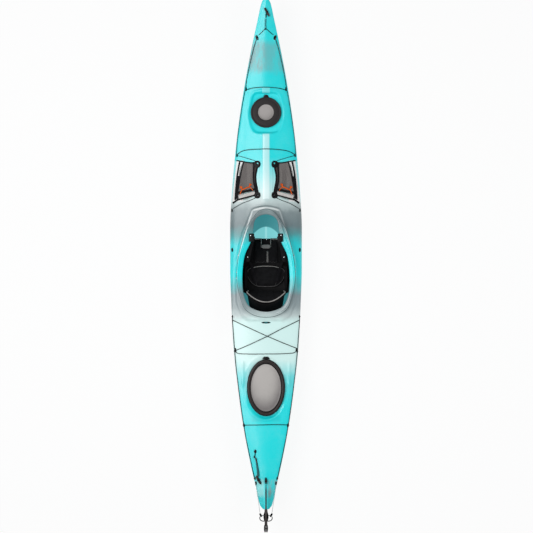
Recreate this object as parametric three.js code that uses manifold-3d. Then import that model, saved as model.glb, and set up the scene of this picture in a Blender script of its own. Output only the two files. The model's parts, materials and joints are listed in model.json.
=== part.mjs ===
// Touring sea kayak: a moulded hull with two hatches, a keyhole cockpit, deck rigging and a rudder.
// Millimetres. +X points to the bow, +Y to port and +Z up. The keel rests on z = 0 at mid-length.

import * as THREE from 'three';
import { mergeVertices } from 'three/addons/utils/BufferGeometryUtils.js';
import Module from 'manifold-3d';

const wasm = await Module();
wasm.setup();

// Hull
const HULL_LENGTH = 4270;
const BEAM = 605;
const DECK_DEPTH = 394;
const WALL = 6;
const KEEL_FLAT = 116;
const SEAT_GAP = 0.3;
const CUT_OVERRUN = 60;

// Hatches
const FRONT_HATCH = {
  x: 1184, radius: 128, collarInset: 16, collarWall: 6, collarHeight: 13, floorZ: 311,
  recessFront: 160, recessRear: 174, recessHalfWidth: 153, recessEndHalfWidth: 110,
};
const REAR_HATCH = {
  x: -1120, radius: 160, length: 476, collarInset: 17, collarWall: 6, collarHeight: 13, floorZ: 262,
  recessMargin: 26,
};
const COVER = { skirtGap: 1.2, skirtLift: 2, plate: 5, crown: 4, pocketDepth: 3, edgeRound: 4 };
const COVER_SIDES = 28;
const FRONT_DISC_RADIUS = 66;
const REAR_LID_MARGIN = 31;
const TETHER = { width: 38, reach: 22, thickness: 2.5 };

// Cockpit
const COCKPIT = { front: 331, length: 815, width: 394 };
const RIM = { width: 46, thickness: 7, riser: 9, frontZ: 394, rearZ: 291, drop: 5 };
const BULKHEAD = { thickness: 24, frontX: 905, rearX: -560 };

// Seat
const SEAT = {
  rear: -350, panFront: 133, panFrontHalfWidth: 108, halfWidth: 172, panHeight: 58, panWall: 5,
  corner: 38, rearCorner: 57, wideFrom: -62, notchWidth: 78, notchDepth: 50,
};
const WING = { front: -58, rear: -322, reach: 40, topZ: 246 };
const CUSHION = { front: -88, rear: -281, height: 34, halfWidth: 168, channel: 4 };
const LIFTER = {
  front: 112, rear: -76, halfWidth: 104, height: 26, handleX: 66, handleLength: 74, handleRadius: 7,
};
const BACK = {
  x: -296, topX: -398, bottomZ: 108, topZ: 284, halfWidth: 166, wrap: 88, thickness: 27,
  frame: 5, hingeRadius: 7, hingeLength: 30, hingeY: 132,
};
const BRACE = {
  x: 42, length: 210, width: 46, thickness: 16, y: 152, drop: 14, knobX: -25, knobRadius: 12, knobHeight: 8,
};
const BRACE_STEPS = 8;

// Foot braces
const RAIL = { front: 850, rear: 450, height: 22, thickness: 10, z: 118 };
const PEDAL = { x: 640, width: 62, height: 96, thickness: 12, carriage: 46 };

// Rudder
const RUDDER = {
  steerX: -2160, pinRadius: 5, barrelRadius: 13, bore: 0.3,
  bracketTop: 331, bracketBottom: 238, plateWidth: 22,
  headRear: -2233, headWidth: 45, headLow: 286, headHigh: 318, armX: -2186, armReach: 50, armRadius: 5,
  neckWidth: 27, cheekWall: 11, cheekGap: 0.8, cheekRadius: 35,
  pivotX: -2286, pivotZ: 352, pivotRadius: 4, lowerTurn: 4.45,
};
const BLADE = { thickness: 9, rootRadius: 29, drop: 15, tipX: -1914, chord: 84, shoulder: 150 };
const CHOCK = { front: -1868, rear: -1925, width: 24, stopHeight: 26, crestWidth: 15 };
const CABLE = {
  radius: 1.6, guideX: -1921, guideY: 84, guideLength: 26, guideRadius: 6, saddleReach: 41, saddleOut: 8,
};

// Deck gear
const CORD = { radius: 3, edgeRadius: 2.6, thinRadius: 2.4, knotRadius: 5.4, crossReach: 26, lift: 1.1 };
const STRAP = { width: 22, thickness: 2 };
const PAD_EYE = { length: 28, width: 13, base: 3, archRadius: 7.5, sink: 6, lift: 0.8 };
const TRAY_DEPTH = 24;
const POCKET = { panel: 2.5, frame: 3.5, hookLength: 58, hookWidth: 40, hookBar: 6 };
const PULL = { radius: 3.4 };
const TOGGLE = {
  radius: 8, bowLength: 84, sternLength: 82, strapWidth: 15, strapThickness: 3, strandGap: 2,
  cordX: 1978, barX: 2010, barY: -8, bowTurn: 0.49,
  fittingX: -1646, sternX: -1892, sternY: 64, sternTurn: 0.57,
};
const OVAL = { x: 36, y: 283, length: 30, width: 17, height: 5 };
const EYELET = { x: -574, length: 76, width: 13, height: 4 };

// Places along the hull as shares of half its length, stern to bow, with what each place has:
// half-breadth as a share of half the beam, heights as shares of the deck depth, and the form.
const breadthShares = [
  [-1, 0.09], [-0.985, 0.168], [-0.93, 0.258], [-0.84, 0.405], [-0.74, 0.55], [-0.62, 0.69],
  [-0.5, 0.8], [-0.37, 0.905], [-0.2, 0.965], [-0.05, 1], [0.1, 1], [0.25, 0.945], [0.4, 0.85],
  [0.55, 0.72], [0.7, 0.545], [0.82, 0.377], [0.92, 0.22], [0.98, 0.12], [1, 0.03],
];
const keelShares = [
  [-1, 0.5], [-0.985, 0.33], [-0.95, 0.2], [-0.88, 0.1], [-0.75, 0.045], [-0.55, 0.012], [-0.38, 0],
  [0.38, 0], [0.55, 0.015], [0.72, 0.05], [0.84, 0.12], [0.92, 0.24], [0.97, 0.46], [0.99, 0.7],
  [1, 0.88],
];
const sheerShares = [
  [-1, 0.72], [-0.8, 0.655], [-0.5, 0.58], [-0.1, 0.55], [0.2, 0.58], [0.5, 0.67], [0.75, 0.79],
  [0.92, 0.9], [1, 0.97],
];
const ridgeShares = [
  [-1, 0.785], [-0.8, 0.74], [-0.55, 0.705], [-0.3, 0.665], [-0.2, 0.72], [-0.1, 0.79], [0, 0.86],
  [0.15, 0.925], [0.3, 0.905], [0.45, 0.875], [0.65, 0.875], [0.85, 0.925], [1, 1.01],
];
const peakShares = [
  [-1, 0.3], [-0.6, 0.1], [-0.3, 0.12], [0, 0.3], [0.3, 0.6], [0.44, 0.5], [0.55, 0.2], [0.7, 0.3],
  [1, 0.5],
];
const veeShares = [[-1, 1], [-0.8, 0.8], [-0.4, 0.1], [0, 0.04], [0.35, 0.1], [0.75, 0.8], [1, 1]];
const KEEL_FLAT_SHARE = 0.22;
const STATION_COUNT = 38;
const VOID_COUNT = 19;
const VOID_STERN_SHARE = -0.955;
const VOID_BOW_SHARE = 0.935;
const BILGE_STEPS = 6;
const DECK_STEPS = 7;

// Cockpit outline, bow to stern: shares of its length from the front, and of half its width.
const cockpitShares = [
  [0, 0], [0.036, 0.36], [0.16, 0.5], [0.283, 0.646], [0.406, 0.879], [0.529, 0.975], [0.697, 1],
  [0.836, 0.934], [0.934, 0.747], [0.983, 0.404], [1, 0],
];
const rimShares = [
  [0, 0], [0.05, 0.42], [0.187, 0.699], [0.278, 0.809], [0.409, 0.931], [0.534, 1], [0.682, 1],
  [0.822, 0.878], [0.922, 0.728], [0.983, 0.39], [1, 0],
];
const RIM_POINTS = 40;

// Deck pocket on the port side, outboard corners first: plan corners from bow to stern.
const pocketOutline = [[783, 84], [787, 236], [600, 254], [462, 268], [486, 76], [600, 82]];
const pocketWindow = [[745, 108], [748, 190], [640, 222], [536, 222], [562, 106], [650, 104]];
const pocketMouth = [[526, 100], [500, 216], [466, 218], [500, 98]];
const trayOutline = [[758, 98], [760, 200], [640, 234], [458, 240], [494, 90], [640, 96]];
const panelOutline = [[790, 70], [790, 270], [506, 270], [552, 70]];

// Cord routes in plan, chosen by hand along the deck.
const frontEdgeRoute = [[1805, 75], [1700, 104], [1570, 134], [1455, 158], [1357, 165]];
const rearEdgeRoute = [
  [-524, 280], [-560, 270], [-815, 257], [-960, 244], [-1160, 222], [-1438, 184], [-1620, 147],
  [-1780, 114], [-1880, 92],
];
const bowYokeRoute = [[1826, 60], [1845, 36], [1873, 4], [1845, -36], [1826, -60]];
const bowStrandRoute = [[1876, 3], [1920, 4]];
const frontBungeeRoute = [[1358, 152], [1376, 90], [1382, 0], [1376, -90], [1358, -152]];
const midBungeeRoute = [[830, 240], [862, 130], [878, 0], [862, -130], [830, -240]];
const crossBungeeRoute = [[-538, 262], [-604, 150], [-688, 0], [-750, -126], [-808, -243]];
const rearBungeeRoute = [[-834, 244], [-836, 120], [-838, 0], [-836, -120], [-834, -244]];
const aftBungeeRoute = [[-1437, 171], [-1426, 90], [-1424, 0], [-1426, -90], [-1437, -171]];
const hookPlaces = [[752, 66], [508, 62]];
const hookCordRoute = [[474, 74], [440, 150], [400, 222], [365, 280]];
const pullRoute = [[578, 206], [552, 190], [560, 160], [582, 130], [566, 112], [536, 108]];
const sternStrapRoute = [[-1664, 92], [-1740, 84], [-1800, 76], [-1840, 78]];
const seatStrapRoute = [[-104, 126], [-160, 108], [-238, 82]];

// Hull, beam and depth that the places above were drawn for, and the places between which they lie:
// stern, ends of the rear recess, ends of the cockpit rim, ends of the front recess, bow.
const DRAWN_BEAM = 605;
const DRAWN_DEPTH = 394;
const drawnEnds = [-2135, -530, 377, 2135];
const drawnPlaces = [-2135, -1384, -856, -530, 377, 1010, 1344, 2135];

const DOWN = new THREE.Vector3(0, 0, -1);

// Value of a table of shares at a place, by a monotone cubic through its points.
function along(tableShares, place) {
  const last = tableShares.length - 1;
  let i = 0;
  while (i < last - 1 && place > tableShares[i + 1][0]) i += 1;
  const rise = (k) => tableShares[k + 1][1] - tableShares[k][1];
  const slope = (k) => rise(k) / (tableShares[k + 1][0] - tableShares[k][0]);
  const tangent = (k) => {
    if (k === 0) return slope(0);
    if (k === last) return slope(last - 1);
    const before = slope(k - 1);
    const after = slope(k);
    return before * after <= 0 ? 0 : (2 * before * after) / (before + after);
  };
  const span = tableShares[i + 1][0] - tableShares[i][0];
  const t = (place - tableShares[i][0]) / span;
  const rest = 1 - t;
  return tableShares[i][1] * (1 + 2 * t) * rest * rest + tangent(i) * span * t * rest * rest
    + tableShares[i + 1][1] * (3 - 2 * t) * t * t - tangent(i + 1) * span * rest * t * t;
}

const mix = (a, b, share) => a + (b - a) * share;

const halfLength = HULL_LENGTH / 2;
const rimFront = COCKPIT.front + RIM.width;
const rimRear = rimFront - COCKPIT.length - 2 * RIM.width;

// A drawn place moved with the real places on both sides of it, and with the hull's end beyond them.
function movedWith(drawn, real, x) {
  const last = drawn.length - 1;
  if (x <= drawn[0]) return x + real[0] - drawn[0];
  if (x >= drawn[last]) return x + real[last] - drawn[last];
  const i = drawn.findIndex((edge, k) => x < drawn[k + 1]);
  return mix(real[i], real[i + 1], (x - drawn[i]) / (drawn[i + 1] - drawn[i]));
}

const realEnds = [-halfLength, rimRear, rimFront, halfLength];
FRONT_HATCH.x = movedWith(drawnEnds, realEnds, FRONT_HATCH.x);
REAR_HATCH.x = movedWith(drawnEnds, realEnds, REAR_HATCH.x);
const rearReach = REAR_HATCH.length / 2 + REAR_HATCH.recessMargin;
const realPlaces = [
  -halfLength, REAR_HATCH.x - rearReach, REAR_HATCH.x + rearReach, rimRear,
  rimFront, FRONT_HATCH.x - FRONT_HATCH.recessRear, FRONT_HATCH.x + FRONT_HATCH.recessFront, halfLength,
];
const followed = (x) => movedWith(drawnPlaces, realPlaces, x);

// How much wider the real hull is at a real place than the drawn one was at the drawn place.
function widening(drawnX, realX) {
  const drawnBreadth = DRAWN_BEAM * along(breadthShares, drawnX / drawnEnds.at(-1));
  return (BEAM * along(breadthShares, realX / halfLength)) / drawnBreadth;
}

// Moves named places of a table along the boat, each on its own.
function follow(table, ...keys) {
  for (const key of keys) table[key] = followed(table[key]);
}

// Moves a route or outline along the boat and across it with the hull's breadth.
function followAcross(route) {
  for (const spot of route) {
    const x = followed(spot[0]);
    spot[1] *= widening(spot[0], x);
    spot[0] = x;
  }
}

// Moves a group's places by one distance, so that its pieces keep their own lengths.
function shift(table, distance, ...keys) {
  for (const key of keys) table[key] += distance;
}

follow(BULKHEAD, 'frontX', 'rearX');
follow(BRACE, 'x', 'knobX');
follow(RAIL, 'front', 'rear');
follow(PEDAL, 'x');
OVAL.y *= widening(OVAL.x, followed(OVAL.x));
follow(OVAL, 'x');
follow(EYELET, 'x');
[
  pocketOutline, pocketWindow, pocketMouth, trayOutline, panelOutline, frontEdgeRoute, rearEdgeRoute,
  bowYokeRoute, bowStrandRoute, frontBungeeRoute, midBungeeRoute, crossBungeeRoute, rearBungeeRoute,
  aftBungeeRoute, hookPlaces, hookCordRoute, pullRoute,
].forEach(followAcross);

const seatShift = rimRear - drawnEnds[1];
shift(SEAT, seatShift, 'rear', 'panFront', 'wideFrom');
shift(WING, seatShift, 'front', 'rear');
shift(CUSHION, seatShift, 'front', 'rear');
shift(LIFTER, seatShift, 'front', 'rear', 'handleX');
shift(BACK, seatShift, 'x', 'topX');
for (const spot of seatStrapRoute) spot[0] += seatShift;

const sternShift = drawnEnds[0] + halfLength;
shift(RUDDER, -sternShift, 'steerX', 'headRear', 'armX', 'pivotX');
shift(BLADE, -sternShift, 'tipX');
shift(CHOCK, -sternShift, 'front', 'rear');
CABLE.guideY *= widening(CABLE.guideX, CABLE.guideX - sternShift);
shift(CABLE, -sternShift, 'guideX');
rearEdgeRoute.splice(-1, 1, [CABLE.guideX + CABLE.saddleReach, CABLE.guideY + CABLE.saddleOut]);
const strapShift = followed(TOGGLE.fittingX) - TOGGLE.fittingX;
const strapWidening = widening(TOGGLE.sternX, TOGGLE.sternX + strapShift);
TOGGLE.sternY *= strapWidening;
shift(TOGGLE, strapShift, 'fittingX', 'sternX');
for (const spot of sternStrapRoute) {
  spot[0] += strapShift;
  spot[1] *= strapWidening;
}
shift(TOGGLE, followed(TOGGLE.cordX) - TOGGLE.cordX, 'cordX', 'barX');
bowStrandRoute.push([TOGGLE.cordX - PAD_EYE.length / 2 - TOGGLE.strandGap, TOGGLE.strandGap]);

// Heights keep their share of the deck's depth, and the rudder keeps its height over the stern.
const depthShare = DECK_DEPTH / DRAWN_DEPTH;
for (const [table, ...keys] of [
  [FRONT_HATCH, 'floorZ'], [REAR_HATCH, 'floorZ'], [RIM, 'frontZ', 'rearZ'], [BACK, 'bottomZ', 'topZ'],
  [WING, 'topZ'],
]) {
  for (const key of keys) table[key] *= depthShare;
}
const sternRise = (DECK_DEPTH - DRAWN_DEPTH) * ridgeShares[0][1];
shift(RUDDER, sternRise, 'bracketTop', 'bracketBottom', 'headLow', 'headHigh', 'pivotZ');

// Closed cross-section at a station, drawn in by an inset, as points from the keel round by port.
function section(station, inset) {
  const breadth = (BEAM / 2) * along(breadthShares, station) - inset;
  const keel = DECK_DEPTH * along(keelShares, station) + inset;
  const sheer = DECK_DEPTH * along(sheerShares, station);
  const ridge = DECK_DEPTH * along(ridgeShares, station) - inset;
  const vee = along(veeShares, station);
  const peak = along(peakShares, station);
  const flat = Math.min(KEEL_FLAT / 2, breadth * KEEL_FLAT_SHARE);
  const half = [[flat, keel]];
  for (let i = 1; i <= BILGE_STEPS; i += 1) {
    const across = Math.sin((i / BILGE_STEPS) * (Math.PI / 2));
    const full = Math.sqrt(1 - across ** 3);
    const rise = 1 - mix(full, 1 - across ** 1.2, vee);
    half.push([mix(flat, breadth, across), mix(keel, sheer, rise)]);
  }
  for (let i = DECK_STEPS - 1; i >= 1; i -= 1) {
    const across = Math.sin((i / DECK_STEPS) * (Math.PI / 2));
    const crown = mix(Math.sqrt(1 - across ** 2), 1 - across, peak);
    half.push([breadth * across, mix(sheer, ridge, crown)]);
  }
  const x = (HULL_LENGTH / 2) * station;
  const port = half.map(([y, z]) => new THREE.Vector3(x, y, z));
  const starboard = half.map(([y, z]) => new THREE.Vector3(x, -y, z)).reverse();
  return [...port, new THREE.Vector3(x, 0, ridge), ...starboard];
}

// Closed body through rings of equal length, with each end closed from its middle.
function loft(rings, looped = false) {
  const size = rings[0].length;
  const points = rings.flat();
  const faces = [];
  const spans = looped ? rings.length : rings.length - 1;
  for (let r = 0; r < spans; r += 1) {
    const near = r * size;
    const far = ((r + 1) % rings.length) * size;
    for (let i = 0; i < size; i += 1) {
      const j = (i + 1) % size;
      faces.push(near + i, far + i, far + j, near + i, far + j, near + j);
    }
  }
  if (!looped) {
    for (const [ring, start, outward] of [[rings[0], 0, 1], [rings.at(-1), points.length - size, -1]]) {
      const middle = ring.reduce((sum, p) => sum.add(p), new THREE.Vector3()).divideScalar(size);
      points.push(middle);
      const hub = points.length - 1;
      for (let i = 0; i < size; i += 1) {
        const j = (i + 1) % size;
        const pair = outward > 0 ? [start + i, start + j] : [start + j, start + i];
        faces.push(hub, ...pair);
      }
    }
  }
  if (signedVolume(points, faces) < 0) faces.reverse();
  const geometry = new THREE.BufferGeometry().setFromPoints(points);
  geometry.setIndex(faces);
  return geometry;
}

// Negative where the faces point inwards.
function signedVolume(points, faces) {
  let sum = 0;
  for (let i = 0; i < faces.length; i += 3) {
    const [a, b, c] = faces.slice(i, i + 3).map((k) => points[k]);
    sum += a.dot(b.clone().cross(c));
  }
  return sum;
}

function toSolid(geometry) {
  const bare = new THREE.BufferGeometry();
  bare.setAttribute('position', geometry.getAttribute('position'));
  bare.setIndex(geometry.getIndex());
  const merged = mergeVertices(bare);
  const vertProperties = new Float32Array(merged.getAttribute('position').array);
  const triVerts = new Uint32Array(merged.getIndex().array);
  return new wasm.Manifold(new wasm.Mesh({ numProp: 3, vertProperties, triVerts }));
}

function toGeometry(solid) {
  const mesh = solid.getMesh();
  const geometry = new THREE.BufferGeometry();
  geometry.setAttribute('position', new THREE.BufferAttribute(mesh.vertProperties, 3));
  geometry.setIndex(new THREE.BufferAttribute(mesh.triVerts, 1));
  return geometry;
}

// The same shape on the other side of the boat.
function toStarboard(geometry) {
  const flipped = geometry.clone().scale(1, -1, 1);
  const order = flipped.getIndex().array;
  for (let i = 0; i < order.length; i += 3) [order[i], order[i + 1]] = [order[i + 1], order[i]];
  return flipped;
}

// Block between two opposite corners, given in any order.
function box(corner, opposite) {
  const bounds = new THREE.Box3().setFromPoints([corner, opposite]);
  const size = bounds.getSize(new THREE.Vector3());
  const middle = bounds.getCenter(new THREE.Vector3());
  return toSolid(new THREE.BoxGeometry(size.x, size.y, size.z).translate(middle.x, middle.y, middle.z));
}

function upright(shape, low, high, curveSegments = 12) {
  const options = { depth: high - low, bevelEnabled: false, curveSegments };
  return toSolid(new THREE.ExtrudeGeometry(shape, options).translate(0, 0, low));
}

// Shape drawn in a fore-and-aft plane, x along and y up, given thickness about the centreline.
function sideways(shape, thickness, curveSegments = 12) {
  const options = { depth: thickness, bevelEnabled: false, curveSegments };
  const geometry = new THREE.ExtrudeGeometry(shape, options);
  return toSolid(geometry.rotateX(Math.PI / 2).translate(0, thickness / 2, 0));
}

function cylinder(radius, length, direction, middle, sides = 20) {
  const geometry = new THREE.CylinderGeometry(radius, radius, length, sides);
  const turn = new THREE.Quaternion().setFromUnitVectors(new THREE.Vector3(0, 1, 0), direction);
  return toSolid(geometry.applyQuaternion(turn).translate(middle.x, middle.y, middle.z));
}

const PORT = new THREE.Vector3(0, 1, 0);
const UP = new THREE.Vector3(0, 0, 1);
const at = (x, y, z) => new THREE.Vector3(x, y, z);

function smoothShape(points) {
  const curve = new THREE.CatmullRomCurve3(points.map(([x, y]) => at(x, y, 0)), true, 'centripetal');
  const outline = curve.getPoints(points.length * 4).slice(0, -1);
  return new THREE.Shape(outline.map((p) => new THREE.Vector2(p.x, p.y)));
}

const polygon = (points) => new THREE.Shape(points.map(([x, y]) => new THREE.Vector2(x, y)));

function ellipse(x, y, halfLength, halfWidth) {
  return new THREE.Shape().absellipse(x, y, halfLength, halfWidth, 0, Math.PI * 2, false, 0);
}

function roundTube(points, radius, steps, sides = 8) {
  const section = new THREE.Shape().absarc(0, 0, radius, 0, Math.PI * 2, false);
  const route = new THREE.CatmullRomCurve3(points, false, 'centripetal');
  const options = { steps, extrudePath: route, curveSegments: sides / 2, bevelEnabled: false };
  return toSolid(new THREE.ExtrudeGeometry(section, options));
}

// Bare outer form of the hull, and its inner face at a given inset from the outside.
function formOf(inset, count, from, to) {
  const rings = [];
  for (let i = 0; i < count; i += 1) {
    const even = mix(from, to, i / (count - 1));
    const bunched = mix(from, to, (1 - Math.cos((i / (count - 1)) * Math.PI)) / 2);
    rings.push(section(mix(even, bunched, 0.6), inset));
  }
  return loft(rings);
}

const outerForm = formOf(0, STATION_COUNT, -1, 1);
const outerSolid = toSolid(outerForm);
const liftedForms = new Map();

function lifted(height) {
  if (!liftedForms.has(height)) liftedForms.set(height, toSolid(outerForm.clone().translate(0, 0, height)));
  return liftedForms.get(height);
}

const roomSolid = toSolid(formOf(WALL + SEAT_GAP, VOID_COUNT, VOID_STERN_SHARE, VOID_BOW_SHARE));

// Sheet that follows the deck inside an upright prism, between two heights above it.
function onDeck(prism, low, high) {
  return prism.intersect(lifted(high)).subtract(lifted(low));
}

// The hatch recess is a flat floor sunk in the crowned deck, grown by a margin for the wall below it.
function frontRecess(margin) {
  const h = FRONT_HATCH;
  const outline = smoothShape([
    [h.x + h.recessFront + margin, h.recessEndHalfWidth + margin],
    [h.x, h.recessHalfWidth + margin],
    [h.x - h.recessRear - margin, h.recessEndHalfWidth + margin],
    [h.x - h.recessRear - margin, -h.recessEndHalfWidth - margin],
    [h.x, -h.recessHalfWidth - margin],
    [h.x + h.recessFront + margin, -h.recessEndHalfWidth - margin],
  ]);
  return upright(outline, h.floorZ - margin, DECK_DEPTH + CUT_OVERRUN);
}

function rearRecess(margin) {
  const h = REAR_HATCH;
  const reach = h.recessMargin + margin;
  const outline = ellipse(h.x, 0, h.length / 2 + reach, h.radius + reach);
  return upright(outline, h.floorZ - margin, DECK_DEPTH + CUT_OVERRUN, 20);
}

function pocketTray(side, margin) {
  const grown = new THREE.Shape(growOutline(trayOutline, side, margin));
  return upright(grown, 0, DECK_DEPTH + CUT_OVERRUN).subtract(lifted(-TRAY_DEPTH - margin));
}

// Rounded outline of hand-set corners, on one side of the boat, pushed out by a margin.
function growOutline(corners, side, margin) {
  const middle = new THREE.Vector2();
  for (const [x, y] of corners) middle.add(new THREE.Vector2(x, y).divideScalar(corners.length));
  const points = corners.map(([x, y]) => {
    const out = new THREE.Vector2(x, y).sub(middle);
    out.setLength(out.length() + margin).add(middle);
    return at(out.x, out.y * side, 0);
  });
  const curve = new THREE.CatmullRomCurve3(points, true, 'catmullrom', 0.25);
  return curve.getPoints(points.length * 3).slice(0, -1).map((p) => new THREE.Vector2(p.x, p.y));
}

// Deck before the trays are cut: cords and straps lie on it.
const deckMesh = new THREE.Mesh(toGeometry(outerSolid.subtract(frontRecess(0)).subtract(rearRecess(0))));
const caster = new THREE.Raycaster();

// Place and outward direction of the deck straight below a plan point.
function deckAt(x, y) {
  caster.set(at(x, y, DECK_DEPTH + CUT_OVERRUN), DOWN);
  const hit = caster.intersectObject(deckMesh)[0];
  return { point: hit.point, normal: hit.face.normal };
}

const deckTop = (x, y) => deckAt(x, y).point.z;

// Turns a shape built on the origin, up along z, onto the deck at a plan point.
function ontoDeck(geometry, x, y, turn) {
  const { point, normal } = deckAt(x, y);
  const tilt = new THREE.Quaternion().setFromUnitVectors(UP, normal);
  return geometry.rotateZ(turn).applyQuaternion(tilt).translate(point.x, point.y, point.z);
}

const rimTop = (x) => mix(RIM.rearZ, RIM.frontZ, (x - rimRear) / (rimFront - rimRear));

// Points of a closed cockpit outline from half a table of shares.
function rimPoints(tableShares, front, length, width) {
  const port = tableShares.map(([x, y]) => at(front - x * length, (y * width) / 2, 0));
  const starboard = port.slice(1, -1).reverse().map((p) => at(p.x, -p.y, 0));
  const curve = new THREE.CatmullRomCurve3([...port, ...starboard], true, 'catmullrom', 0.4);
  return curve.getPoints(RIM_POINTS).slice(0, -1);
}

const mouthPoints = rimPoints(cockpitShares, COCKPIT.front, COCKPIT.length, COCKPIT.width);

function coaming() {
  const reach = 2 * RIM.width;
  const { front, length, width } = COCKPIT;
  const outer = rimPoints(rimShares, front + RIM.width, length + reach, width + reach);
  const rings = mouthPoints.map((inner, i) => {
    const across = outer[i].clone().sub(inner);
    const out = across.clone().normalize();
    const reachTo = (distance) => inner.clone().addScaledVector(out, distance);
    const edge = reachTo(-WALL / 2);
    const riser = reachTo(RIM.riser);
    const lip = outer[i];
    const top = (p) => rimTop(p.x);
    const base = (p) => deckTop(p.x, p.y) - WALL / 2;
    return [
      at(edge.x, edge.y, base(inner)), at(riser.x, riser.y, base(riser)),
      at(riser.x, riser.y, top(riser) - RIM.thickness),
      at(lip.x, lip.y, top(lip) - RIM.thickness - RIM.drop),
      at(lip.x, lip.y, top(lip) - RIM.drop), at(riser.x, riser.y, top(riser)),
      at(edge.x, edge.y, top(inner) - RIM.drop / 2),
    ];
  });
  return toSolid(loft(rings, true));
}

function hatchCollar(hatch, halfLength, halfWidth) {
  const outline = ellipse(hatch.x, 0, halfLength, halfWidth);
  return upright(outline, hatch.floorZ - WALL / 2, hatch.floorZ + hatch.collarHeight, 18);
}

function hatchMouth(hatch, halfLength, halfWidth) {
  const outline = ellipse(hatch.x, 0, halfLength - hatch.collarWall, halfWidth - hatch.collarWall);
  return upright(outline, hatch.floorZ - CUT_OVERRUN, hatch.floorZ + CUT_OVERRUN, 18);
}

const frontCollar = FRONT_HATCH.radius - FRONT_HATCH.collarInset;
const rearCollar = REAR_HATCH.radius - REAR_HATCH.collarInset;
const rearStretchShare = REAR_HATCH.length / (2 * REAR_HATCH.radius);

function hull() {
  let skin = outerSolid.subtract(frontRecess(0)).subtract(rearRecess(0));
  let room = toSolid(formOf(WALL, VOID_COUNT, VOID_STERN_SHARE, VOID_BOW_SHARE));
  room = room.subtract(frontRecess(WALL)).subtract(rearRecess(WALL));
  for (const side of [1, -1]) {
    skin = skin.subtract(pocketTray(side, 0));
    room = room.subtract(pocketTray(side, WALL));
  }
  const mouth = new THREE.Shape(mouthPoints.map((p) => new THREE.Vector2(p.x, p.y)));
  return skin.subtract(room)
    .add(coaming())
    .add(hatchCollar(FRONT_HATCH, frontCollar, frontCollar))
    .add(hatchCollar(REAR_HATCH, rearCollar * rearStretchShare, rearCollar))
    .subtract(hatchMouth(FRONT_HATCH, frontCollar, frontCollar))
    .subtract(hatchMouth(REAR_HATCH, rearCollar * rearStretchShare, rearCollar))
    .subtract(upright(mouth, DECK_DEPTH / 2, DECK_DEPTH + CUT_OVERRUN));
}

function bulkhead(x) {
  const half = BULKHEAD.thickness / 2;
  return box(at(x - half, -BEAM, -CUT_OVERRUN), at(x + half, BEAM, DECK_DEPTH)).intersect(roomSolid);
}

// Skirted cover that drops over a collar, with a shallow pocket on top for its centre disc.
function hatchCover(radius, collarRadius, collarHeight, discRadius) {
  const under = collarHeight + SEAT_GAP;
  const top = under + COVER.plate + COVER.crown;
  const skirt = collarRadius + COVER.skirtGap;
  const pocket = top - COVER.pocketDepth;
  const profile = [
    [0, under], [skirt, under], [skirt, COVER.skirtLift], [radius, COVER.skirtLift],
    [radius, top - COVER.crown - COVER.edgeRound], [radius - COVER.edgeRound, top - COVER.crown],
    [discRadius + COVER.crown, top], [discRadius + SEAT_GAP, top], [discRadius + SEAT_GAP, pocket],
    [0, pocket],
  ];
  const points = profile.map(([r, z]) => new THREE.Vector2(r, z));
  return new THREE.LatheGeometry(points, COVER_SIDES).rotateX(Math.PI / 2);
}

function coverDisc(collarHeight, discRadius) {
  const bottom = collarHeight + COVER.plate + COVER.crown - COVER.pocketDepth + 2 * SEAT_GAP;
  const rise = COVER.pocketDepth + COVER.crown / 2;
  const profile = [
    [0, bottom], [discRadius, bottom], [discRadius, bottom + rise / 2],
    [discRadius - rise / 2, bottom + rise], [0, bottom + rise + COVER.crown / 2],
  ];
  const points = profile.map(([r, z]) => new THREE.Vector2(r, z));
  return new THREE.LatheGeometry(points, COVER_SIDES).rotateX(Math.PI / 2);
}

// Strap from the cover's front edge to the deck ahead of it.
function tether(hatch, frontEdge) {
  const low = hatch.floorZ + COVER.skirtLift + COVER.edgeRound;
  const rear = frontEdge + SEAT_GAP;
  const front = at(rear + TETHER.reach, TETHER.width / 2, low + TETHER.thickness);
  const recess = hatch === FRONT_HATCH ? frontRecess(-SEAT_GAP) : rearRecess(-SEAT_GAP);
  return box(at(rear, -TETHER.width / 2, low), front).subtract(outerSolid.subtract(recess));
}

// Cushion as a crowned grid: half-widths and heights are functions of the share along and across.
function cushion(options) {
  const { front, rear, halfWidthAt, bottomAt, heightAt } = options;
  const ALONG = 11;
  const ACROSS = 9;
  const rings = [];
  for (let i = 0; i <= ALONG; i += 1) {
    const lengthShare = mix(TIP_SHARE, 1 - TIP_SHARE, i / ALONG);
    const x = mix(rear, front, (1 - Math.cos(lengthShare * Math.PI)) / 2);
    const endShare = Math.sqrt(Math.sin(lengthShare * Math.PI));
    const ring = [];
    for (let j = 0; j <= ACROSS; j += 1) {
      const acrossShare = Math.sin((mix(-1, 1, j / ACROSS) * Math.PI) / 2);
      const y = acrossShare * halfWidthAt(lengthShare);
      const bottom = bottomAt(x, y);
      const height = heightAt(lengthShare, acrossShare) * endShare;
      ring.push([at(x, y, bottom), at(x, y, bottom + height)]);
    }
    const low = ring.map(([p]) => p);
    const high = ring.map(([, p]) => p).reverse();
    rings.push([...low, ...high]);
  }
  return toSolid(loft(rings));
}

const edgeFade = (share) => Math.max(EDGE_SHARE, Math.sqrt(1 - Math.abs(share) ** 4));

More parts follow.
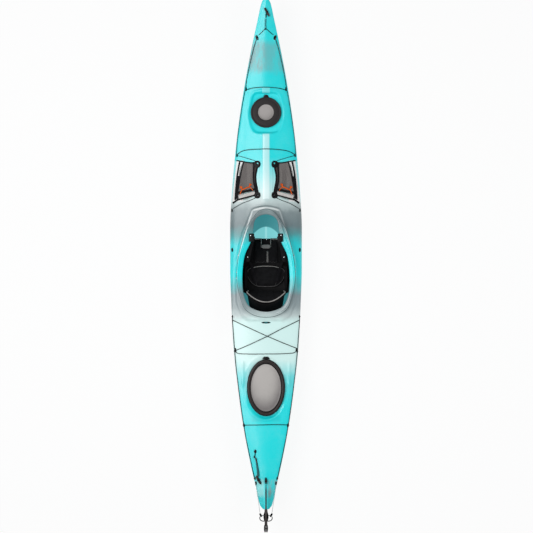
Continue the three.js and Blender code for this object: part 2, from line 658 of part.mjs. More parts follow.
const panTop = SEAT.panHeight;
const SEAM_SHARE = 0.72;
const SEAM_SHARPNESS = 12;
const TIP_SHARE = 0.004;
const EDGE_SHARE = 0.12;
const BACK_FOOT_SHARE = 0.74;
const BACK_DIP_SHARE = 0.17;
const BACK_TIP_SHARE = 0.06;
const BRACE_TIP_SHARE = 0.45;
const BRACE_END_SHARE = 0.05;
const HANGER_SHARE = 0.125;
const BLADE_NECK_SHARE = 1.3;
const seatWidthShares = [[0, 0.5], [0.12, 0.72], [0.3, 0.88], [0.55, 1], [1, 0.98]];
const lifterWidthShares = [[0, 1], [0.5, 1], [1, 0.86]];

function seatCushion() {
  return cushion({
    front: CUSHION.front,
    rear: CUSHION.rear,
    halfWidthAt: (s) => CUSHION.halfWidth * along(seatWidthShares, s),
    bottomAt: () => panTop + SEAT_GAP,
    heightAt: (s, v) => {
      const seam = (Math.abs(v) - SEAM_SHARE) * SEAM_SHARPNESS;
      return CUSHION.height * edgeFade(v) - CUSHION.channel * Math.exp(-seam * seam);
    },
  });
}

function legLifter() {
  return cushion({
    front: LIFTER.front,
    rear: LIFTER.rear,
    halfWidthAt: (s) => LIFTER.halfWidth * along(lifterWidthShares, s),
    bottomAt: () => panTop + SEAT_GAP,
    heightAt: (s, v) => {
      const seam = v * SEAM_SHARPNESS;
      return LIFTER.height * edgeFade(v) - CUSHION.channel * Math.exp(-seam * seam);
    },
  });
}

const cushionMesh = new THREE.Mesh(toGeometry(seatCushion()));

function cushionTop(x, y) {
  caster.set(at(x, y, DECK_DEPTH), DOWN);
  return caster.intersectObject(cushionMesh)[0].point.z;
}

function seatPanOutline(margin) {
  const wide = SEAT.halfWidth - margin;
  const narrow = SEAT.panFrontHalfWidth - margin;
  const rear = SEAT.rear + margin;
  const front = SEAT.panFront - margin;
  return polygon([
    [front, -narrow], [front, narrow], [SEAT.wideFrom, narrow], [SEAT.wideFrom - SEAT.corner, wide],
    [rear + SEAT.corner, wide], [rear, wide - SEAT.rearCorner], [rear, -wide + SEAT.rearCorner],
    [rear + SEAT.corner, -wide], [SEAT.wideFrom - SEAT.corner, -wide], [SEAT.wideFrom, -narrow],
  ]);
}

function seatPan() {
  const under = upright(seatPanOutline(SEAT.panWall), -CUT_OVERRUN, panTop - SEAT.panWall);
  const notchFront = SEAT.panFront + CUT_OVERRUN;
  const notch = box(
    at(SEAT.panFront - SEAT.notchDepth, -SEAT.notchWidth / 2, -CUT_OVERRUN),
    at(notchFront, SEAT.notchWidth / 2, DECK_DEPTH),
  );
  const pan = upright(seatPanOutline(0), -CUT_OVERRUN, panTop).subtract(under).subtract(notch);
  const cheek = upright(seatPanOutline(0), -CUT_OVERRUN, panTop).intersect(box(
    at(SEAT.panFront - SEAT.notchDepth - SEAT.panWall, -SEAT.notchWidth / 2 - SEAT.panWall, -CUT_OVERRUN),
    at(SEAT.panFront, SEAT.notchWidth / 2 + SEAT.panWall, DECK_DEPTH),
  )).subtract(notch);
  const wings = [1, -1].map((side) => seatWing(side));
  return pan.add(cheek).add(wings[0]).add(wings[1]).intersect(roomSolid);
}

// Height of the side wing as shares of its own, from its front to its rear.
const wingShares = [[0, 0.12], [0.12, 0.62], [0.3, 0.9], [0.5, 1], [0.75, 1], [0.92, 0.82], [1, 0.5]];

// Side of the seat, leaning out from the pan's edge to under the cockpit rim that carries it.
function seatWing(side) {
  const foot = SEAT.halfWidth - SEAT.panWall;
  const low = panTop - SEAT.panWall;
  const rings = wingShares.map(([share, rise]) => {
    const x = mix(WING.front, WING.rear, share);
    const high = mix(low, WING.topZ, rise);
    const out = foot + WING.reach * rise;
    return [[foot, low], [out, high], [out + SEAT.panWall, high], [SEAT.halfWidth, low]]
      .map(([y, z]) => at(x, side * y, z));
  });
  return toSolid(loft(rings));
}

// Seat back surface: forward face place at a share across and a share up.
function backPoint(across, up, depth) {
  const wrapX = BACK.wrap * across * across;
  const x = mix(BACK.x, BACK.topX + wrapX, up) - depth;
  const y = BACK.halfWidth * across * mix(BACK_FOOT_SHARE, 1, Math.sqrt(up));
  return at(x, y, mix(BACK.bottomZ, BACK.topZ - wrapX * BACK_DIP_SHARE, up));
}

// Its outer strip runs the other way round on the frame, so that facing facets match.
function backShell(near, far, facesCushion = false) {
  const ACROSS = 10;
  const UPWARD = 6;
  const rings = [];
  for (let i = 0; i <= UPWARD; i += 1) {
    const up = i / UPWARD;
    const puff = Math.sqrt(Math.sin(mix(BACK_TIP_SHARE, 1 - BACK_TIP_SHARE, up) * Math.PI));
    const face = [];
    const rear = [];
    for (let j = 0; j <= ACROSS; j += 1) {
      const across = mix(-1, 1, j / ACROSS);
      const fade = puff * edgeFade(across);
      face.push(backPoint(across, up, mix(far, near, fade)));
      rear.push(backPoint(across, up, far));
    }
    rings.push(facesCushion ? [...rear, ...face.reverse()] : [...face, ...rear.reverse()]);
  }
  return toSolid(loft(rings));
}

function seatBackFrame() {
  const shell = backShell(BACK.thickness + SEAT_GAP, BACK.thickness + SEAT_GAP + BACK.frame, true);
  return [1, -1].reduce((frame, side) => {
    const lugFront = BACK.x - BACK.thickness - BACK.frame;
    const pinZ = panTop + SEAT_GAP + BACK.hingeRadius;
    const lug = box(
      at(lugFront - 2 * BACK.hingeRadius, side * BACK.hingeY - BACK.frame, pinZ),
      at(lugFront, side * BACK.hingeY + BACK.frame, BACK.bottomZ + 2 * BACK.hingeRadius),
    );
    const pin = at(lugFront - BACK.hingeRadius, side * BACK.hingeY, pinZ);
    return frame.add(lug).add(cylinder(BACK.hingeRadius, BACK.hingeLength, PORT, pin, 12));
  }, shell);
}

// Padded wing inside the cockpit mouth, hung from the deck beside it.
const braceHeight = (x) => deckTop(x, BRACE.y) - WALL - BRACE.drop;

function thighBrace() {
  const rings = [];
  for (let i = 0; i <= BRACE_STEPS; i += 1) {
    const share = i / BRACE_STEPS;
    const x = BRACE.x + BRACE.length * (share - 0.5);
    const y = BRACE.y - BRACE.width * share * share;
    const taper = mix(
      BRACE_TIP_SHARE, 1, Math.sqrt(Math.sin(mix(BRACE_END_SHARE, 1 - BRACE_END_SHARE, share) * Math.PI)),
    );
    const ring = [];
    for (let k = 0; k < BRACE_STEPS; k += 1) {
      const angle = (k / BRACE_STEPS) * Math.PI * 2;
      const across = (BRACE.width / 2) * taper * Math.cos(angle);
      ring.push(at(x, y + across, braceHeight(x) + (BRACE.thickness / 2) * Math.sin(angle)));
    }
    rings.push(ring);
  }
  const hanger = box(
    at(BRACE.x - BRACE.length * HANGER_SHARE, BRACE.y, braceHeight(BRACE.x) - BRACE.thickness / 4),
    at(BRACE.x + BRACE.length * HANGER_SHARE, BRACE.y + BRACE.width, DECK_DEPTH),
  );
  return toSolid(loft(rings)).add(hanger).subtract(braceClearance());
}

// Room kept round the cockpit mouth so that the hanger stays below the cut edge.
function braceClearance() {
  const mouth = new THREE.Shape(mouthPoints.map((p) => new THREE.Vector2(p.x, p.y)));
  return upright(mouth, braceHeight(BRACE.x) + BRACE.thickness / 2, DECK_DEPTH);
}

// Knob that locks the brace, standing on its rear half.
function braceKnob() {
  const base = braceHeight(BRACE.knobX + BRACE.knobRadius) + BRACE.thickness / 2 + SEAT_GAP;
  const middle = at(BRACE.knobX, BRACE.y, base + BRACE.knobHeight / 2);
  return cylinder(BRACE.knobRadius, BRACE.knobHeight, UP, middle, 16);
}

// Inner face of the hull side at a height, found from the room's section.
function sideWall(x, z) {
  const ring = section(x / (HULL_LENGTH / 2), WALL);
  const top = ring.findIndex((p, i) => i < BILGE_STEPS && ring[i + 1].z >= z);
  const share = (z - ring[top].z) / (ring[top + 1].z - ring[top].z);
  return mix(ring[top].y, ring[top + 1].y, share);
}

// Rail that fits the hull's side: straight inside, and trimmed by the wall outside.
function footRail() {
  const low = RAIL.z - RAIL.height / 2;
  const high = RAIL.z + RAIL.height / 2;
  const rings = [RAIL.rear, RAIL.front].map((x) => {
    const inner = sideWall(x, low) - RAIL.thickness;
    const outer = inner + 3 * RAIL.thickness;
    return [at(x, outer, low), at(x, outer, high), at(x, inner, high), at(x, inner, low)];
  });
  return toSolid(loft(rings));
}

// Pedal outline as shares of its width and height.
const pedalShares = [
  [0, -0.5], [0.36, -0.44], [0.5, 0.1], [0.4, 0.62], [-0.4, 0.62], [-0.5, 0.1], [-0.36, -0.44],
];

// Pedal plate with a carriage that runs on the inner face of its rail.
function footPedal() {
  const low = RAIL.z - RAIL.height / 2;
  const railInner = (x) => {
    const share = (x - RAIL.rear) / (RAIL.front - RAIL.rear);
    return mix(sideWall(RAIL.rear, low), sideWall(RAIL.front, low), share) - RAIL.thickness;
  };
  const inner = railInner(PEDAL.x) - PEDAL.carriage * railTaper() - SEAT_GAP;
  const carriage = railSlider(railInner, inner);
  const face = polygon(pedalShares.map(([y, z]) => [y * PEDAL.width, z * PEDAL.height]));
  const plate = new THREE.ExtrudeGeometry(face, { depth: PEDAL.thickness, bevelEnabled: false });
  const turn = new THREE.Matrix4().makeBasis(PORT, UP, new THREE.Vector3(1, 0, 0));
  const middle = inner - PEDAL.width / 2;
  plate.applyMatrix4(turn).translate(PEDAL.x - PEDAL.thickness, middle, RAIL.z);
  return carriage.add(toSolid(plate));
}

// How fast the rail leans in towards the bow.
function railTaper() {
  const low = RAIL.z - RAIL.height / 2;
  return (sideWall(RAIL.rear, low) - sideWall(RAIL.front, low)) / (RAIL.front - RAIL.rear);
}

// Carriage with a sloped outer face that runs along the rail's inner face.
function railSlider(railInner, inner) {
  const low = RAIL.z - RAIL.height / 2;
  const rings = [PEDAL.x - PEDAL.carriage / 2, PEDAL.x + PEDAL.carriage / 2].map((x) => {
    const outer = railInner(x) - SEAT_GAP;
    const root = inner - PEDAL.thickness;
    const high = low + RAIL.height;
    return [at(x, outer, low), at(x, outer, high), at(x, root, high), at(x, root, low)];
  });
  return toSolid(loft(rings));
}

function rudderBracket() {
  const { steerX, bracketBottom: low } = RUDDER;
  const stern = -HULL_LENGTH / 2 - SEAT_GAP;
  const plate = box(
    at(steerX, -RUDDER.plateWidth / 2, low),
    at(stern, RUDDER.plateWidth / 2, RUDDER.headLow - SEAT_GAP),
  );
  const lowerTop = RUDDER.headLow - SEAT_GAP;
  const barrel = cylinder(RUDDER.barrelRadius, lowerTop - low, UP, at(steerX, 0, (low + lowerTop) / 2));
  const pinTop = RUDDER.bracketTop - SEAT_GAP;
  const pin = cylinder(RUDDER.pinRadius, pinTop - low, UP, at(steerX, 0, (low + pinTop) / 2));
  const head = RUDDER.headHigh + SEAT_GAP;
  const capMiddle = at(steerX, 0, (pinTop + head) / 2);
  const cap = cylinder(RUDDER.barrelRadius - RUDDER.bore, pinTop - head, UP, capMiddle);
  return plate.add(barrel).add(pin).add(cap);
}

function rudderYoke() {
  const { steerX, headLow, headHigh, neckWidth, cheekWall, pivotX, pivotZ, cheekRadius } = RUDDER;
  const noseRadius = RUDDER.barrelRadius + 3 * RUDDER.bore;
  const headMiddle = at(steerX, 0, (headLow + headHigh) / 2);
  const head = upright(polygon([
    [steerX, -noseRadius], [steerX, noseRadius],
    [RUDDER.armX, RUDDER.headWidth / 2], [RUDDER.headRear, RUDDER.headWidth / 2 - RUDDER.armRadius],
    [RUDDER.headRear, -RUDDER.headWidth / 2 + RUDDER.armRadius], [RUDDER.armX, -RUDDER.headWidth / 2],
  ]), headLow, headHigh);
  const nose = cylinder(noseRadius, headHigh - headLow, UP, headMiddle);
  const bore = cylinder(RUDDER.pinRadius + RUDDER.bore, DECK_DEPTH, UP, at(steerX, 0, headLow));
  const arms = cylinder(
    RUDDER.armRadius, 2 * RUDDER.armReach, PORT, at(RUDDER.armX, 0, (headLow + headHigh) / 2), 12,
  );
  const slot = BLADE.thickness + 2 * RUDDER.cheekGap;
  const cheekSide = new THREE.Shape().absarc(pivotX, pivotZ, cheekRadius, 0, Math.PI * 2, false);
  const cheeks = sideways(cheekSide, slot + 2 * cheekWall);
  const neckSide = polygon([
    [RUDDER.headRear + RUDDER.armRadius, headLow], [RUDDER.headRear + RUDDER.armRadius, headHigh],
    [pivotX + cheekRadius - cheekWall / 2, headHigh + cheekWall],
    [pivotX + cheekRadius / 2, headHigh + cheekWall],
    [pivotX + cheekRadius / 2, headHigh - cheekWall], [pivotX + cheekRadius - cheekWall, headLow],
  ]);
  const neck = sideways(neckSide, neckWidth - cheekWall / 4);
  const rootGap = BLADE.rootRadius + 2 * RUDDER.cheekGap;
  const gapSide = new THREE.Shape().absarc(pivotX, pivotZ, rootGap, 0, Math.PI * 2, false);
  const front = pivotX + cheekRadius;
  const rear = pivotX - 2 * cheekRadius;
  const shelf = pivotZ - BLADE.drop - RUDDER.cheekGap * 2;
  const top = DECK_DEPTH + cheekRadius;
  const tall = polygon([
    [front, shelf], [front + BLADE.rootRadius, DECK_DEPTH], [front + BLADE.rootRadius, top], [rear, top],
    [rear, 0], [pivotX, 0], [pivotX, shelf],
  ]);
  const pivot = at(pivotX, 0, pivotZ);
  const pinHole = cylinder(RUDDER.pivotRadius + RUDDER.bore, RUDDER.headWidth, PORT, pivot, 16);
  return head.add(nose).add(arms).add(cheeks).add(neck)
    .subtract(bore).subtract(sideways(gapSide, slot)).subtract(sideways(tall, slot)).subtract(pinHole)
    .subtract(loweredBlade(slot));
}

// Room for the blade where it hangs down behind the stern.
function loweredBlade(thickness) {
  const { pivotX, pivotZ, lowerTurn } = RUDDER;
  const geometry = toGeometry(sideways(bladeSide(), thickness, 10));
  return toSolid(geometry.translate(-pivotX, 0, -pivotZ).rotateY(-lowerTurn).translate(pivotX, 0, pivotZ));
}

function rudderPin() {
  const length = BLADE.thickness + 2 * RUDDER.cheekGap + 2 * RUDDER.cheekWall;
  return cylinder(RUDDER.pivotRadius, length, PORT, at(RUDDER.pivotX, 0, RUDDER.pivotZ), 16);
}

// Outline of the blade in its stowed place, pointing forward over the stern deck.
function bladeSide() {
  const { pivotX, pivotZ } = RUDDER;
  const { rootRadius, drop, tipX, chord, shoulder } = BLADE;
  const low = pivotZ - drop;
  const high = low + chord;
  const side = new THREE.Shape();
  const dip = Math.asin(drop / rootRadius);
  side.moveTo(pivotX + rootRadius * Math.cos(dip), low);
  side.lineTo(tipX - drop, low);
  side.quadraticCurveTo(tipX, low, tipX, low + drop);
  side.bezierCurveTo(tipX, high - drop, tipX - drop, high, tipX - 3 * rootRadius, high);
  const neck = pivotZ + rootRadius * BLADE_NECK_SHARE;
  side.bezierCurveTo(pivotX + 2 * shoulder, high, pivotX + shoulder, neck, pivotX, pivotZ + rootRadius);
  return side.absarc(pivotX, pivotZ, rootRadius, Math.PI / 2, Math.PI * 2 - dip, false);
}

function rudderBlade() {
  const pivot = at(RUDDER.pivotX, 0, RUDDER.pivotZ);
  const hole = cylinder(RUDDER.pivotRadius + RUDDER.bore, BLADE.chord, PORT, pivot, 16);
  return sideways(bladeSide(), BLADE.thickness, 10).subtract(hole);
}

function rudderChock() {
  const crest = RUDDER.pivotZ - BLADE.drop - SEAT_GAP * 2;
  const stop = BLADE.tipX + BLADE.thickness * 2;
  const low = deckTop(CHOCK.rear, CHOCK.width / 2) - PAD_EYE.sink;
  const top = crest + CHOCK.stopHeight;
  const foot = box(at(CHOCK.rear, -CHOCK.width / 2, low), at(CHOCK.front, CHOCK.width / 2, crest));
  const wall = box(at(stop, -CHOCK.crestWidth / 2, low), at(CHOCK.front, CHOCK.crestWidth / 2, top));
  return foot.add(wall).subtract(lifted(SEAT_GAP));
}

// Saddle with an eye, seated on the deck at a place and turned in plan.
function padEye([x, y], turn) {
  const { length, width, base, archRadius } = PAD_EYE;
  const side = new THREE.Shape();
  const deck = PAD_EYE.lift;
  side.moveTo(-length / 2, deck);
  side.lineTo(length / 2, deck);
  side.lineTo(length / 2, base);
  side.lineTo(archRadius, base);
  side.absarc(0, base, archRadius, 0, Math.PI, false);
  side.lineTo(-length / 2, base);
  const geometry = new THREE.ExtrudeGeometry(side, { depth: width, bevelEnabled: false, curveSegments: 4 });
  geometry.rotateX(Math.PI / 2).translate(0, width / 2, 0);
  return toSolid(ontoDeck(geometry, x, y, turn));
}

// Points along a plan route at a height over the deck, square to it.
function deckPoints(route, height, steps) {
  const plan = new THREE.CatmullRomCurve3(route.map(([x, y]) => at(x, y, 0)), false, 'centripetal');
  return plan.getSpacedPoints(steps).map((p) => {
    const { point, normal } = deckAt(p.x, p.y);
    return point.addScaledVector(normal, height);
  });
}

// Cord along a plan route, lying on the deck, with the saddles that hold it.
function deckLine(route, radius, steps, eyes = []) {
  let line = roundTube(deckPoints(route, radius + CORD.lift, steps), radius, steps);
  for (const [spot, turn] of eyes) line = line.add(padEye(spot, turn));
  return line;
}

// Saddles at both ends of a route, each turned along the boat.
const saddles = (route) => ends(route).map((spot) => [spot, 0]);
const inStarboard = (route) => route.map(([x, y]) => [x, -y]);
const ends = (route) => [route[0], route.at(-1)];

function pocketParts(side) {
  const column = (corners, margin) => {
    const outline = new THREE.Shape(growOutline(corners, side, margin));
    return upright(outline, 0, DECK_DEPTH + CUT_OVERRUN);
  };
  const band = column(pocketOutline, 0).subtract(column(pocketWindow, 0)).subtract(column(pocketMouth, 0));
  const hooks = hookPlaces.reduce((rings, [x, y]) => rings.add(hookRing(x, side * y)), band);
  const frame = onDeck(hooks, SEAT_GAP, SEAT_GAP + POCKET.frame);
  const reach = upright(polygon(panelOutline.map(([x, y]) => [x, side * y])), 0, DECK_DEPTH + CUT_OVERRUN);
  const panel = onDeck(column(trayOutline, -SEAT_GAP).intersect(reach), -POCKET.panel, 0);
  return { frame, panel };
}

// Flat open hook at an inner corner of the pocket, as an upright column.
function hookRing(x, y) {
  const loop = ellipse(x, y, POCKET.hookLength / 2, POCKET.hookWidth / 2);
  const eye = ellipse(x, y, POCKET.hookLength / 2 - POCKET.hookBar, POCKET.hookWidth / 2 - POCKET.hookBar);
  const outer = upright(loop, 0, DECK_DEPTH + CUT_OVERRUN, 8);
  return outer.subtract(upright(eye, -CUT_OVERRUN, DECK_DEPTH + 2 * CUT_OVERRUN, 6));
}

function toggleBar(middle, length, turn) {
  const bar = new THREE.CapsuleGeometry(TOGGLE.radius, length, 3, 10);
  bar.rotateZ(Math.PI / 2).rotateZ(turn).translate(middle.x, middle.y, middle.z);
  return toSolid(bar);
}

// Low moulded fitting with a given outline, seated on the deck.
function deckFitting(outline, height, x, y) {
  const options = { depth: height + PAD_EYE.sink, bevelEnabled: false, curveSegments: 8 };
  const geometry = new THREE.ExtrudeGeometry(outline, options).translate(0, 0, -PAD_EYE.sink);
  return toSolid(ontoDeck(geometry, x, y, 0)).subtract(lifted(SEAT_GAP));
}

// Cord that comes over another at a place along it, raised there by a diameter and the gap.
function crossingLine(route, radius, steps, overX) {
  const raise = 2 * radius + 2 * SEAT_GAP;
  const points = deckPoints(route, radius + CORD.lift, steps).map((p) => {
    const apart = (p.x - overX) / CORD.crossReach;
    return p.add(at(0, 0, raise * Math.exp(-apart * apart)));
  });
  return roundTube(points, radius, steps);
}

// Two legs to the side saddles, two strands to the stem fitting, and the knot that joins them.
function bowBungee() {
  const legs = roundTube(deckPoints(bowYokeRoute, CORD.thinRadius + CORD.lift, 12), CORD.thinRadius, 12);
  const strand = roundTube(deckPoints(bowStrandRoute, CORD.thinRadius + CORD.lift, 4), CORD.thinRadius, 4);
  const [knotX, knotY] = bowYokeRoute[2];
  const knot = new THREE.SphereGeometry(CORD.knotRadius, 8, 6);
  const centre = deckAt(knotX, knotY);
  const lift = centre.point.addScaledVector(centre.normal, CORD.knotRadius + CORD.lift);
  return legs.add(strand).add(toSolid(knot.translate(lift.x, lift.y, lift.z)));
}

function steeringCable(side) {
  const start = deckAt(CABLE.guideX, side * CABLE.guideY);
  const from = start.point.addScaledVector(start.normal, CABLE.guideRadius / 2);
  const armZ = (RUDDER.headLow + RUDDER.headHigh) / 2;
  const armFront = RUDDER.armX + RUDDER.armRadius + SEAT_GAP;
  const to = at(armFront, side * (RUDDER.armReach - RUDDER.armRadius), armZ);
  const cable = roundTube([from, from.clone().lerp(to, 0.5), to], CABLE.radius, 4);
  const guide = cylinder(
    CABLE.guideRadius, CABLE.guideLength, to.clone().sub(from).normalize(), from, 10,
  );
  return cable.add(guide).subtract(lifted(SEAT_GAP));
}

// Flat webbing along a route, square to the surface that a function gives.
function webbing(route, width, thickness, heightAt, steps) {
  const plan = new THREE.CatmullRomCurve3(route.map(([x, y]) => at(x, y, 0)), false, 'centripetal');
  const rings = [];
  for (let i = 0; i <= steps; i += 1) {
    const p = plan.getPointAt(i / steps);
    const across = UP.clone().cross(plan.getTangentAt(i / steps)).multiplyScalar(width / 2);
    const left = p.clone().add(across);
    const right = p.clone().sub(across);
    const low = Math.max(heightAt(left), heightAt(right));
    rings.push([
      at(left.x, left.y, low), at(left.x, left.y, low + thickness), at(right.x, right.y, low + thickness),
      at(right.x, right.y, low),
    ]);
  }
  return toSolid(loft(rings));
}

// Middle of a toggle's bar, which rests on the highest deck below its ends.
function barMiddle(x, y, length, turn) {
  const reachX = (length / 2) * Math.cos(turn);
  const reachY = (length / 2) * Math.sin(turn);
  const high = Math.max(deckTop(x + reachX, y + reachY), deckTop(x - reachX, y - reachY), deckTop(x, y));
  return at(x, y, high + TOGGLE.radius + PAD_EYE.lift);
}

const bowBar = barMiddle(TOGGLE.barX, TOGGLE.barY, TOGGLE.bowLength, TOGGLE.bowTurn);
const sternBar = barMiddle(TOGGLE.sternX, TOGGLE.sternY, TOGGLE.sternLength, TOGGLE.sternTurn);

// Thin loop that ties the bow toggle's bar to its fitting on the stem.
function bowToggleCord() {
  const { cordX, barX } = TOGGLE;
  const fitting = deckFitting(ellipse(0, 0, PAD_EYE.length / 2, PAD_EYE.width / 2), PAD_EYE.base, cordX, 0);
  const over = bowBar.z + TOGGLE.radius + CORD.thinRadius + SEAT_GAP;
  const points = [
    at(cordX, 0, deckTop(cordX, 0) + PAD_EYE.base), at(mix(cordX, barX, 0.5), TOGGLE.barY / 2, over),
    at(barX, TOGGLE.barY, over + SEAT_GAP),
  ];
  return fitting.add(roundTube(points, CORD.thinRadius, 8));
}

// Lens-shaped grip that rests on the front of the leg lifter.
function lifterHandle() {
  const grip = new THREE.SphereGeometry(1, 12, 6);
  grip.scale(LIFTER.handleRadius * 2, LIFTER.handleLength / 2, LIFTER.handleRadius);
  grip.translate(LIFTER.handleX, 0, panTop + LIFTER.height);
  const clear = toSolid(toGeometry(legLifter()).translate(0, 0, SEAT_GAP));
  return toSolid(grip).subtract(clear);
}

const group = new THREE.Group();

function finish(color, roughness, metalness = 0) {
  return new THREE.MeshStandardMaterial({ color, roughness, metalness });
}

function place(name, shape, material) {
  const geometry = shape.isBufferGeometry ? shape : toGeometry(shape);
  const mesh = new THREE.Mesh(geometry, material);
  mesh.name = name;
  group.add(mesh);
  return mesh;
}

const FINISH = {
  shell: () => finish('#3fdfe2', 0.28),
  foam: () => finish('#2b2e30', 0.9),
  rubber: () => finish('#2e2c2d', 0.65),
  brownRubber: () => finish('#4a4544', 0.6),
  grey: () => finish('#9b9694', 0.5),
  black: () => finish('#191a1c', 0.75),
  fabric: () => finish('#1d1e20', 0.9),
  mesh: () => finish('#5d6366', 0.85),
  orange: () => finish('#d9682a', 0.7),
  metal: () => finish('#b4b8ba', 0.3, 1),
};

place('hull', hull(), FINISH.shell());
place('front_bulkhead', bulkhead(BULKHEAD.frontX), FINISH.foam());
place('rear_bulkhead', bulkhead(BULKHEAD.rearX), FINISH.foam());

const frontCoverShape = hatchCover(
  FRONT_HATCH.radius, frontCollar, FRONT_HATCH.collarHeight, FRONT_DISC_RADIUS,
);
const frontCover = place('front_hatch_cover', frontCoverShape, FINISH.rubber());
frontCover.position.set(FRONT_HATCH.x, 0, FRONT_HATCH.floorZ);
const frontDiscShape = coverDisc(FRONT_HATCH.collarHeight, FRONT_DISC_RADIUS);
const frontDisc = place('front_hatch_disc', frontDiscShape, FINISH.grey());
frontDisc.position.copy(frontCover.position);

const rearLidRadius = REAR_HATCH.radius - REAR_LID_MARGIN;
const rearRim = place(
  'rear_hatch_rim', hatchCover(REAR_HATCH.radius, rearCollar, REAR_HATCH.collarHeight, rearLidRadius),
  FINISH.brownRubber(),
);
rearRim.position.set(REAR_HATCH.x, 0, REAR_HATCH.floorZ);
rearRim.scale.set(rearStretchShare, 1, 1);
const rearLid = place('rear_hatch_lid', coverDisc(REAR_HATCH.collarHeight, rearLidRadius), FINISH.grey());
rearLid.position.copy(rearRim.position);
rearLid.scale.copy(rearRim.scale);
place('front_hatch_tether', tether(FRONT_HATCH, FRONT_HATCH.x + FRONT_HATCH.radius), FINISH.black());
place('rear_hatch_tether', tether(REAR_HATCH, REAR_HATCH.x + REAR_HATCH.length / 2), FINISH.black());

place('seat_pan', seatPan(), FINISH.black());
place('seat_cushion', seatCushion(), FINISH.fabric());
place('leg_lifter', legLifter(), FINISH.fabric());
place('seat_back_frame', seatBackFrame(), FINISH.black());
place('seat_back_cushion', backShell(0, BACK.thickness), FINISH.fabric());

for (const [word, side] of [['port', 1], ['starboard', -1]]) {
  const mirrored = (solid) => (side > 0 ? solid : toSolid(toStarboard(toGeometry(solid))));
  const inRoom = (solid) => mirrored(solid).intersect(roomSolid);
  place(`${word}_thigh_brace`, inRoom(thighBrace()), FINISH.black());
  place(`${word}_brace_knob`, mirrored(braceKnob()), FINISH.metal());
  place(`${word}_foot_rail`, inRoom(footRail()), FINISH.metal());
  place(`${word}_foot_pedal`, mirrored(footPedal()), FINISH.black());
  const routeFor = (route) => (side > 0 ? route : inStarboard(route));
  const front = routeFor(frontEdgeRoute);
  place(`${word}_front_line`, deckLine(front, CORD.edgeRadius, 12, saddles(front)), FINISH.black());
  const rear = routeFor(rearEdgeRoute);
  const rearSaddles = [...ends(rear), rear[2], rear[5]].map((spot) => [spot, 0]);
  place(`${word}_rear_line`, deckLine(rear, CORD.edgeRadius, 18, rearSaddles), FINISH.black());
  const pocket = pocketParts(side);
  place(`${word}_pocket_frame`, pocket.frame, FINISH.black());
  place(`${word}_pocket_panel`, pocket.panel, FINISH.mesh());
}

for (const [word, side] of [['port', 1], ['starboard', -1]]) {
  const routeFor = (route) => (side > 0 ? route : inStarboard(route));
  const cord = routeFor(hookCordRoute);
  place(`${word}_pocket_cord`, deckLine(cord, CORD.radius, 9, [[cord.at(-1), 0]]), FINISH.black());
  const pull = deckPoints(routeFor(pullRoute), POCKET.frame + 2 * SEAT_GAP + PULL.radius, 12);
  place(`${word}_pocket_pull`, roundTube(pull, PULL.radius, 12), FINISH.orange());
  const oval = ellipse(0, 0, OVAL.length / 2, OVAL.width / 2);
  place(`${word}_side_fitting`, deckFitting(oval, OVAL.height, OVAL.x, side * OVAL.y), FINISH.black());
  place(`${word}_steering_cable`, steeringCable(side), FINISH.metal());
  const overCushion = (p) => cushionTop(p.x, p.y) + 3 * SEAT_GAP;
  const strap = webbing(routeFor(seatStrapRoute), STRAP.width, STRAP.thickness, overCushion, 10);
  place(`${word}_seat_strap`, strap, FINISH.black());
}

place('lifter_handle', lifterHandle(), FINISH.grey());
place('front_bungee', deckLine(frontBungeeRoute, CORD.radius, 12), FINISH.black());
place('middle_bungee', deckLine(midBungeeRoute, CORD.radius, 16, saddles(midBungeeRoute)), FINISH.black());
place('cross_bungee_under', deckLine(crossBungeeRoute, CORD.radius, 18), FINISH.black());
const overRoute = inStarboard(crossBungeeRoute);
place('cross_bungee_over', crossingLine(overRoute, CORD.radius, 18, crossBungeeRoute[2][0]), FINISH.black());
place('rear_bungee', deckLine(rearBungeeRoute, CORD.radius, 12), FINISH.black());
place('aft_bungee', deckLine(aftBungeeRoute, CORD.radius, 12), FINISH.black());
place('bow_bungee', bowBungee(), FINISH.black());
place('bow_toggle_cord', bowToggleCord(), FINISH.black());
place('bow_toggle', toggleBar(bowBar, TOGGLE.bowLength, TOGGLE.bowTurn), FINISH.rubber());
const sternStrap = webbing(
  sternStrapRoute, TOGGLE.strapWidth, TOGGLE.strapThickness, (p) => deckTop(p.x, p.y) + 2 * SEAT_GAP, 12,
);
place('stern_toggle_strap', sternStrap, FINISH.brownRubber());
place('stern_toggle_fitting', padEye([TOGGLE.fittingX, sternStrapRoute[0][1]], 0), FINISH.black());
place('stern_toggle', toggleBar(sternBar, TOGGLE.sternLength, TOGGLE.sternTurn), FINISH.rubber());
const eyelet = ellipse(0, 0, EYELET.width / 2, EYELET.length / 2);
place('rear_deck_eyelet', deckFitting(eyelet, EYELET.height, EYELET.x, 0), FINISH.black());

place('rudder_bracket', rudderBracket(), FINISH.metal());
place('rudder_yoke', rudderYoke(), FINISH.grey());
place('rudder_blade', rudderBlade(), FINISH.brownRubber());
place('rudder_blade_pin', rudderPin(), FINISH.metal());
place('rudder_chock', rudderChock(), FINISH.black());

export default group;
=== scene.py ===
"""Looks of the sea kayak: fine meshes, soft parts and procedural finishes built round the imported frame."""

import json
import logging
import math
from dataclasses import dataclass, field
from enum import Enum
from typing import Callable, Iterable, Sequence

import bpy
import numpy as np
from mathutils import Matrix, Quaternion, Vector
from mathutils.bvhtree import BVHTree

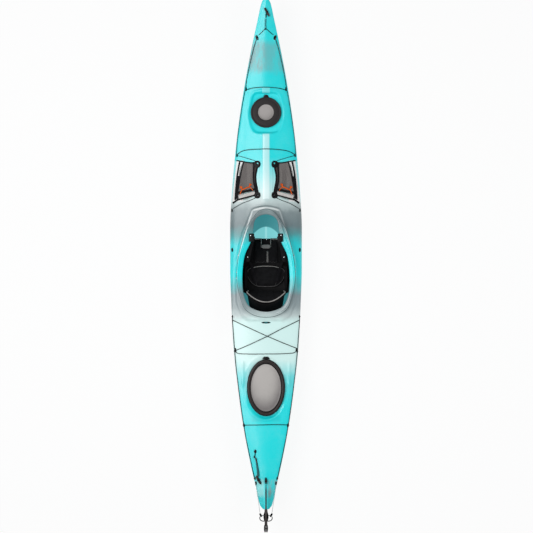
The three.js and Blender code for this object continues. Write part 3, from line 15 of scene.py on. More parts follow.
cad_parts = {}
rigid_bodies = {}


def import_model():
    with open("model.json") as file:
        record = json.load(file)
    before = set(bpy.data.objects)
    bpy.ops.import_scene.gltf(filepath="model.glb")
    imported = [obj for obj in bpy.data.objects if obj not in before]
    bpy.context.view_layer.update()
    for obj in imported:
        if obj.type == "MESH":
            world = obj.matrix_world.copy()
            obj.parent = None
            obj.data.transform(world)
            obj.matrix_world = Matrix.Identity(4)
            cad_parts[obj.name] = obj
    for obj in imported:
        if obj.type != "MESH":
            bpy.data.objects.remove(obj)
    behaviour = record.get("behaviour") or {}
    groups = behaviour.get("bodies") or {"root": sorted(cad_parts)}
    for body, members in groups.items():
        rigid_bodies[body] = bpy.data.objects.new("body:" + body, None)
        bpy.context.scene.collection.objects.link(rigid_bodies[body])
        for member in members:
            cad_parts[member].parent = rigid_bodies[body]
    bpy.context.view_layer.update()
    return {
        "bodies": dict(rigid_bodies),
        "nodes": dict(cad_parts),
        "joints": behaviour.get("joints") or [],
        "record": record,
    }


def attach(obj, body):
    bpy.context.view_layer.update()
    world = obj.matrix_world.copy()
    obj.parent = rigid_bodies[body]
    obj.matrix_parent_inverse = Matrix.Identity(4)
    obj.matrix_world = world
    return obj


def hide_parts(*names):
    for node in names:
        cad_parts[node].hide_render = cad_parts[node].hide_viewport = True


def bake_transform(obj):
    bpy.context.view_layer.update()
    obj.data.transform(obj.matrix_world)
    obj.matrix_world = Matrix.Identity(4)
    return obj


log = logging.getLogger("kayak")

SIDES = ((1, "port"), (-1, "starboard"))
Point = tuple[float, float, float]
Colour = tuple[float, float, float]


def linear(code: str) -> Colour:
    """Colour of a six-digit code, in linear light.

    Args:
        code: red, green and blue as two hexadecimal digits each.

    Returns:
        The three channels as the shader wants them.
    """
    channels = (int(code[i:i + 2], 16) / 255 for i in (0, 2, 4))
    return tuple(c / 12.92 if c <= 0.04045 else ((c + 0.055) / 1.055) ** 2.4 for c in channels)


class Sock:
    """A value in a node tree that Python's own operators work on."""

    def __init__(self, shader: "Shader", socket: bpy.types.NodeSocket) -> None:
        """Keeps the socket with the shader that it belongs to."""
        self.shader = shader
        self.socket = socket

    def _math(self, kind: str, *values: object) -> "Sock":
        """One Math node.

        Args:
            kind: the node's operation.
            values: its inputs, in order.

        Returns:
            The node's result.
        """
        inputs = dict(enumerate(values))
        return self.shader.node("ShaderNodeMath", {"operation": kind}, inputs)

    def __add__(self, other: object) -> "Sock":
        """The sum."""
        return self._math("ADD", self, other)

    def __radd__(self, other: object) -> "Sock":
        """The sum, with the plain number first."""
        return self._math("ADD", other, self)

    def __sub__(self, other: object) -> "Sock":
        """The difference."""
        return self._math("SUBTRACT", self, other)

    def __rsub__(self, other: object) -> "Sock":
        """The difference, with the plain number first."""
        return self._math("SUBTRACT", other, self)

    def __mul__(self, other: object) -> "Sock":
        """The product."""
        return self._math("MULTIPLY", self, other)

    def __rmul__(self, other: object) -> "Sock":
        """The product, with the plain number first."""
        return self._math("MULTIPLY", other, self)

    def __truediv__(self, other: object) -> "Sock":
        """The quotient."""
        return self._math("DIVIDE", self, other)

    def __abs__(self) -> "Sock":
        """The size without its sign."""
        return self._math("ABSOLUTE", self)

    def wave(self) -> "Sock":
        """The sine."""
        return self._math("SINE", self)

    def wrap(self, span: float) -> "Sock":
        """The remainder within a span."""
        return self._math("WRAP", self, span, 0.0)

    def above(self, limit: object) -> "Sock":
        """One where the value is above the limit and zero elsewhere."""
        return self._math("GREATER_THAN", self, limit)

    def most(self, other: object) -> "Sock":
        """The larger of the two."""
        return self._math("MAXIMUM", self, other)

    def step(self, low: float, high: float) -> "Sock":
        """A soft step.

        Args:
            low: where it starts from zero.
            high: where it has reached one.

        Returns:
            The step's height, from 0 to 1.
        """
        return self.shader.node(
            "ShaderNodeMapRange",
            {"interpolation_type": "SMOOTHSTEP"},
            {"Value": self, "From Min": low, "From Max": high, "To Min": 0.0, "To Max": 1.0},
        )

    def band(self, low: float, high: float, soft: float) -> "Sock":
        """One between two values and zero outside them.

        Args:
            low: the band's lower edge.
            high: its upper edge.
            soft: the width over which each edge fades.

        Returns:
            The band's height, from 0 to 1.
        """
        return self.step(low - soft, low + soft) * (1 - self.step(high - soft, high + soft))


class Shader:
    """One material with its node tree, filled by short calls."""

    def __init__(self, name: str) -> None:
        """Starts the material with a principled surface."""
        self.material = bpy.data.materials.new(name)
        self.material.use_nodes = True
        self.tree = self.material.node_tree
        self.tree.nodes.clear()
        self.out = self.tree.nodes.new("ShaderNodeOutputMaterial")
        self.surface = self.tree.nodes.new("ShaderNodeBsdfPrincipled")
        self.tree.links.new(self.surface.outputs[0], self.out.inputs["Surface"])
        self._place: Sock | None = None

    def node(self, kind: str, settings: dict | None = None, inputs: dict | None = None,
             output: str | int = 0) -> Sock:
        """Adds a node.

        Args:
            kind: the node's type.
            settings: its own properties, set first; "stops" fills a colour ramp.
            inputs: values or links of its sockets, by name or number.
            output: which output is wanted.

        Returns:
            That output.
        """
        made = self.tree.nodes.new(kind)
        for key, value in (settings or {}).items():
            if key == "stops":
                self._fill_ramp(made.color_ramp, value)
            else:
                setattr(made, key, value)
        for key, value in (inputs or {}).items():
            self.feed(made.inputs[key], value)
        return Sock(self, made.outputs[output])

    @staticmethod
    def _fill_ramp(ramp: bpy.types.ColorRamp, stops: Sequence[tuple[float, Colour]]) -> None:
        """Gives a colour ramp its stops.

        Args:
            ramp: the ramp.
            stops: places and colours, in order.
        """
        while len(ramp.elements) > 1:
            ramp.elements.remove(ramp.elements[-1])
        ramp.elements[0].position = stops[0][0]
        ramp.elements[0].color = (*stops[0][1], 1)
        for place, colour in stops[1:]:
            ramp.elements.new(place).color = (*colour, 1)

    def feed(self, socket: bpy.types.NodeSocket, value: object) -> None:
        """Links or sets a socket.

        Args:
            socket: the socket to fill.
            value: another socket, a number or a colour.
        """
        if isinstance(value, Sock):
            self.tree.links.new(value.socket, socket)
        elif isinstance(value, tuple) and socket.type == "RGBA":
            socket.default_value = (*value, 1)
        else:
            socket.default_value = value

    def place(self) -> Sock:
        """The object's own coordinates."""
        if self._place is None:
            self._place = self.node("ShaderNodeTexCoord", output="Object")
        return self._place

    def axis(self, index: int) -> Sock:
        """One of the object's coordinates.

        Args:
            index: 0 along the boat, 1 across it, 2 up.

        Returns:
            That coordinate in metres.
        """
        return self.node("ShaderNodeSeparateXYZ", {}, {0: self.place()}, index)

    def unrolled(self, index: int) -> Sock:
        """The piece's own map: 0 in turns round it, 1 in metres along it."""
        made = self.node("ShaderNodeUVMap")
        return self.node("ShaderNodeSeparateXYZ", {}, {0: made}, index)

    def scaled(self, scale: Point) -> Sock:
        """The coordinates stretched by three factors."""
        return self.node("ShaderNodeMapping", {}, {"Vector": self.place(), "Scale": scale})

    def noise(self, scale: float, detail: float = 3.0, rough: float = 0.55,
              vector: Sock | None = None) -> Sock:
        """Soft noise.

        Args:
            scale: how many lumps fit in a metre.
            detail: how many finer layers it has.
            rough: how strong they are.
            vector: the coordinates, if not the object's own.

        Returns:
            The noise, about 0 to 1.
        """
        return self.node(
            "ShaderNodeTexNoise", {},
            {"Vector": vector or self.place(), "Scale": scale, "Detail": detail, "Roughness": rough},
        )

    def mix(self, share: object, first: object, second: object) -> Sock:
        """A colour between two.

        Args:
            share: 0 for the first and 1 for the second.
            first: a colour or a socket.
            second: another.

        Returns:
            The mixed colour.
        """
        return self.node(
            "ShaderNodeMix", {"data_type": "RGBA"}, {0: share, 6: first, 7: second}, 2,
        )

    def bump(self, height: object, depth: float, strength: float = 1.0) -> None:
        """Gives the surface fine relief.

        Args:
            height: the relief, about 0 to 1.
            depth: what 1 stands for, in metres.
            strength: how much of it shows.
        """
        made = self.node("ShaderNodeBump", {}, {"Height": height, "Distance": depth, "Strength": strength})
        self.feed(self.surface.inputs["Normal"], made)

    def set(self, **values: object) -> "Shader":
        """Fills the principled surface's sockets, spaces in their names written as underscores."""
        for key, value in values.items():
            self.feed(self.surface.inputs[key.replace("_", " ")], value)
        return self


class Finish:
    """What every finish has: a name and one material that its pieces share."""

    name: str

    def shade(self, shader: Shader) -> None:
        """Fills the shader.

        Args:
            shader: the material to fill.
        """
        raise NotImplementedError

    def material(self) -> bpy.types.Material:
        """The finish's material, made on its first use."""
        label = self.name + "_look"
        found = bpy.data.materials.get(label)
        if found:
            return found
        shader = Shader(label)
        self.shade(shader)
        return shader.material

    def on(self, piece: bpy.types.Object) -> bpy.types.Object:
        """Dresses a piece.

        Args:
            piece: the object that gets the material.

        Returns:
            The same object.
        """
        piece.data.materials.clear()
        piece.data.materials.append(self.material())
        return piece


BOW_X = 2.135
HULL_SPAN = 4.27


@dataclass(frozen=True)
class ShellFinish(Finish):
    """Moulded polyethylene whose colours run into each other along the boat."""

    name: str = "shell_blend"
    cyan: str = "0ADFE3"
    fore: str = "10DDE1"
    pale: str = "6ADFE2"
    mint: str = "D6F4F0"
    chalk: str = "BCCAC9"
    deep: str = "00DEE2"
    smoke: str = "7F9799"
    white: str = "E6E3E1"
    bright: str = "D8F6F6"

    def stops(self) -> list[tuple[float, Colour]]:
        """Places along the boat in shares from stern to bow, with their colours."""
        table = (
            (-BOW_X, self.cyan), (-1.26, "06E2E6"), (-1.04, self.pale), (-0.88, self.mint),
            (-0.57, self.mint), (-0.52, self.chalk), (-0.46, "93A0A2"), (-0.35, "87969A"),
            (-0.27, "55BDC1"), (-0.18, "0CE4E7"), (-0.04, self.deep), (0.08, "10DADE"),
            (0.17, "4F9A9D"), (0.24, "66767A"), (0.36, "7F8C8E"), (0.43, self.chalk),
            (0.50, "C8E6E5"), (0.62, "A6E6E7"), (0.73, self.pale), (0.81, self.fore), (BOW_X, self.fore),
        )
        return [((x + BOW_X) / HULL_SPAN, linear(code)) for x, code in table]

    def end_zones(self, shader: Shader) -> list[tuple[Sock, str]]:
        """Smoke near the bow, and the grey and the pale patch of the stern, with their colours."""
        x, y, z = (shader.axis(index) for index in range(3))
        drift = (shader.noise(9.0, 4.0, 0.65) - 0.5) * 0.09
        streak = shader.noise(5.0, 5.0, 0.7, shader.scaled((1.0, 3.6, 1.0))).step(0.36, 0.62)
        port = y.step(-0.03, 0.07) * 0.42 + 0.50
        bow = (x + drift).band(1.52, 1.77, 0.035) * z.step(0.14, 0.30)
        stern = (x + drift * 0.6).band(-2.03, -1.90, 0.02) * z.step(0.17, 0.285)
        return [
            (bow * (streak * 0.6 + 0.35) * port, self.smoke),
            (stern * (1 - y.step(-0.03, 0.04) * 0.7) * streak * 0.9, "9AA8AA"),
            (stern * y.step(0.0, 0.03) * 0.75, "A4F6F6"),
        ]

    def pocket_zones(self, shader: Shader) -> list[tuple[Sock, str]]:
        """The white and the pale side beside each deck pocket, and the line round its tray."""
        x, y, z = (shader.axis(index) for index in range(3))
        side = abs(y)
        outer = side + (x - 0.771) * 0.1217
        beside = x.band(0.442, 0.784, 0.004) * z.step(0.19, 0.245)
        lens = side + (x - 0.62) * (x - 0.62) * 0.6
        return [
            (beside * side.above(0.19) * (1 - outer.step(0.2455, 0.2485)) * 0.95, self.white),
            (beside * outer.step(0.2465, 0.2495) * 0.8, "9FE4E6"),
            (lens.band(0.0570, 0.0605, 0.0015) * x.band(0.52, 0.73, 0.02), "78BABC"),
        ]

    def painted_light_and_recess_zones(self, shader: Shader) -> list[tuple[Sock, str]]:
        """Painted highlights on facets and painted shade in creases round the cockpit, along the crown and by
        the hatches, and plain cyan in the front recess.
        """
        x, y = shader.axis(0), shader.axis(1)
        side = abs(y)
        ridge = side + (x - 0.369) * 0.312
        facet_highlight = ridge.band(0.106, 0.118, 0.004) * x.step(-0.16, 0.10) * (1 - x.step(0.352, 0.376))
        brow = x + y * y * 1.5
        crown = x.band(0.462, 1.004, 0.006) * (1 - y.step(0.024, 0.029)) * y.step(-0.034, -0.022)
        # Painted highlight on the cockpit's facets, stronger to port; a painted shadow arc ahead of the
        # cockpit with a painted highlight behind it; a painted highlight along the crown with painted shade
        # at its port step; plain cyan in the front recess; a painted highlight at the front recess's fore
        # lip; painted shade along the rear recess's aft edge.
        return [
            (facet_highlight * (y.step(-0.02, 0.02) * 0.3 + 0.25), "F4FBFA"),
            (brow.band(0.388, 0.408, 0.005) * (1 - side.step(0.10, 0.135)) * 0.5, "5E6A6C"),
            (brow.band(0.376, 0.392, 0.004) * (1 - side.step(0.095, 0.125)) * 0.7, "E8EEEC"),
            (crown * (0.75 - x.step(0.52, 0.70) * 0.2), "EAFBFA"),
            (x.band(0.745, 1.0, 0.01) * y.band(0.029, 0.033, 0.0015) * 0.55, "0A9DA3"),
            (self.hollow(shader) * 0.75, "00DEE3"),
            (x.band(1.346, 1.388, 0.003) * (1 - side.step(0.030, 0.034)) * 0.35, "B8F6F6"),
            (x.band(-1.405, -1.352, 0.006) * (1 - side.step(0.10, 0.14)) * 0.7, "00CED3"),
        ]

    @staticmethod
    def hollow(shader: Shader) -> Sock:
        """Where the front hatch's recess lies: saturated and free of shine."""
        along = (shader.axis(0) - 1.182) / 0.176
        across = shader.axis(1) / 0.146
        along, across = along * along, across * across
        return 1 - (along * along + across * across).step(0.80, 1.10)

    def shade(self, shader: Shader) -> None:
        """Colour zones with wavering borders, painted highlights and shade on the deck's facets and creases,
        fine speckle and a faint orange-peel gloss.
        """
        drift = (shader.noise(2.6, 4.0, 0.62) - 0.5) * 0.11 + (shader.noise(16.0, 3.0) - 0.5) * 0.045
        along = (shader.axis(0) + drift + BOW_X) / HULL_SPAN
        zones = shader.node("ShaderNodeValToRGB", {"stops": self.stops()}, {"Fac": along})
        speck = shader.noise(900.0, 2.0).step(0.62, 0.80) * 0.07
        cloud = shader.noise(7.0, 5.0, 0.65).step(0.40, 0.80) * 0.06
        hollow = self.hollow(shader)
        tone = zones
        for zone, code in (*self.end_zones(shader), *self.pocket_zones(shader), *self.painted_light_and_recess_zones(shader)):
            tone = shader.mix(zone, tone, linear(code))
        tone = shader.mix(cloud, tone, linear(self.bright))
        shader.set(
            Base_Color=shader.mix(speck, tone, linear(self.bright)),
            Roughness=shader.noise(60.0, 3.0) * 0.10 + 0.30 + hollow * 0.25,
            Coat_Weight=(1 - hollow) * 0.3,
        )
        shader.surface.inputs["Coat Roughness"].default_value = 0.16
        shader.bump(shader.noise(260.0, 3.0, 0.6), 0.0004, 0.3)


@dataclass(frozen=True)
class InsideFinish(Finish):
    """The shell's inner skin: teal darkened as painted shade, with a painted pool of light on the floor ahead
    of the seat.
    """

    name: str = "shell_inside"

    def shade(self, shader: Shader) -> None:
        """Darkened teal as painted shade, and an emission inside the cockpit that paints light there,
        brightest in the pool on the floor ahead of the seat and along its keel line.
        """
        x, y = shader.axis(0), shader.axis(1)
        room = x.band(-0.55, 0.62, 0.03)
        # Painted light: the pool of light on the floor ahead of the seat, and a painted highlight along the
        # keel line in it.
        lit = (0.238 - y * y * 5.4 - x).step(-0.004, 0.006) * x.above(0.02)
        keel = lit * (1 - abs(y).step(0.006, 0.012)) * 0.5
        cloud = shader.noise(12.0, 4.0, 0.6).step(0.3, 0.8) * 0.2
        tone = shader.mix(cloud, linear("2F8185"), linear("2A6F73"))
        # Painted light as emission: faint inside the whole cockpit, brighter in the pool ahead of the seat
        # and on the keel line.
        glow = shader.mix(lit, linear("357479"), linear("74BFC2"))
        glow = shader.mix(keel, glow, linear("A6DCDD"))
        shader.set(
            Base_Color=tone, Roughness=shader.noise(60.0, 3.0) * 0.1 + 0.45,
            Emission_Color=shader.mix(room, (0.0, 0.0, 0.0), glow), Emission_Strength=1.0,
        )
        shader.bump(shader.noise(220.0, 3.0, 0.6), 0.0004, 0.3)


@dataclass(frozen=True)
class PlainFinish(Finish):
    """A moulded or cast surface with soft mottling, grain and worn edges."""

    name: str
    base: str
    worn: str
    rough: float = 0.5
    metal: float = 0.0
    grain: float = 700.0
    depth: float = 0.00015
    shine: float = 0.22

    def shade(self, shader: Shader) -> None:
        """Mottled colour, fine grain and uneven gloss."""
        mottle = shader.noise(38.0, 4.0, 0.6).step(0.35, 0.75)
        scuff = shader.noise(210.0, 3.0, 0.7).step(0.56, 0.75) * 0.45
        tone = shader.mix(mottle * 0.35, linear(self.base), linear(self.worn))
        shader.set(
            Base_Color=shader.mix(scuff, tone, linear(self.worn)),
            Roughness=self.rough + (shader.noise(90.0, 2.0) - 0.5) * 0.16,
            Metallic=self.metal, Specular_IOR_Level=self.shine,
        )
        shader.bump(shader.noise(self.grain, 2.0, 0.6), self.depth, 0.5)


REAR_LID_X = -1.12
FRONT_DISC_X = 1.184


@dataclass(frozen=True)
class CordFinish(Finish):
    """Braided cord: crossing strands from the piece's own map, with pale tracer flecks."""

    name: str
    base: str
    fleck: str
    amount: float = 0.5
    pitch: float = 0.011

    def shade(self, shader: Shader) -> None:
        """Two families of spiral strands, flecks along the length, and a matt surface."""
        turn, along = shader.unrolled(0), shader.unrolled(1)
        spiral = math.tau / self.pitch
        one = (turn * (3 * math.tau) + along * spiral).wave()
        two = (turn * (3 * math.tau) - along * spiral).wave()
        weave = one.most(two)
        fleck = (one * two).above(0.35) * shader.noise(55.0, 1.0).step(0.42, 0.60) * self.amount
        tone = shader.mix(weave.step(-0.2, 0.9) * 0.55, linear("0B0B0C"), linear(self.base))
        shader.set(Base_Color=shader.mix(fleck, tone, linear(self.fleck)), Roughness=0.72 - fleck * 0.2,
                   Specular_IOR_Level=0.15)
        shader.bump(weave, 0.0003, 0.8)


@dataclass(frozen=True)
class FabricFinish(Finish):
    """Woven cloth or webbing from the object's own coordinates."""

    name: str
    base: str
    worn: str
    count: float = 620.0
    depth: float = 0.00025
    rough: float = 0.9

    def shade(self, shader: Shader) -> None:
        """Crossing threads, soft mottling and a dull sheen."""
        along = (shader.axis(0) * (self.count * 2.4)).wave()
        across = ((shader.axis(1) + shader.axis(2) * 0.7) * (self.count * 2.4)).wave()
        threads = (along * across) * 0.5 + 0.5
        mottle = shader.noise(30.0, 4.0, 0.6).step(0.35, 0.7)
        tone = shader.mix(mottle * 0.5 + threads * 0.35, linear(self.base), linear(self.worn))
        shader.set(Base_Color=tone, Roughness=self.rough - threads * 0.1, Specular_IOR_Level=0.08)
        shader.bump(threads, self.depth, 0.6)


@dataclass(frozen=True)
class NetFinish(Finish):
    """Fine grey mesh: small dark holes between pale threads, and painted light and shade of soft vertical
    folds.
    """

    name: str
    base: str
    hole: str
    pitch: float = 0.0034

    def shade(self, shader: Shader) -> None:
        """Rows of holes, folds of light and shade, and a matt surface."""
        turns = math.tau / self.pitch
        holes = ((shader.axis(0) * turns).wave() * (shader.axis(1) * turns).wave()).step(0.25, 0.7)
        fold = shader.noise(9.0, 3.0, 0.55, shader.scaled((0.35, 3.4, 1.0))).step(0.34, 0.68)
        tone = shader.mix(fold * 0.5, linear(self.base), linear("8E8986"))
        shader.set(Base_Color=shader.mix(holes * 0.7, tone, linear(self.hole)), Roughness=0.8,
                   Specular_IOR_Level=0.1)
        shader.bump(holes, 0.0004, -0.6)


@dataclass(frozen=True)
class LidFinish(Finish):
    """Grey hatch lid with painted shading: a painted highlight at its crown that fades to painted shade
    towards its edge.
    """

    name: str
    crown: str
    edge: str
    x: float
    half_length: float
    half_width: float

    def shade(self, shader: Shader) -> None:
        """A soft oval gradient of painted highlight and shade, centred forward of the middle, with mottling
        and a satin surface.
        """
        along = (shader.axis(0) - (self.x + 0.38 * self.half_length)) / (1.3 * self.half_length)
        across = (shader.axis(1) - 0.1 * self.half_width) / (1.15 * self.half_width)
        # Painted highlight at the crown fading to painted shade at the edge.
        share = (along * along + across * across).step(0.05, 1.1)
        cloud = (shader.noise(16.0, 4.0, 0.6) - 0.5) * 0.3
        tone = shader.mix(share + cloud, linear(self.crown), linear(self.edge))
        scuff = shader.noise(180.0, 3.0, 0.7).step(0.6, 0.78) * 0.2
        shader.set(
            Base_Color=shader.mix(scuff, tone, linear("B9B4B0")),
            Roughness=shader.noise(70.0, 2.0) * 0.14 + 0.42,
        )
        shader.bump(shader.noise(650.0, 2.0, 0.6), 0.00015, 0.5)


class Palette(Enum):
    """The finishes by the record's material slots."""

    SHELL = ("shell", ShellFinish())
    INSIDE = ("shell", InsideFinish())
    # Painted shade: the dark line of the shadow under the coaming's lip.
    SEAM = ("shell", PlainFinish("coaming_seam", "47585B", "5A6C6F", 0.5, shine=0.1))
    FOAM = ("foam", PlainFinish("bulkhead_foam", "3A3D40", "55595C", 0.9, grain=420.0, depth=0.0006))
    HATCH_RUBBER = ("hatch_rubber", PlainFinish("hatch_rubber", "2A2727", "353131", 0.6))
    BROWN_RUBBER = ("brown_rubber", PlainFinish("brown_rubber", "2E2928", "3E3736", 0.42))
    GREY_COVER = ("grey_cover", PlainFinish("grey_cover", "A39D9B", "B6B1AE", 0.5))
    REAR_LID = ("grey_cover", LidFinish("rear_lid_grey", "B2ADA9", "767170", REAR_LID_X, 0.192, 0.129))
    FRONT_DISC = ("grey_cover", LidFinish("front_disc_grey", "A09A97", "85807D", FRONT_DISC_X, 0.066, 0.066))
    SEAT_PLASTIC = ("black_plastic", PlainFinish("seat_plastic", "100F10", "1B1A1B", 0.6, shine=0.1))
    TOGGLE = ("black_plastic", PlainFinish("toggle_grip", "2E2725", "5A4E4A", 0.35))
    BLACK_PLASTIC = ("black_plastic", PlainFinish("black_plastic", "0C0C0D", "1A191B", 0.5, shine=0.15))
    CHOCK = ("black_plastic", PlainFinish("chock_brown", "241B1A", "3A2E2C", 0.5, shine=0.12))
    BLACK_CORD = ("black_cord", CordFinish("black_cord", "34393B", "B9BDBC", 0.8))
    BUNGEE = ("black_cord", CordFinish("bungee_black", "1A1B1C", "6C6F70", 0.35, 0.008))
    STRAND = ("black_cord", PlainFinish("teal_strand", "215E61", "3F8488", 0.3))
    SEAT_FABRIC = ("seat_fabric", FabricFinish("seat_fabric", "131213", "201F21"))
    PIPING = ("seat_fabric", FabricFinish("grey_piping", "86827F", "A5A19E", 900.0))
    STITCH = ("seat_fabric", FabricFinish("pale_stitch", "454243", "585556", 900.0))
    POCKET_MESH = ("pocket_mesh", NetFinish("pocket_mesh", "6E6967", "3D3A38"))
    PALE_STRIP = ("webbing", FabricFinish("pale_strip", "BDB8B5", "D0CCC9", 700.0))
    BROWN_WEB = ("webbing", FabricFinish("brown_web", "3E3735", "544B48", 700.0))
    WEBBING = ("webbing", FabricFinish("webbing", "111012", "242225", 700.0))
    ORANGE_CORD = ("orange_cord", FabricFinish("orange_cord", "D24E0E", "EE7A38", 900.0))
    STEEL = ("steel", PlainFinish("steel", "C8CACC", "E2E4E6", 0.25, 1.0, shine=0.5))
    ALLOY = ("alloy", PlainFinish("alloy", "8F9496", "AEB3B5", 0.32, 1.0, shine=0.5))
    GRIP = ("alloy", PlainFinish("grip_grey", "7A7674", "A5A19E", 0.4))
    YOKE_GREY = ("yoke_grey", PlainFinish("yoke_grey", "0D0D0E", "1C1B1D", 0.5, shine=0.15))
    BLADE_PLASTIC = ("blade_plastic", PlainFinish("blade_plastic", "2E2220", "493A37", 0.5, shine=0.12))

    @property
    def slot(self) -> str:
        """The record's name for this finish."""
        return self.value[0]

    def dress(self, piece: bpy.types.Object) -> bpy.types.Object:
        """Gives a piece this finish.

        Args:
            piece: the object.

        Returns:
            The same object.
        """
        self.value[1].on(piece)
        return piece


def mix(first: float, second: float, share: float) -> float:
    """The value at a share of the way from the first to the second."""
    return first + (second - first) * share


def soft_step(low: float, high: float, value: float) -> float:
    """A smooth rise.

    Args:
        low: where the rise starts from zero.
        high: where it has reached one, which may be below low.
        value: the place asked for.

    Returns:
        The height there, from 0 to 1.
    """
    share = min(1.0, max(0.0, (value - low) / (high - low)))
    return share * share * (3 - 2 * share)


def even_path(points: Sequence[Vector], count: int, closed: bool = False) -> list[Vector]:
    """A smooth line through points.

    Args:
        points: what the line passes through.
        count: how many points are wanted, evenly spaced.
        closed: whether the line comes back to its start.

    Returns:
        The line's points.
    """
    base = [Vector(p) for p in points]
    if closed:
        base = [base[-1], *base, base[0], base[1]]
    else:
        base = [2 * base[0] - base[1], *base, 2 * base[-1] - base[-2]]
    fine: list[Vector] = []
    for a, b, c, d in zip(base, base[1:], base[2:], base[3:]):
        steps = 24
        knots = [0.0]
        for near, far in ((a, b), (b, c), (c, d)):
            knots.append(knots[-1] + max(1e-6, math.sqrt((far - near).length)))
        t0, t1, t2, t3 = knots
        for k in range(steps):
            t = mix(t1, t2, k / steps)
            ab = a.lerp(b, (t - t0) / (t1 - t0))
            bc = b.lerp(c, (t - t1) / (t2 - t1))
            cd = c.lerp(d, (t - t2) / (t3 - t2))
            low = ab.lerp(bc, (t - t0) / (t2 - t0))
            high = bc.lerp(cd, (t - t1) / (t3 - t1))
            fine.append(low.lerp(high, (t - t1) / (t2 - t1)))
    fine.append(base[-2].copy())
    return spaced(fine, count, closed)


def spaced(points: Sequence[Vector], count: int, closed: bool = False) -> list[Vector]:
    """The same line with evenly spaced points.

    Args:
        points: a line of close points.
        count: how many points are wanted.
        closed: leaves out the last one, which is the first again.

    Returns:
        The new points.
    """
    reach = [0.0]
    for near, far in zip(points, points[1:]):
        reach.append(reach[-1] + (far - near).length)
    parts = count if closed else count - 1
    found, at = [], 0
    for k in range(count):
        goal = reach[-1] * k / parts
        while at < len(points) - 2 and reach[at + 1] < goal:
            at += 1
        span = max(1e-9, reach[at + 1] - reach[at])
        found.append(points[at].lerp(points[at + 1], min(1.0, (goal - reach[at]) / span)))
    return found


def path_length(points: Sequence[Vector]) -> float:
    """Length of a line of points."""
    return sum((far - near).length for near, far in zip(points, points[1:]))


def flat_line(plan: Iterable[tuple[float, float]]) -> list[Vector]:
    """Places in the plan as points at height zero."""
    return [Vector((x, y, 0)) for x, y in plan]


def plan_path(plan: Iterable[tuple[float, float]], count: int, closed: bool = False) -> list[Vector]:
    """A smooth line through places in the plan."""
    return even_path(flat_line(plan), count, closed)


def both_halves(port: Sequence[tuple[float, float]]) -> list[tuple[float, float]]:
    """A closed outline from its port half, which starts and ends on the centreline."""
    return [*port, *((x, -y) for x, y in port[-2:0:-1])]


def circle(count: int) -> list[float]:
    """Angles of evenly spaced points round a circle."""
    return [math.tau * i / count for i in range(count)]


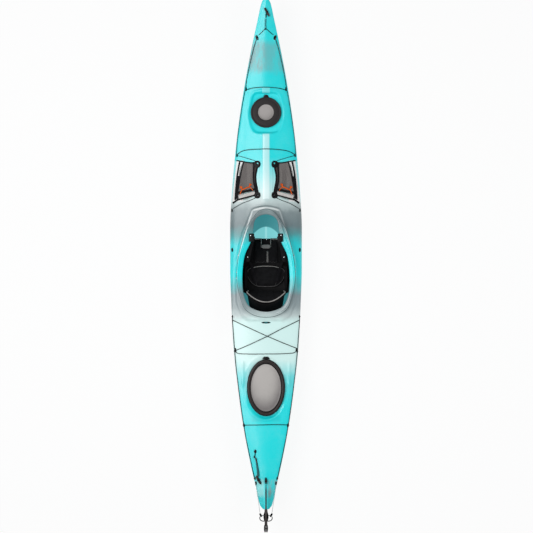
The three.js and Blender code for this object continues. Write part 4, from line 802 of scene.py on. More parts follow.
class Bench:
    """Modelling steps that the pieces share."""

    @staticmethod
    def clear() -> None:
        """Leaves edit mode and deselects everything."""
        if bpy.context.object and bpy.context.object.mode != "OBJECT":
            bpy.ops.object.mode_set(mode="OBJECT")
        bpy.ops.object.select_all(action="DESELECT")

    @staticmethod
    def pick(piece: bpy.types.Object) -> bpy.types.Object:
        """Makes a piece the only selected and the active one."""
        Bench.clear()
        piece.select_set(True)
        bpy.context.view_layer.objects.active = piece
        return piece

    @staticmethod
    def lofted(rings: Sequence[Sequence[Vector]], ring_closed: bool = True, looped: bool = False,
               capped: bool = True) -> bpy.types.Object:
        """A grid whose rows are laid along rings.

        Args:
            rings: the rows, each with the same number of points.
            ring_closed: joins each row's end to its start.
            looped: joins the last row to the first.
            capped: closes the two open ends.

        Returns:
            The piece, with a map in shares round each row and in metres along the rows.
        """
        rows = [list(ring) + ([ring[0]] if ring_closed else []) for ring in rings]
        if looped:
            rows.append(rows[0])
        wide, tall = len(rows[0]), len(rows)
        Bench.clear()
        bpy.ops.mesh.primitive_grid_add(
            x_subdivisions=wide - 1, y_subdivisions=tall - 1, size=1, location=(0, 0, 0))
        piece = bpy.context.object
        mesh = piece.data
        flat = [c for row in rows for p in row for c in p]
        mesh.vertices.foreach_set("co", flat)
        reach = [0.0]
        for near, far in zip(rows, rows[1:]):
            reach.append(reach[-1] + (Vector(far[0]) - Vector(near[0])).length)
        for face in mesh.loops:
            row, column = divmod(face.vertex_index, wide)
            mesh.uv_layers.active.data[face.index].uv = (column / (wide - 1), reach[row])
        bpy.ops.object.mode_set(mode="EDIT")
        bpy.ops.mesh.select_all(action="SELECT")
        bpy.ops.mesh.remove_doubles(threshold=1e-6)
        if capped and ring_closed and not looped:
            bpy.ops.mesh.select_all(action="DESELECT")
            bpy.ops.mesh.select_non_manifold(extend=False, use_wire=False, use_multi_face=False,
                                             use_non_contiguous=False, use_verts=False)
            bpy.ops.mesh.fill_holes(sides=0)
        bpy.ops.mesh.select_all(action="SELECT")
        bpy.ops.mesh.normals_make_consistent(inside=False)
        bpy.ops.object.mode_set(mode="OBJECT")
        return piece

    @staticmethod
    def tube(points: Sequence[Vector], radius: float | Callable[[float], float], sides: int = 10,
             closed: bool = False, flat: float = 1.0) -> bpy.types.Object:
        """A round or flattened tube along a line.

        Args:
            points: the centreline.
            radius: one radius, or a function of the share along the line.
            sides: points round each ring.
            closed: whether the line is a loop.
            flat: the section's size square to its first axis, which is level on a line along
                the boat and upright on a loop in the plan.

        Returns:
            The tube.
        """
        count = len(points)
        rings = []
        side = Vector((0, 1, 0))
        for k, here in enumerate(points):
            before = points[k - 1] if k or closed else here
            after = points[(k + 1) % count] if k < count - 1 or closed else here
            ahead = (after - before).normalized()
            side = side - ahead * side.dot(ahead)
            if side.length < 1e-4:
                side = ahead.orthogonal()
            side.normalize()
            up = ahead.cross(side)
            size = radius(k / (count - 1)) if callable(radius) else radius
            rings.append([
                here + side * (math.cos(a) * size) + up * (math.sin(a) * size * flat)
                for a in circle(sides)
            ])
        return Bench.lofted(rings, looped=closed, capped=not closed)

    @staticmethod
    def lathed(profile: Sequence[tuple[float, float]], centre: Point, sides: int,
               stretch: tuple[float, float] = (1.0, 1.0)) -> bpy.types.Object:
        """A turned form about an upright axis.

        Args:
            profile: radius and height pairs; the form closes on the axis at both ends.
            centre: the axis' foot.
            sides: points round each ring.
            stretch: factors along and across, for an oval.

        Returns:
            The piece.
        """
        rings = []
        for radius, height in profile:
            safe = max(radius, 0.0004)
            along, across = safe * stretch[0], safe * stretch[1]
            rings.append([
                Vector((
                    centre[0] + along * math.cos(a), centre[1] + across * math.sin(a), centre[2] + height,
                ))
                for a in circle(sides)
            ])
        return Bench.lofted(rings)

    @staticmethod
    def modified(piece: bpy.types.Object, kind: str, **settings: object) -> bpy.types.Object:
        """Adds one modifier and applies it.

        Args:
            piece: the piece to change.
            kind: the modifier's type.
            settings: its properties.

        Returns:
            The same piece.
        """
        Bench.pick(piece)
        step = piece.modifiers.new(kind.lower(), kind)
        for key, value in settings.items():
            setattr(step, key, value)
        bpy.ops.object.modifier_apply(modifier=step.name)
        return piece

    @staticmethod
    def joined(pieces: Sequence[bpy.types.Object]) -> bpy.types.Object:
        """One object out of several."""
        Bench.clear()
        for piece in pieces:
            piece.select_set(True)
        bpy.context.view_layer.objects.active = pieces[0]
        bpy.ops.object.join()
        return pieces[0]

    @staticmethod
    def smooth(piece: bpy.types.Object, degrees: float = 40.0) -> bpy.types.Object:
        """Shades a piece smooth except at its sharp edges."""
        Bench.pick(piece)
        bpy.ops.object.shade_smooth_by_angle(angle=math.radians(degrees))
        return piece

    @staticmethod
    def settled(piece: bpy.types.Object) -> bpy.types.Object:
        """Applies the piece's place, so that its object sits at the origin."""
        Bench.pick(piece)
        bpy.ops.object.transform_apply(location=True, rotation=True, scale=True)
        return piece


class Workshop:
    """Finishes, names and seats pieces on the frame's bodies."""

    @staticmethod
    def keep(piece: bpy.types.Object, name: str, finish: Palette | None, body: str | None = "root",
             replaces: Sequence[str] = (), degrees: float = 40.0) -> bpy.types.Object:
        """Names, smooths, dresses and seats a finished piece.

        Args:
            piece: the mesh object.
            name: its name.
            finish: what it is made of, or None where it is dressed already.
            body: the frame body that it moves with, or None, which leaves it unattached.
            replaces: the CAD nodes that it stands for.
            degrees: edges sharper than this stay sharp.

        Returns:
            The piece.
        """
        Bench.settled(piece)
        Bench.smooth(piece, degrees)
        piece.name = name
        piece.data.name = name
        if finish:
            finish.dress(piece)
        if replaces:
            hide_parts(*replaces)
        if body:
            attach(piece, body)
        log.info("%s: %d faces", name, len(piece.data.polygons))
        return piece


Table = Sequence[tuple[float, float]]

COCKPIT_FRONT, COCKPIT_LENGTH, COCKPIT_WIDTH = 0.331, 0.815, 0.394
RIM_WIDTH, RIM_FRONT_Z, RIM_REAR_Z = 0.046, 0.394, 0.291
FRONT_HATCH_X, FRONT_HATCH_RADIUS, FRONT_FLOOR_Z = 1.184, 0.128, 0.311
REAR_HATCH_X, REAR_HATCH_HALF, REAR_HATCH_RADIUS, REAR_FLOOR_Z = -1.12, 0.238, 0.160, 0.262
TRAY_DEPTH = 0.024
RIDGE_ROUND = 0.16
REAR_RECESS_HALF = (0.264, 0.186)
TRAY_OUTLINE = (
    (0.758, 0.098), (0.760, 0.200), (0.640, 0.234), (0.458, 0.240), (0.494, 0.090), (0.640, 0.096),
)
PLINTH_HALF = (
    (0.399, 0.0), (0.392, 0.059), (0.369, 0.113), (0.277, 0.155), (0.185, 0.192), (0.077, 0.222),
    (-0.032, 0.238), (-0.150, 0.246), (-0.300, 0.250), (-0.409, 0.246), (-0.518, 0.198), (-0.548, 0.150),
    (-0.556, 0.0),
)
FRONT_RECESS_HALF = (
    (1.353, 0.0), (1.352, 0.070), (1.340, 0.102), (1.270, 0.129), (1.176, 0.148), (1.090, 0.134),
    (1.030, 0.108), (1.012, 0.080), (1.008, 0.0),
)
COCKPIT_SHARES = (
    (0, 0), (0.012, 0.23), (0.034, 0.38), (0.065, 0.475), (0.105, 0.518), (0.18, 0.545), (0.283, 0.646),
    (0.406, 0.879), (0.529, 0.975), (0.697, 1), (0.836, 0.934), (0.934, 0.747), (0.983, 0.404), (1, 0),
)
RIM_SHARES = (
    (0, 0), (0.014, 0.20), (0.04, 0.325), (0.08, 0.44), (0.138, 0.59), (0.187, 0.70), (0.278, 0.809),
    (0.409, 0.931), (0.534, 1), (0.682, 1), (0.822, 0.878), (0.922, 0.728), (0.983, 0.39), (1, 0),
)


def follow_table(table: Table, at: np.ndarray) -> np.ndarray:
    """A smooth line through a table that never overshoots its values.

    Args:
        table: places and values, in order.
        at: the places asked for.

    Returns:
        The values there.
    """
    xs, ys = (np.array(column, float) for column in zip(*table))
    wide = np.diff(xs)
    slope = np.diff(ys) / wide
    lean = np.zeros(len(xs))
    both = slope[:-1] * slope[1:]
    rising = both > 0
    lean[1:-1][rising] = 2 * both[rising] / (slope[:-1] + slope[1:])[rising]
    lean[0], lean[-1] = slope[0], slope[-1]
    spot = np.clip(np.searchsorted(xs, at) - 1, 0, len(wide) - 1)
    t = np.clip((at - xs[spot]) / wide[spot], 0, 1)
    return (
        ys[spot] * (2 * t**3 - 3 * t**2 + 1) + ys[spot + 1] * (3 * t**2 - 2 * t**3)
        + wide[spot] * (lean[spot] * (t**3 - 2 * t**2 + t) + lean[spot + 1] * (t**3 - t**2))
    )


def depth_inside(x: np.ndarray, y: np.ndarray, outline: np.ndarray) -> np.ndarray:
    """How far points lie inside a closed outline.

    Args:
        x: the points' places along the boat.
        y: their places across it.
        outline: the outline's points, one row each.

    Returns:
        Distances to the outline, negative outside it.
    """
    ax, ay = outline[:, 0], outline[:, 1]
    dx, dy = np.roll(ax, -1) - ax, np.roll(ay, -1) - ay
    px, py = x[..., None] - ax, y[..., None] - ay
    t = np.clip((px * dx + py * dy) / (dx * dx + dy * dy), 0, 1)
    near = np.hypot(px - t * dx, py - t * dy).min(-1)
    with np.errstate(divide="ignore", invalid="ignore"):
        crossed = ((py < 0) != (py < dy)) & (px < dx * py / dy)
    return np.where(crossed.sum(-1) % 2 == 1, near, -near)


def rise(low: float, high: float, value: np.ndarray) -> np.ndarray:
    """A smooth step of an array from 0 at low to 1 at high."""
    t = np.clip((value - low) / (high - low), 0, 1)
    return t * t * (3 - 2 * t)


def eased(share: np.ndarray) -> np.ndarray:
    """Shares from 0 to 1 whose start is rounded off, so that the ridge isn't sharp."""
    return np.sqrt(share**2 + RIDGE_ROUND**2) / math.sqrt(1 + RIDGE_ROUND**2)


def plan_outline(points: Iterable[tuple[float, float]], count: int) -> np.ndarray:
    """A smooth closed outline in the plan as rows of x and y."""
    return np.array([p[:2] for p in plan_path(points, count, closed=True)])


def share_outline(shares: Table, front: float, length: float, width: float, count: int) -> list[Vector]:
    """An outline drawn by its port half's shares.

    Args:
        shares: shares of the length from the front, with the half width there.
        front: the front end's place.
        length: from front to rear.
        width: the full width.
        count: how many points are wanted.

    Returns:
        The closed outline from the front by port to the rear and back.
    """
    port = [Vector((front - a * length, b * width / 2, 0)) for a, b in shares]
    starboard = [Vector((p.x, -p.y, 0)) for p in reversed(port[1:-1])]
    return even_path(port + starboard, count, closed=True)


@dataclass
class HullForm:
    """The hull's outer surface as a formula of the place along and across."""

    half_length: float = 2.135
    half_beam: float = 0.3025
    depth: float = 0.394
    half_flat: float = 0.058
    flat_share: float = 0.22
    wall: float = 0.006
    wall_run: float = 0.016
    breadth: Table = (
        (-1, .09), (-.985, .168), (-.93, .258), (-.84, .405), (-.74, .55), (-.62, .69), (-.5, .8),
        (-.37, .905), (-.2, .965), (-.05, 1), (.1, 1), (.25, .945), (.4, .85), (.55, .72), (.7, .545),
        (.82, .377), (.92, .22), (.98, .12), (1, .03),
    )
    keel: Table = (
        (-1, .5), (-.985, .33), (-.95, .2), (-.88, .1), (-.75, .045), (-.55, .012), (-.38, 0), (.38, 0),
        (.55, .015), (.72, .05), (.84, .12), (.92, .24), (.97, .46), (.99, .7), (1, .88),
    )
    sheer: Table = (
        (-1, .72), (-.8, .655), (-.5, .58), (-.1, .55), (.2, .58), (.5, .67), (.75, .79), (.92, .9),
        (1, .97),
    )
    ridge: Table = (
        (-1, .785), (-.8, .74), (-.55, .705), (-.3, .665), (-.2, .72), (-.1, .79), (0, .86), (.15, .925),
        (.3, .905), (.45, .875), (.65, .875), (.85, .925), (1, 1.01),
    )
    peak: Table = (
        (-1, .3), (-.6, .1), (-.3, .12), (0, .3), (.3, .6), (.44, .5), (.55, .2), (.7, .3), (1, .5),
    )
    vee: Table = ((-1, 1), (-.8, .8), (-.4, .1), (0, .04), (.35, .1), (.75, .8), (1, 1))
    spacing: Sequence[tuple[float, float]] = (
        (-2.135, 0.004), (-2.10, 0.015), (-1.42, 0.0065), (-0.84, 0.012), (-0.50, 0.014), (0.36, 0.0075),
        (0.82, 0.012), (0.97, 0.006), (1.40, 0.015), (2.09, 0.004), (2.135, 0.004),
    )

    def __post_init__(self) -> None:
        """Draws the outlines of the recesses and trays once."""
        self.front_recess = plan_outline(both_halves(FRONT_RECESS_HALF), 64)
        angles = np.linspace(0, 2 * np.pi, 64, endpoint=False)
        along, across = REAR_RECESS_HALF
        self.rear_recess = np.stack([REAR_HATCH_X + along * np.cos(angles), across * np.sin(angles)], 1)
        self.tray = plan_outline(TRAY_OUTLINE, 48)
        self.plinth = np.array(both_halves(PLINTH_HALF))
        self.rim = np.array([p[:2] for p in share_outline(
            COCKPIT_SHARES, COCKPIT_FRONT, COCKPIT_LENGTH, COCKPIT_WIDTH, 64)])

    def values(self, x: np.ndarray) -> tuple[np.ndarray, ...]:
        """Half breadth, keel, sheer, ridge, flat, vee and peak.

        Args:
            x: places along the boat.

        Returns:
            Seven arrays of the same shape.
        """
        s = x / self.half_length
        breadth = self.half_beam * follow_table(self.breadth, s)
        keel, sheer, ridge = (self.depth * follow_table(t, s) for t in (self.keel, self.sheer, self.ridge))
        flat = np.minimum(self.half_flat, breadth * self.flat_share)
        return breadth, keel, sheer, ridge, flat, follow_table(self.vee, s), follow_table(self.peak, s)

    def plain_deck(self, x: np.ndarray, y: np.ndarray) -> np.ndarray:
        """The deck's height before anything is moulded into it."""
        breadth, _, sheer, ridge, _, _, peak = self.values(x)
        across = np.clip(np.abs(y) / np.maximum(breadth, 1e-5), 0, 1)
        crown = np.sqrt(1 - across**2) * (1 - peak) + (1 - eased(across)) * peak
        return sheer + (ridge - sheer) * crown

    def moulded(self, x: np.ndarray, y: np.ndarray) -> np.ndarray:
        """What the mould adds to the plain deck.

        Args:
            x: places along the boat.
            y: places across it.

        Returns:
            The change of height, negative in the recesses.
        """
        plain = self.plain_deck(x, y)
        side = np.abs(y)
        change = np.zeros_like(plain)
        for outline, floor, low, high in (
            (self.front_recess, FRONT_FLOOR_Z, 0.95, 1.42), (self.rear_recess, REAR_FLOOR_Z, -1.42, -0.82),
        ):
            near = (x > low) & (x < high)
            if not near.any():
                continue
            inward = depth_inside(x[near], y[near], outline)
            sunk = np.maximum(0, plain[near] - floor) * rise(-0.003, self.wall_run, inward)
            lip = 0.0022 * np.exp(-((inward + 0.010) / 0.007) ** 2)
            change[near] += lip - sunk
        near = (x > 0.40) & (x < 0.82)
        change[near] -= TRAY_DEPTH * rise(0.0, 0.02, depth_inside(x[near], side[near], self.tray))
        band = rise(0.42, 0.48, x) * (1 - rise(0.985, 1.0, x))
        change += 0.0045 * band * (1 - rise(0.024, 0.032, side))
        near = (x > -0.62) & (x < 0.46)
        if near.any():
            inward = depth_inside(x[near], y[near], self.plinth)
            crest = 0.0030 * np.exp(-(((inward - 0.003) / 0.005) ** 2))
            ditch = 0.0050 * np.exp(-(((inward + 0.013) / 0.008) ** 2)) * rise(0.30, 0.37, x[near])
            change[near] += 0.009 * rise(-0.009, 0.002, inward) + crest - ditch
            close = -depth_inside(x[near], y[near], self.rim)
            change[near] += 0.004 * (1 - rise(0.045, 0.070, close)) * rise(0.0, 0.02, close + 0.02)
        along = rise(-1.13, -1.08, x) * (1 - rise(-0.93, -0.88, x))
        change += 0.007 * along * np.exp(-((side - 0.196) / 0.012) ** 2)
        return change

    def deck(self, x: float, y: float) -> float:
        """Height of the finished deck at one place."""
        px, py = np.array([x]), np.array([y])
        return float((self.plain_deck(px, py) + self.moulded(px, py))[0])

    def draped(self, plan: Iterable[tuple[float, float]], lift: float | Sequence[float],
               sinks: bool = True) -> list[Vector]:
        """Points above the deck.

        Args:
            plan: places along and across.
            lift: how far each is off the deck, along the deck's normal.
            sinks: whether they go down into recesses and trays.

        Returns:
            The points.
        """
        x, y = np.array(list(plan), float).T
        limit = self.values(x)[0] - 0.006
        y = np.clip(y, -limit, limit)
        step = 0.004

        def height(px: np.ndarray, py: np.ndarray) -> np.ndarray:
            """The deck's height, with or without what is sunk into it."""
            change = self.moulded(px, py)
            return self.plain_deck(px, py) + (change if sinks else np.maximum(change, 0))

        lean = np.stack([
            -(height(x + step, y) - height(x - step, y)) / (2 * step),
            -(height(x, y + step) - height(x, y - step)) / (2 * step), np.ones_like(x),
        ], 1)
        lean *= np.broadcast_to(lift, x.shape)[:, None] / np.linalg.norm(lean, axis=1)[:, None]
        found = np.stack([x, y, height(x, y)], 1) + lean
        return [Vector(p) for p in found]

    def on_deck(self, x: float, y: float, lift: float) -> Vector:
        """One point above the deck."""
        return self.draped([(x, y)], lift)[0]

    def places(self, start: float, end: float) -> np.ndarray:
        """The stations between two places, closer where the deck is busy."""
        found = [start]
        while found[-1] < end:
            step = [gap for place, gap in self.spacing if place <= found[-1] + 1e-6][-1]
            found.append(found[-1] + step)
        found[-1] = end
        return np.array(found)

    def skin(self, start: float, end: float, inset: float, bilge: int = 12,
             top: int = 34) -> list[list[Vector]]:
        """Rings of one skin.

        Args:
            start: the first station.
            end: the last one.
            inset: how far inside the outer skin it lies.
            bilge: steps from the keel's flat to the sheer.
            top: steps from the sheer to the ridge.

        Returns:
            The rings, from stern to bow.
        """
        x = self.places(start, end)[:, None]
        breadth, keel, sheer, ridge, flat, vee, peak = self.values(x)
        breadth, keel, ridge = breadth - inset, keel + inset, ridge - inset
        flat = np.minimum(self.half_flat, breadth * self.flat_share)
        across = np.sin(np.arange(bilge + 1) / bilge * np.pi / 2)[None, :]
        full = np.sqrt(1 - across**3)
        up = 1 - (full + (1 - across**1.2 - full) * vee)
        low_y, low_z = flat + (breadth - flat) * across, keel + (sheer - keel) * up
        across = np.sin(np.arange(top - 1, -1, -1) / top * np.pi / 2)[None, :]
        crown = np.sqrt(1 - across**2) * (1 - peak) + (1 - eased(across)) * peak
        high_y, high_z = breadth * across, sheer + (ridge - sheer) * crown
        wide_x = np.broadcast_to(x, high_y.shape)
        change = self.moulded(wide_x, high_y)
        mirror = self.moulded(wide_x, -high_y)
        rings = []
        for k, place in enumerate(x[:, 0]):
            port = [Vector((place, a, b)) for a, b in zip(low_y[k], low_z[k])]
            port += [Vector((place, a, b + c)) for a, b, c in zip(high_y[k], high_z[k], change[k])]
            other = [Vector((place, -a, b + c)) for a, b, c in zip(high_y[k], high_z[k], mirror[k])]
            other = [Vector((place, -a, b)) for a, b in zip(low_y[k], low_z[k])] + other
            rings.append(port + other[-2::-1])
        return rings


@dataclass
class Shell:
    """The moulded hull and deck, the coaming and the two hatch collars."""

    form: HullForm
    shop: Workshop
    front_collar: tuple[float, float] = (0.112, 0.112)
    rear_collar: tuple[float, float] = (0.221, 0.143)
    collar_wall: float = 0.006
    collar_height: float = 0.013
    inside_ends: tuple[float, float] = (-2.039, 1.996)

    def build(self) -> None:
        """Makes all the shell's pieces."""
        self.hull()
        self.coaming()
        self.collar("front_hatch_collar", FRONT_HATCH_X, self.front_collar, FRONT_FLOOR_Z)
        self.collar("rear_hatch_collar", REAR_HATCH_X, self.rear_collar, REAR_FLOOR_Z)

    def hull(self) -> None:
        """Outer and inner skin with the three mouths cut through the deck."""
        outer = Bench.lofted(self.form.skin(-self.form.half_length, self.form.half_length, 0.0))
        inner = Bench.lofted(self.form.skin(*self.inside_ends, self.form.wall))
        Bench.pick(inner)
        bpy.ops.object.mode_set(mode="EDIT")
        bpy.ops.mesh.select_all(action="SELECT")
        bpy.ops.mesh.flip_normals()
        bpy.ops.object.mode_set(mode="OBJECT")
        Palette.SHELL.dress(outer)
        Palette.INSIDE.dress(inner)
        body = Bench.joined([outer, inner])
        mouth = share_outline(COCKPIT_SHARES, COCKPIT_FRONT, COCKPIT_LENGTH, COCKPIT_WIDTH, 96)
        self.cut(body, self.prism(mouth, 0.17, 0.46))
        for x, collar, low, high in (
            (FRONT_HATCH_X, self.front_collar, 0.27, 0.42), (REAR_HATCH_X, self.rear_collar, 0.22, 0.34),
        ):
            along, across = (half - self.collar_wall for half in collar)
            self.cut(body, self.prism(self.oval(x, along, across), low, high))
        self.shop.keep(body, "hull_and_deck", None, replaces=["hull"], degrees=50)

    @staticmethod
    def oval(x: float, along: float, across: float, count: int = 64) -> list[Vector]:
        """An oval outline about a place on the centreline."""
        turns = circle(count)
        return [Vector((x + along * math.cos(a), across * math.sin(a), 0)) for a in turns]

    @staticmethod
    def prism(outline: Sequence[Vector], low: float, high: float) -> bpy.types.Object:
        """A straight solid between two heights."""
        return Bench.lofted([[Vector((p.x, p.y, z)) for p in outline] for z in (low, high)])

    @staticmethod
    def cut(body: bpy.types.Object, tool: bpy.types.Object) -> None:
        """Takes a tool out of a body.

        Args:
            body: what is cut.
            tool: the solid that goes, and is deleted afterwards.
        """
        Bench.modified(body, "BOOLEAN", operation="DIFFERENCE", solver="MANIFOLD", object=tool)
        bpy.data.objects.remove(tool)

    @staticmethod
    def rim_top(x: float) -> float:
        """Height of the coaming's lip at a place along."""
        front, rear = COCKPIT_FRONT + RIM_WIDTH, COCKPIT_FRONT - COCKPIT_LENGTH - RIM_WIDTH
        return mix(RIM_REAR_Z, RIM_FRONT_Z, (x - rear) / (front - rear))

    def coaming(self) -> None:
        """The raised rim with its rolled lip, groove and the wall down to the deck."""
        count = 180
        inner = share_outline(COCKPIT_SHARES, COCKPIT_FRONT, COCKPIT_LENGTH, COCKPIT_WIDTH, count)
        outer = share_outline(
            RIM_SHARES, COCKPIT_FRONT + RIM_WIDTH, COCKPIT_LENGTH + 2 * RIM_WIDTH,
            COCKPIT_WIDTH + 2 * RIM_WIDTH, count,
        )
        profile = (
            (0.0, -0.034), (0.0, -0.018), (0.02, -0.0140), (0.08, -0.0108), (0.22, -0.0076),
            (0.38, -0.0046),
            (0.52, -0.0022), (0.59, -0.0014), (0.63, -0.0046), (0.67, -0.0046), (0.71, -0.0006),
            (0.79, 0.0),
            (0.88, -0.0014), (0.96, -0.0052), (1.0, -0.0110), (0.97, -0.0150), (0.90, -0.0155),
            (0.60, -0.0128),
            (0.25, -0.0168),
        )
        rings = []
        for k, edge in enumerate(inner):
            far = outer[k]
            top = self.rim_top(edge.x)
            foot = self.form.deck(*edge.lerp(far, 0.2).to_2d()) - 0.005
            ring = [Vector((*edge.lerp(far, share).to_2d(), top + drop)) for share, drop in profile]
            ring += [Vector((*edge.lerp(far, share).to_2d(), foot)) for share in (0.2, 0.0)]
            ring[0].z = min(ring[0].z, foot)
            rings.append(ring)
        piece = Bench.lofted(rings, looped=True, capped=False)
        self.shop.keep(piece, "cockpit_coaming", Palette.SHELL, replaces=["hull"], degrees=55)
        # A thin dark tube just inside the lip's outer edge: a line of painted shade where the lip's overhang
        # leaves a shadow.
        seam = []
        for edge, far in zip(inner, outer):
            spot = edge.lerp(far, 0.965)
            spot.z = self.rim_top(edge.x) - 0.0050
            seam.append(spot)
        self.shop.keep(Bench.tube(seam, 0.0019, 8, closed=True), "coaming_seam", Palette.SEAM)

    def collar(self, name: str, x: float, halves: tuple[float, float], floor: float) -> None:
        """One upright collar that a hatch cover snaps over.

        Args:
            name: the piece's name.
            x: the hatch's centre.
            halves: the collar's half length and half width.
            floor: the recess floor's height.
        """
        wall, high = self.collar_wall, self.collar_height
        profile = (
            (0.0, -0.004), (0.0, high - 0.003), (0.0012, high - 0.001), (0.003, high),
            (0.0048, high - 0.001),
            (wall, high - 0.003), (wall, -0.004),
        )
        rings = []
        for turn in circle(96):
            c, s = math.cos(turn), math.sin(turn)
            rings.append([
                Vector((x + (halves[0] - inset) * c, (halves[1] - inset) * s, floor + lift))
                for inset, lift in profile
            ])
        piece = Bench.lofted(rings, looped=True, capped=False)
        self.shop.keep(piece, name, Palette.SHELL, replaces=["hull"])


class Cast:
    """Finds a piece's surface by rays, so that trim can be laid on it."""

    def __init__(self, piece: bpy.types.Object) -> None:
        """Keeps the piece's faces as a search tree."""
        self.tree = BVHTree.FromObject(piece, bpy.context.evaluated_depsgraph_get())

    def hit(self, start: Vector, ahead: Vector, lift: float) -> Vector | None:
        """Where a ray meets the surface.

        Args:
            start: the ray's start.
            ahead: its direction.
            lift: how far off the surface the answer lies.

        Returns:
            The point, or None where the ray misses.
        """
        spot, normal, _, _ = self.tree.ray_cast(start, ahead)
        return None if spot is None else spot + normal * lift

    def under(self, x: float, y: float, lift: float, top: float = 0.6) -> Vector | None:
        """The surface straight below a place."""
        return self.hit(Vector((x, y, top)), Vector((0, 0, -1)), lift)


@dataclass
class Upholstery:
    """Turns plain forms into stuffed pads and sews channels into them."""

    voxel: float = 0.0048
    frames: int = 20
    pressure: float = 4.0

    def puffed(self, piece: bpy.types.Object, cap: float,
               pinned: Callable[[Vector], float]) -> bpy.types.Object:
        """Swells a closed form by a cloth simulation and applies the result.

        Args:
            piece: the closed form, a little smaller than the pad.
            cap: how far a point may move.
            pinned: how firmly a place is held, from 0 to 1.

        Returns:
            The pad.
        """
        Bench.modified(piece, "REMESH", mode="VOXEL", voxel_size=self.voxel)
        rest = [v.co.copy() for v in piece.data.vertices]
        held = piece.vertex_groups.new(name="held")
        for vertex in piece.data.vertices:
            held.add([vertex.index], pinned(vertex.co), "REPLACE")
        Bench.pick(piece)
        cloth = piece.modifiers.new("cloth", "CLOTH")
        cloth.settings.use_pressure = True
        cloth.settings.uniform_pressure_force = self.pressure
        cloth.settings.quality = 4
        cloth.settings.mass = 0.25
        cloth.settings.effector_weights.gravity = 0.0
        cloth.settings.vertex_group_mass = "held"
        cloth.settings.pin_stiffness = 1.0
        cloth.collision_settings.use_collision = False
        cloth.point_cache.frame_start, cloth.point_cache.frame_end = 1, self.frames
        scene = bpy.context.scene
        for frame in range(1, self.frames + 1):
            scene.frame_set(frame)
        bpy.ops.object.modifier_apply(modifier="cloth")
        scene.frame_set(1)
        piece.vertex_groups.clear()
        for vertex, start in zip(piece.data.vertices, rest):
            move = vertex.co - start
            if move.length > cap:
                vertex.co = start + move.normalized() * cap
        return Bench.modified(piece, "SMOOTH", factor=0.5, iterations=4)

    @staticmethod
    def sewn(piece: bpy.types.Object, seams: Sequence[Sequence[Vector]], depth: float, width: float,
             inward: Vector) -> bpy.types.Object:
        """Sinks channels along lines.

        Args:
            piece: the pad.
            seams: lines of points near the surface.
            depth: how deep each channel is.
            width: its half width.
            inward: the direction in which it sinks.

        Returns:
            The pad.
        """
        mesh = piece.data
        places = np.empty(len(mesh.vertices) * 3)
        mesh.vertices.foreach_get("co", places)
        places = places.reshape(-1, 3)
        normals = np.array([v.normal[:] for v in mesh.vertices])
        facing = np.clip(-(normals @ np.array(inward)) * 1.6, 0, 1)
        for seam in seams:
            line = np.array([p[:] for p in seam])
            gap = places[:, None, :] - line[None, :, :]
            along = gap @ np.array(inward)
            near = np.sqrt(np.maximum(0, (gap**2).sum(-1) - along**2)).min(1)
            places += (depth * np.exp(-((near / width) ** 2)) * facing)[:, None] * np.array(inward)[None, :]
        mesh.vertices.foreach_set("co", places.ravel())
        mesh.update()
        return piece


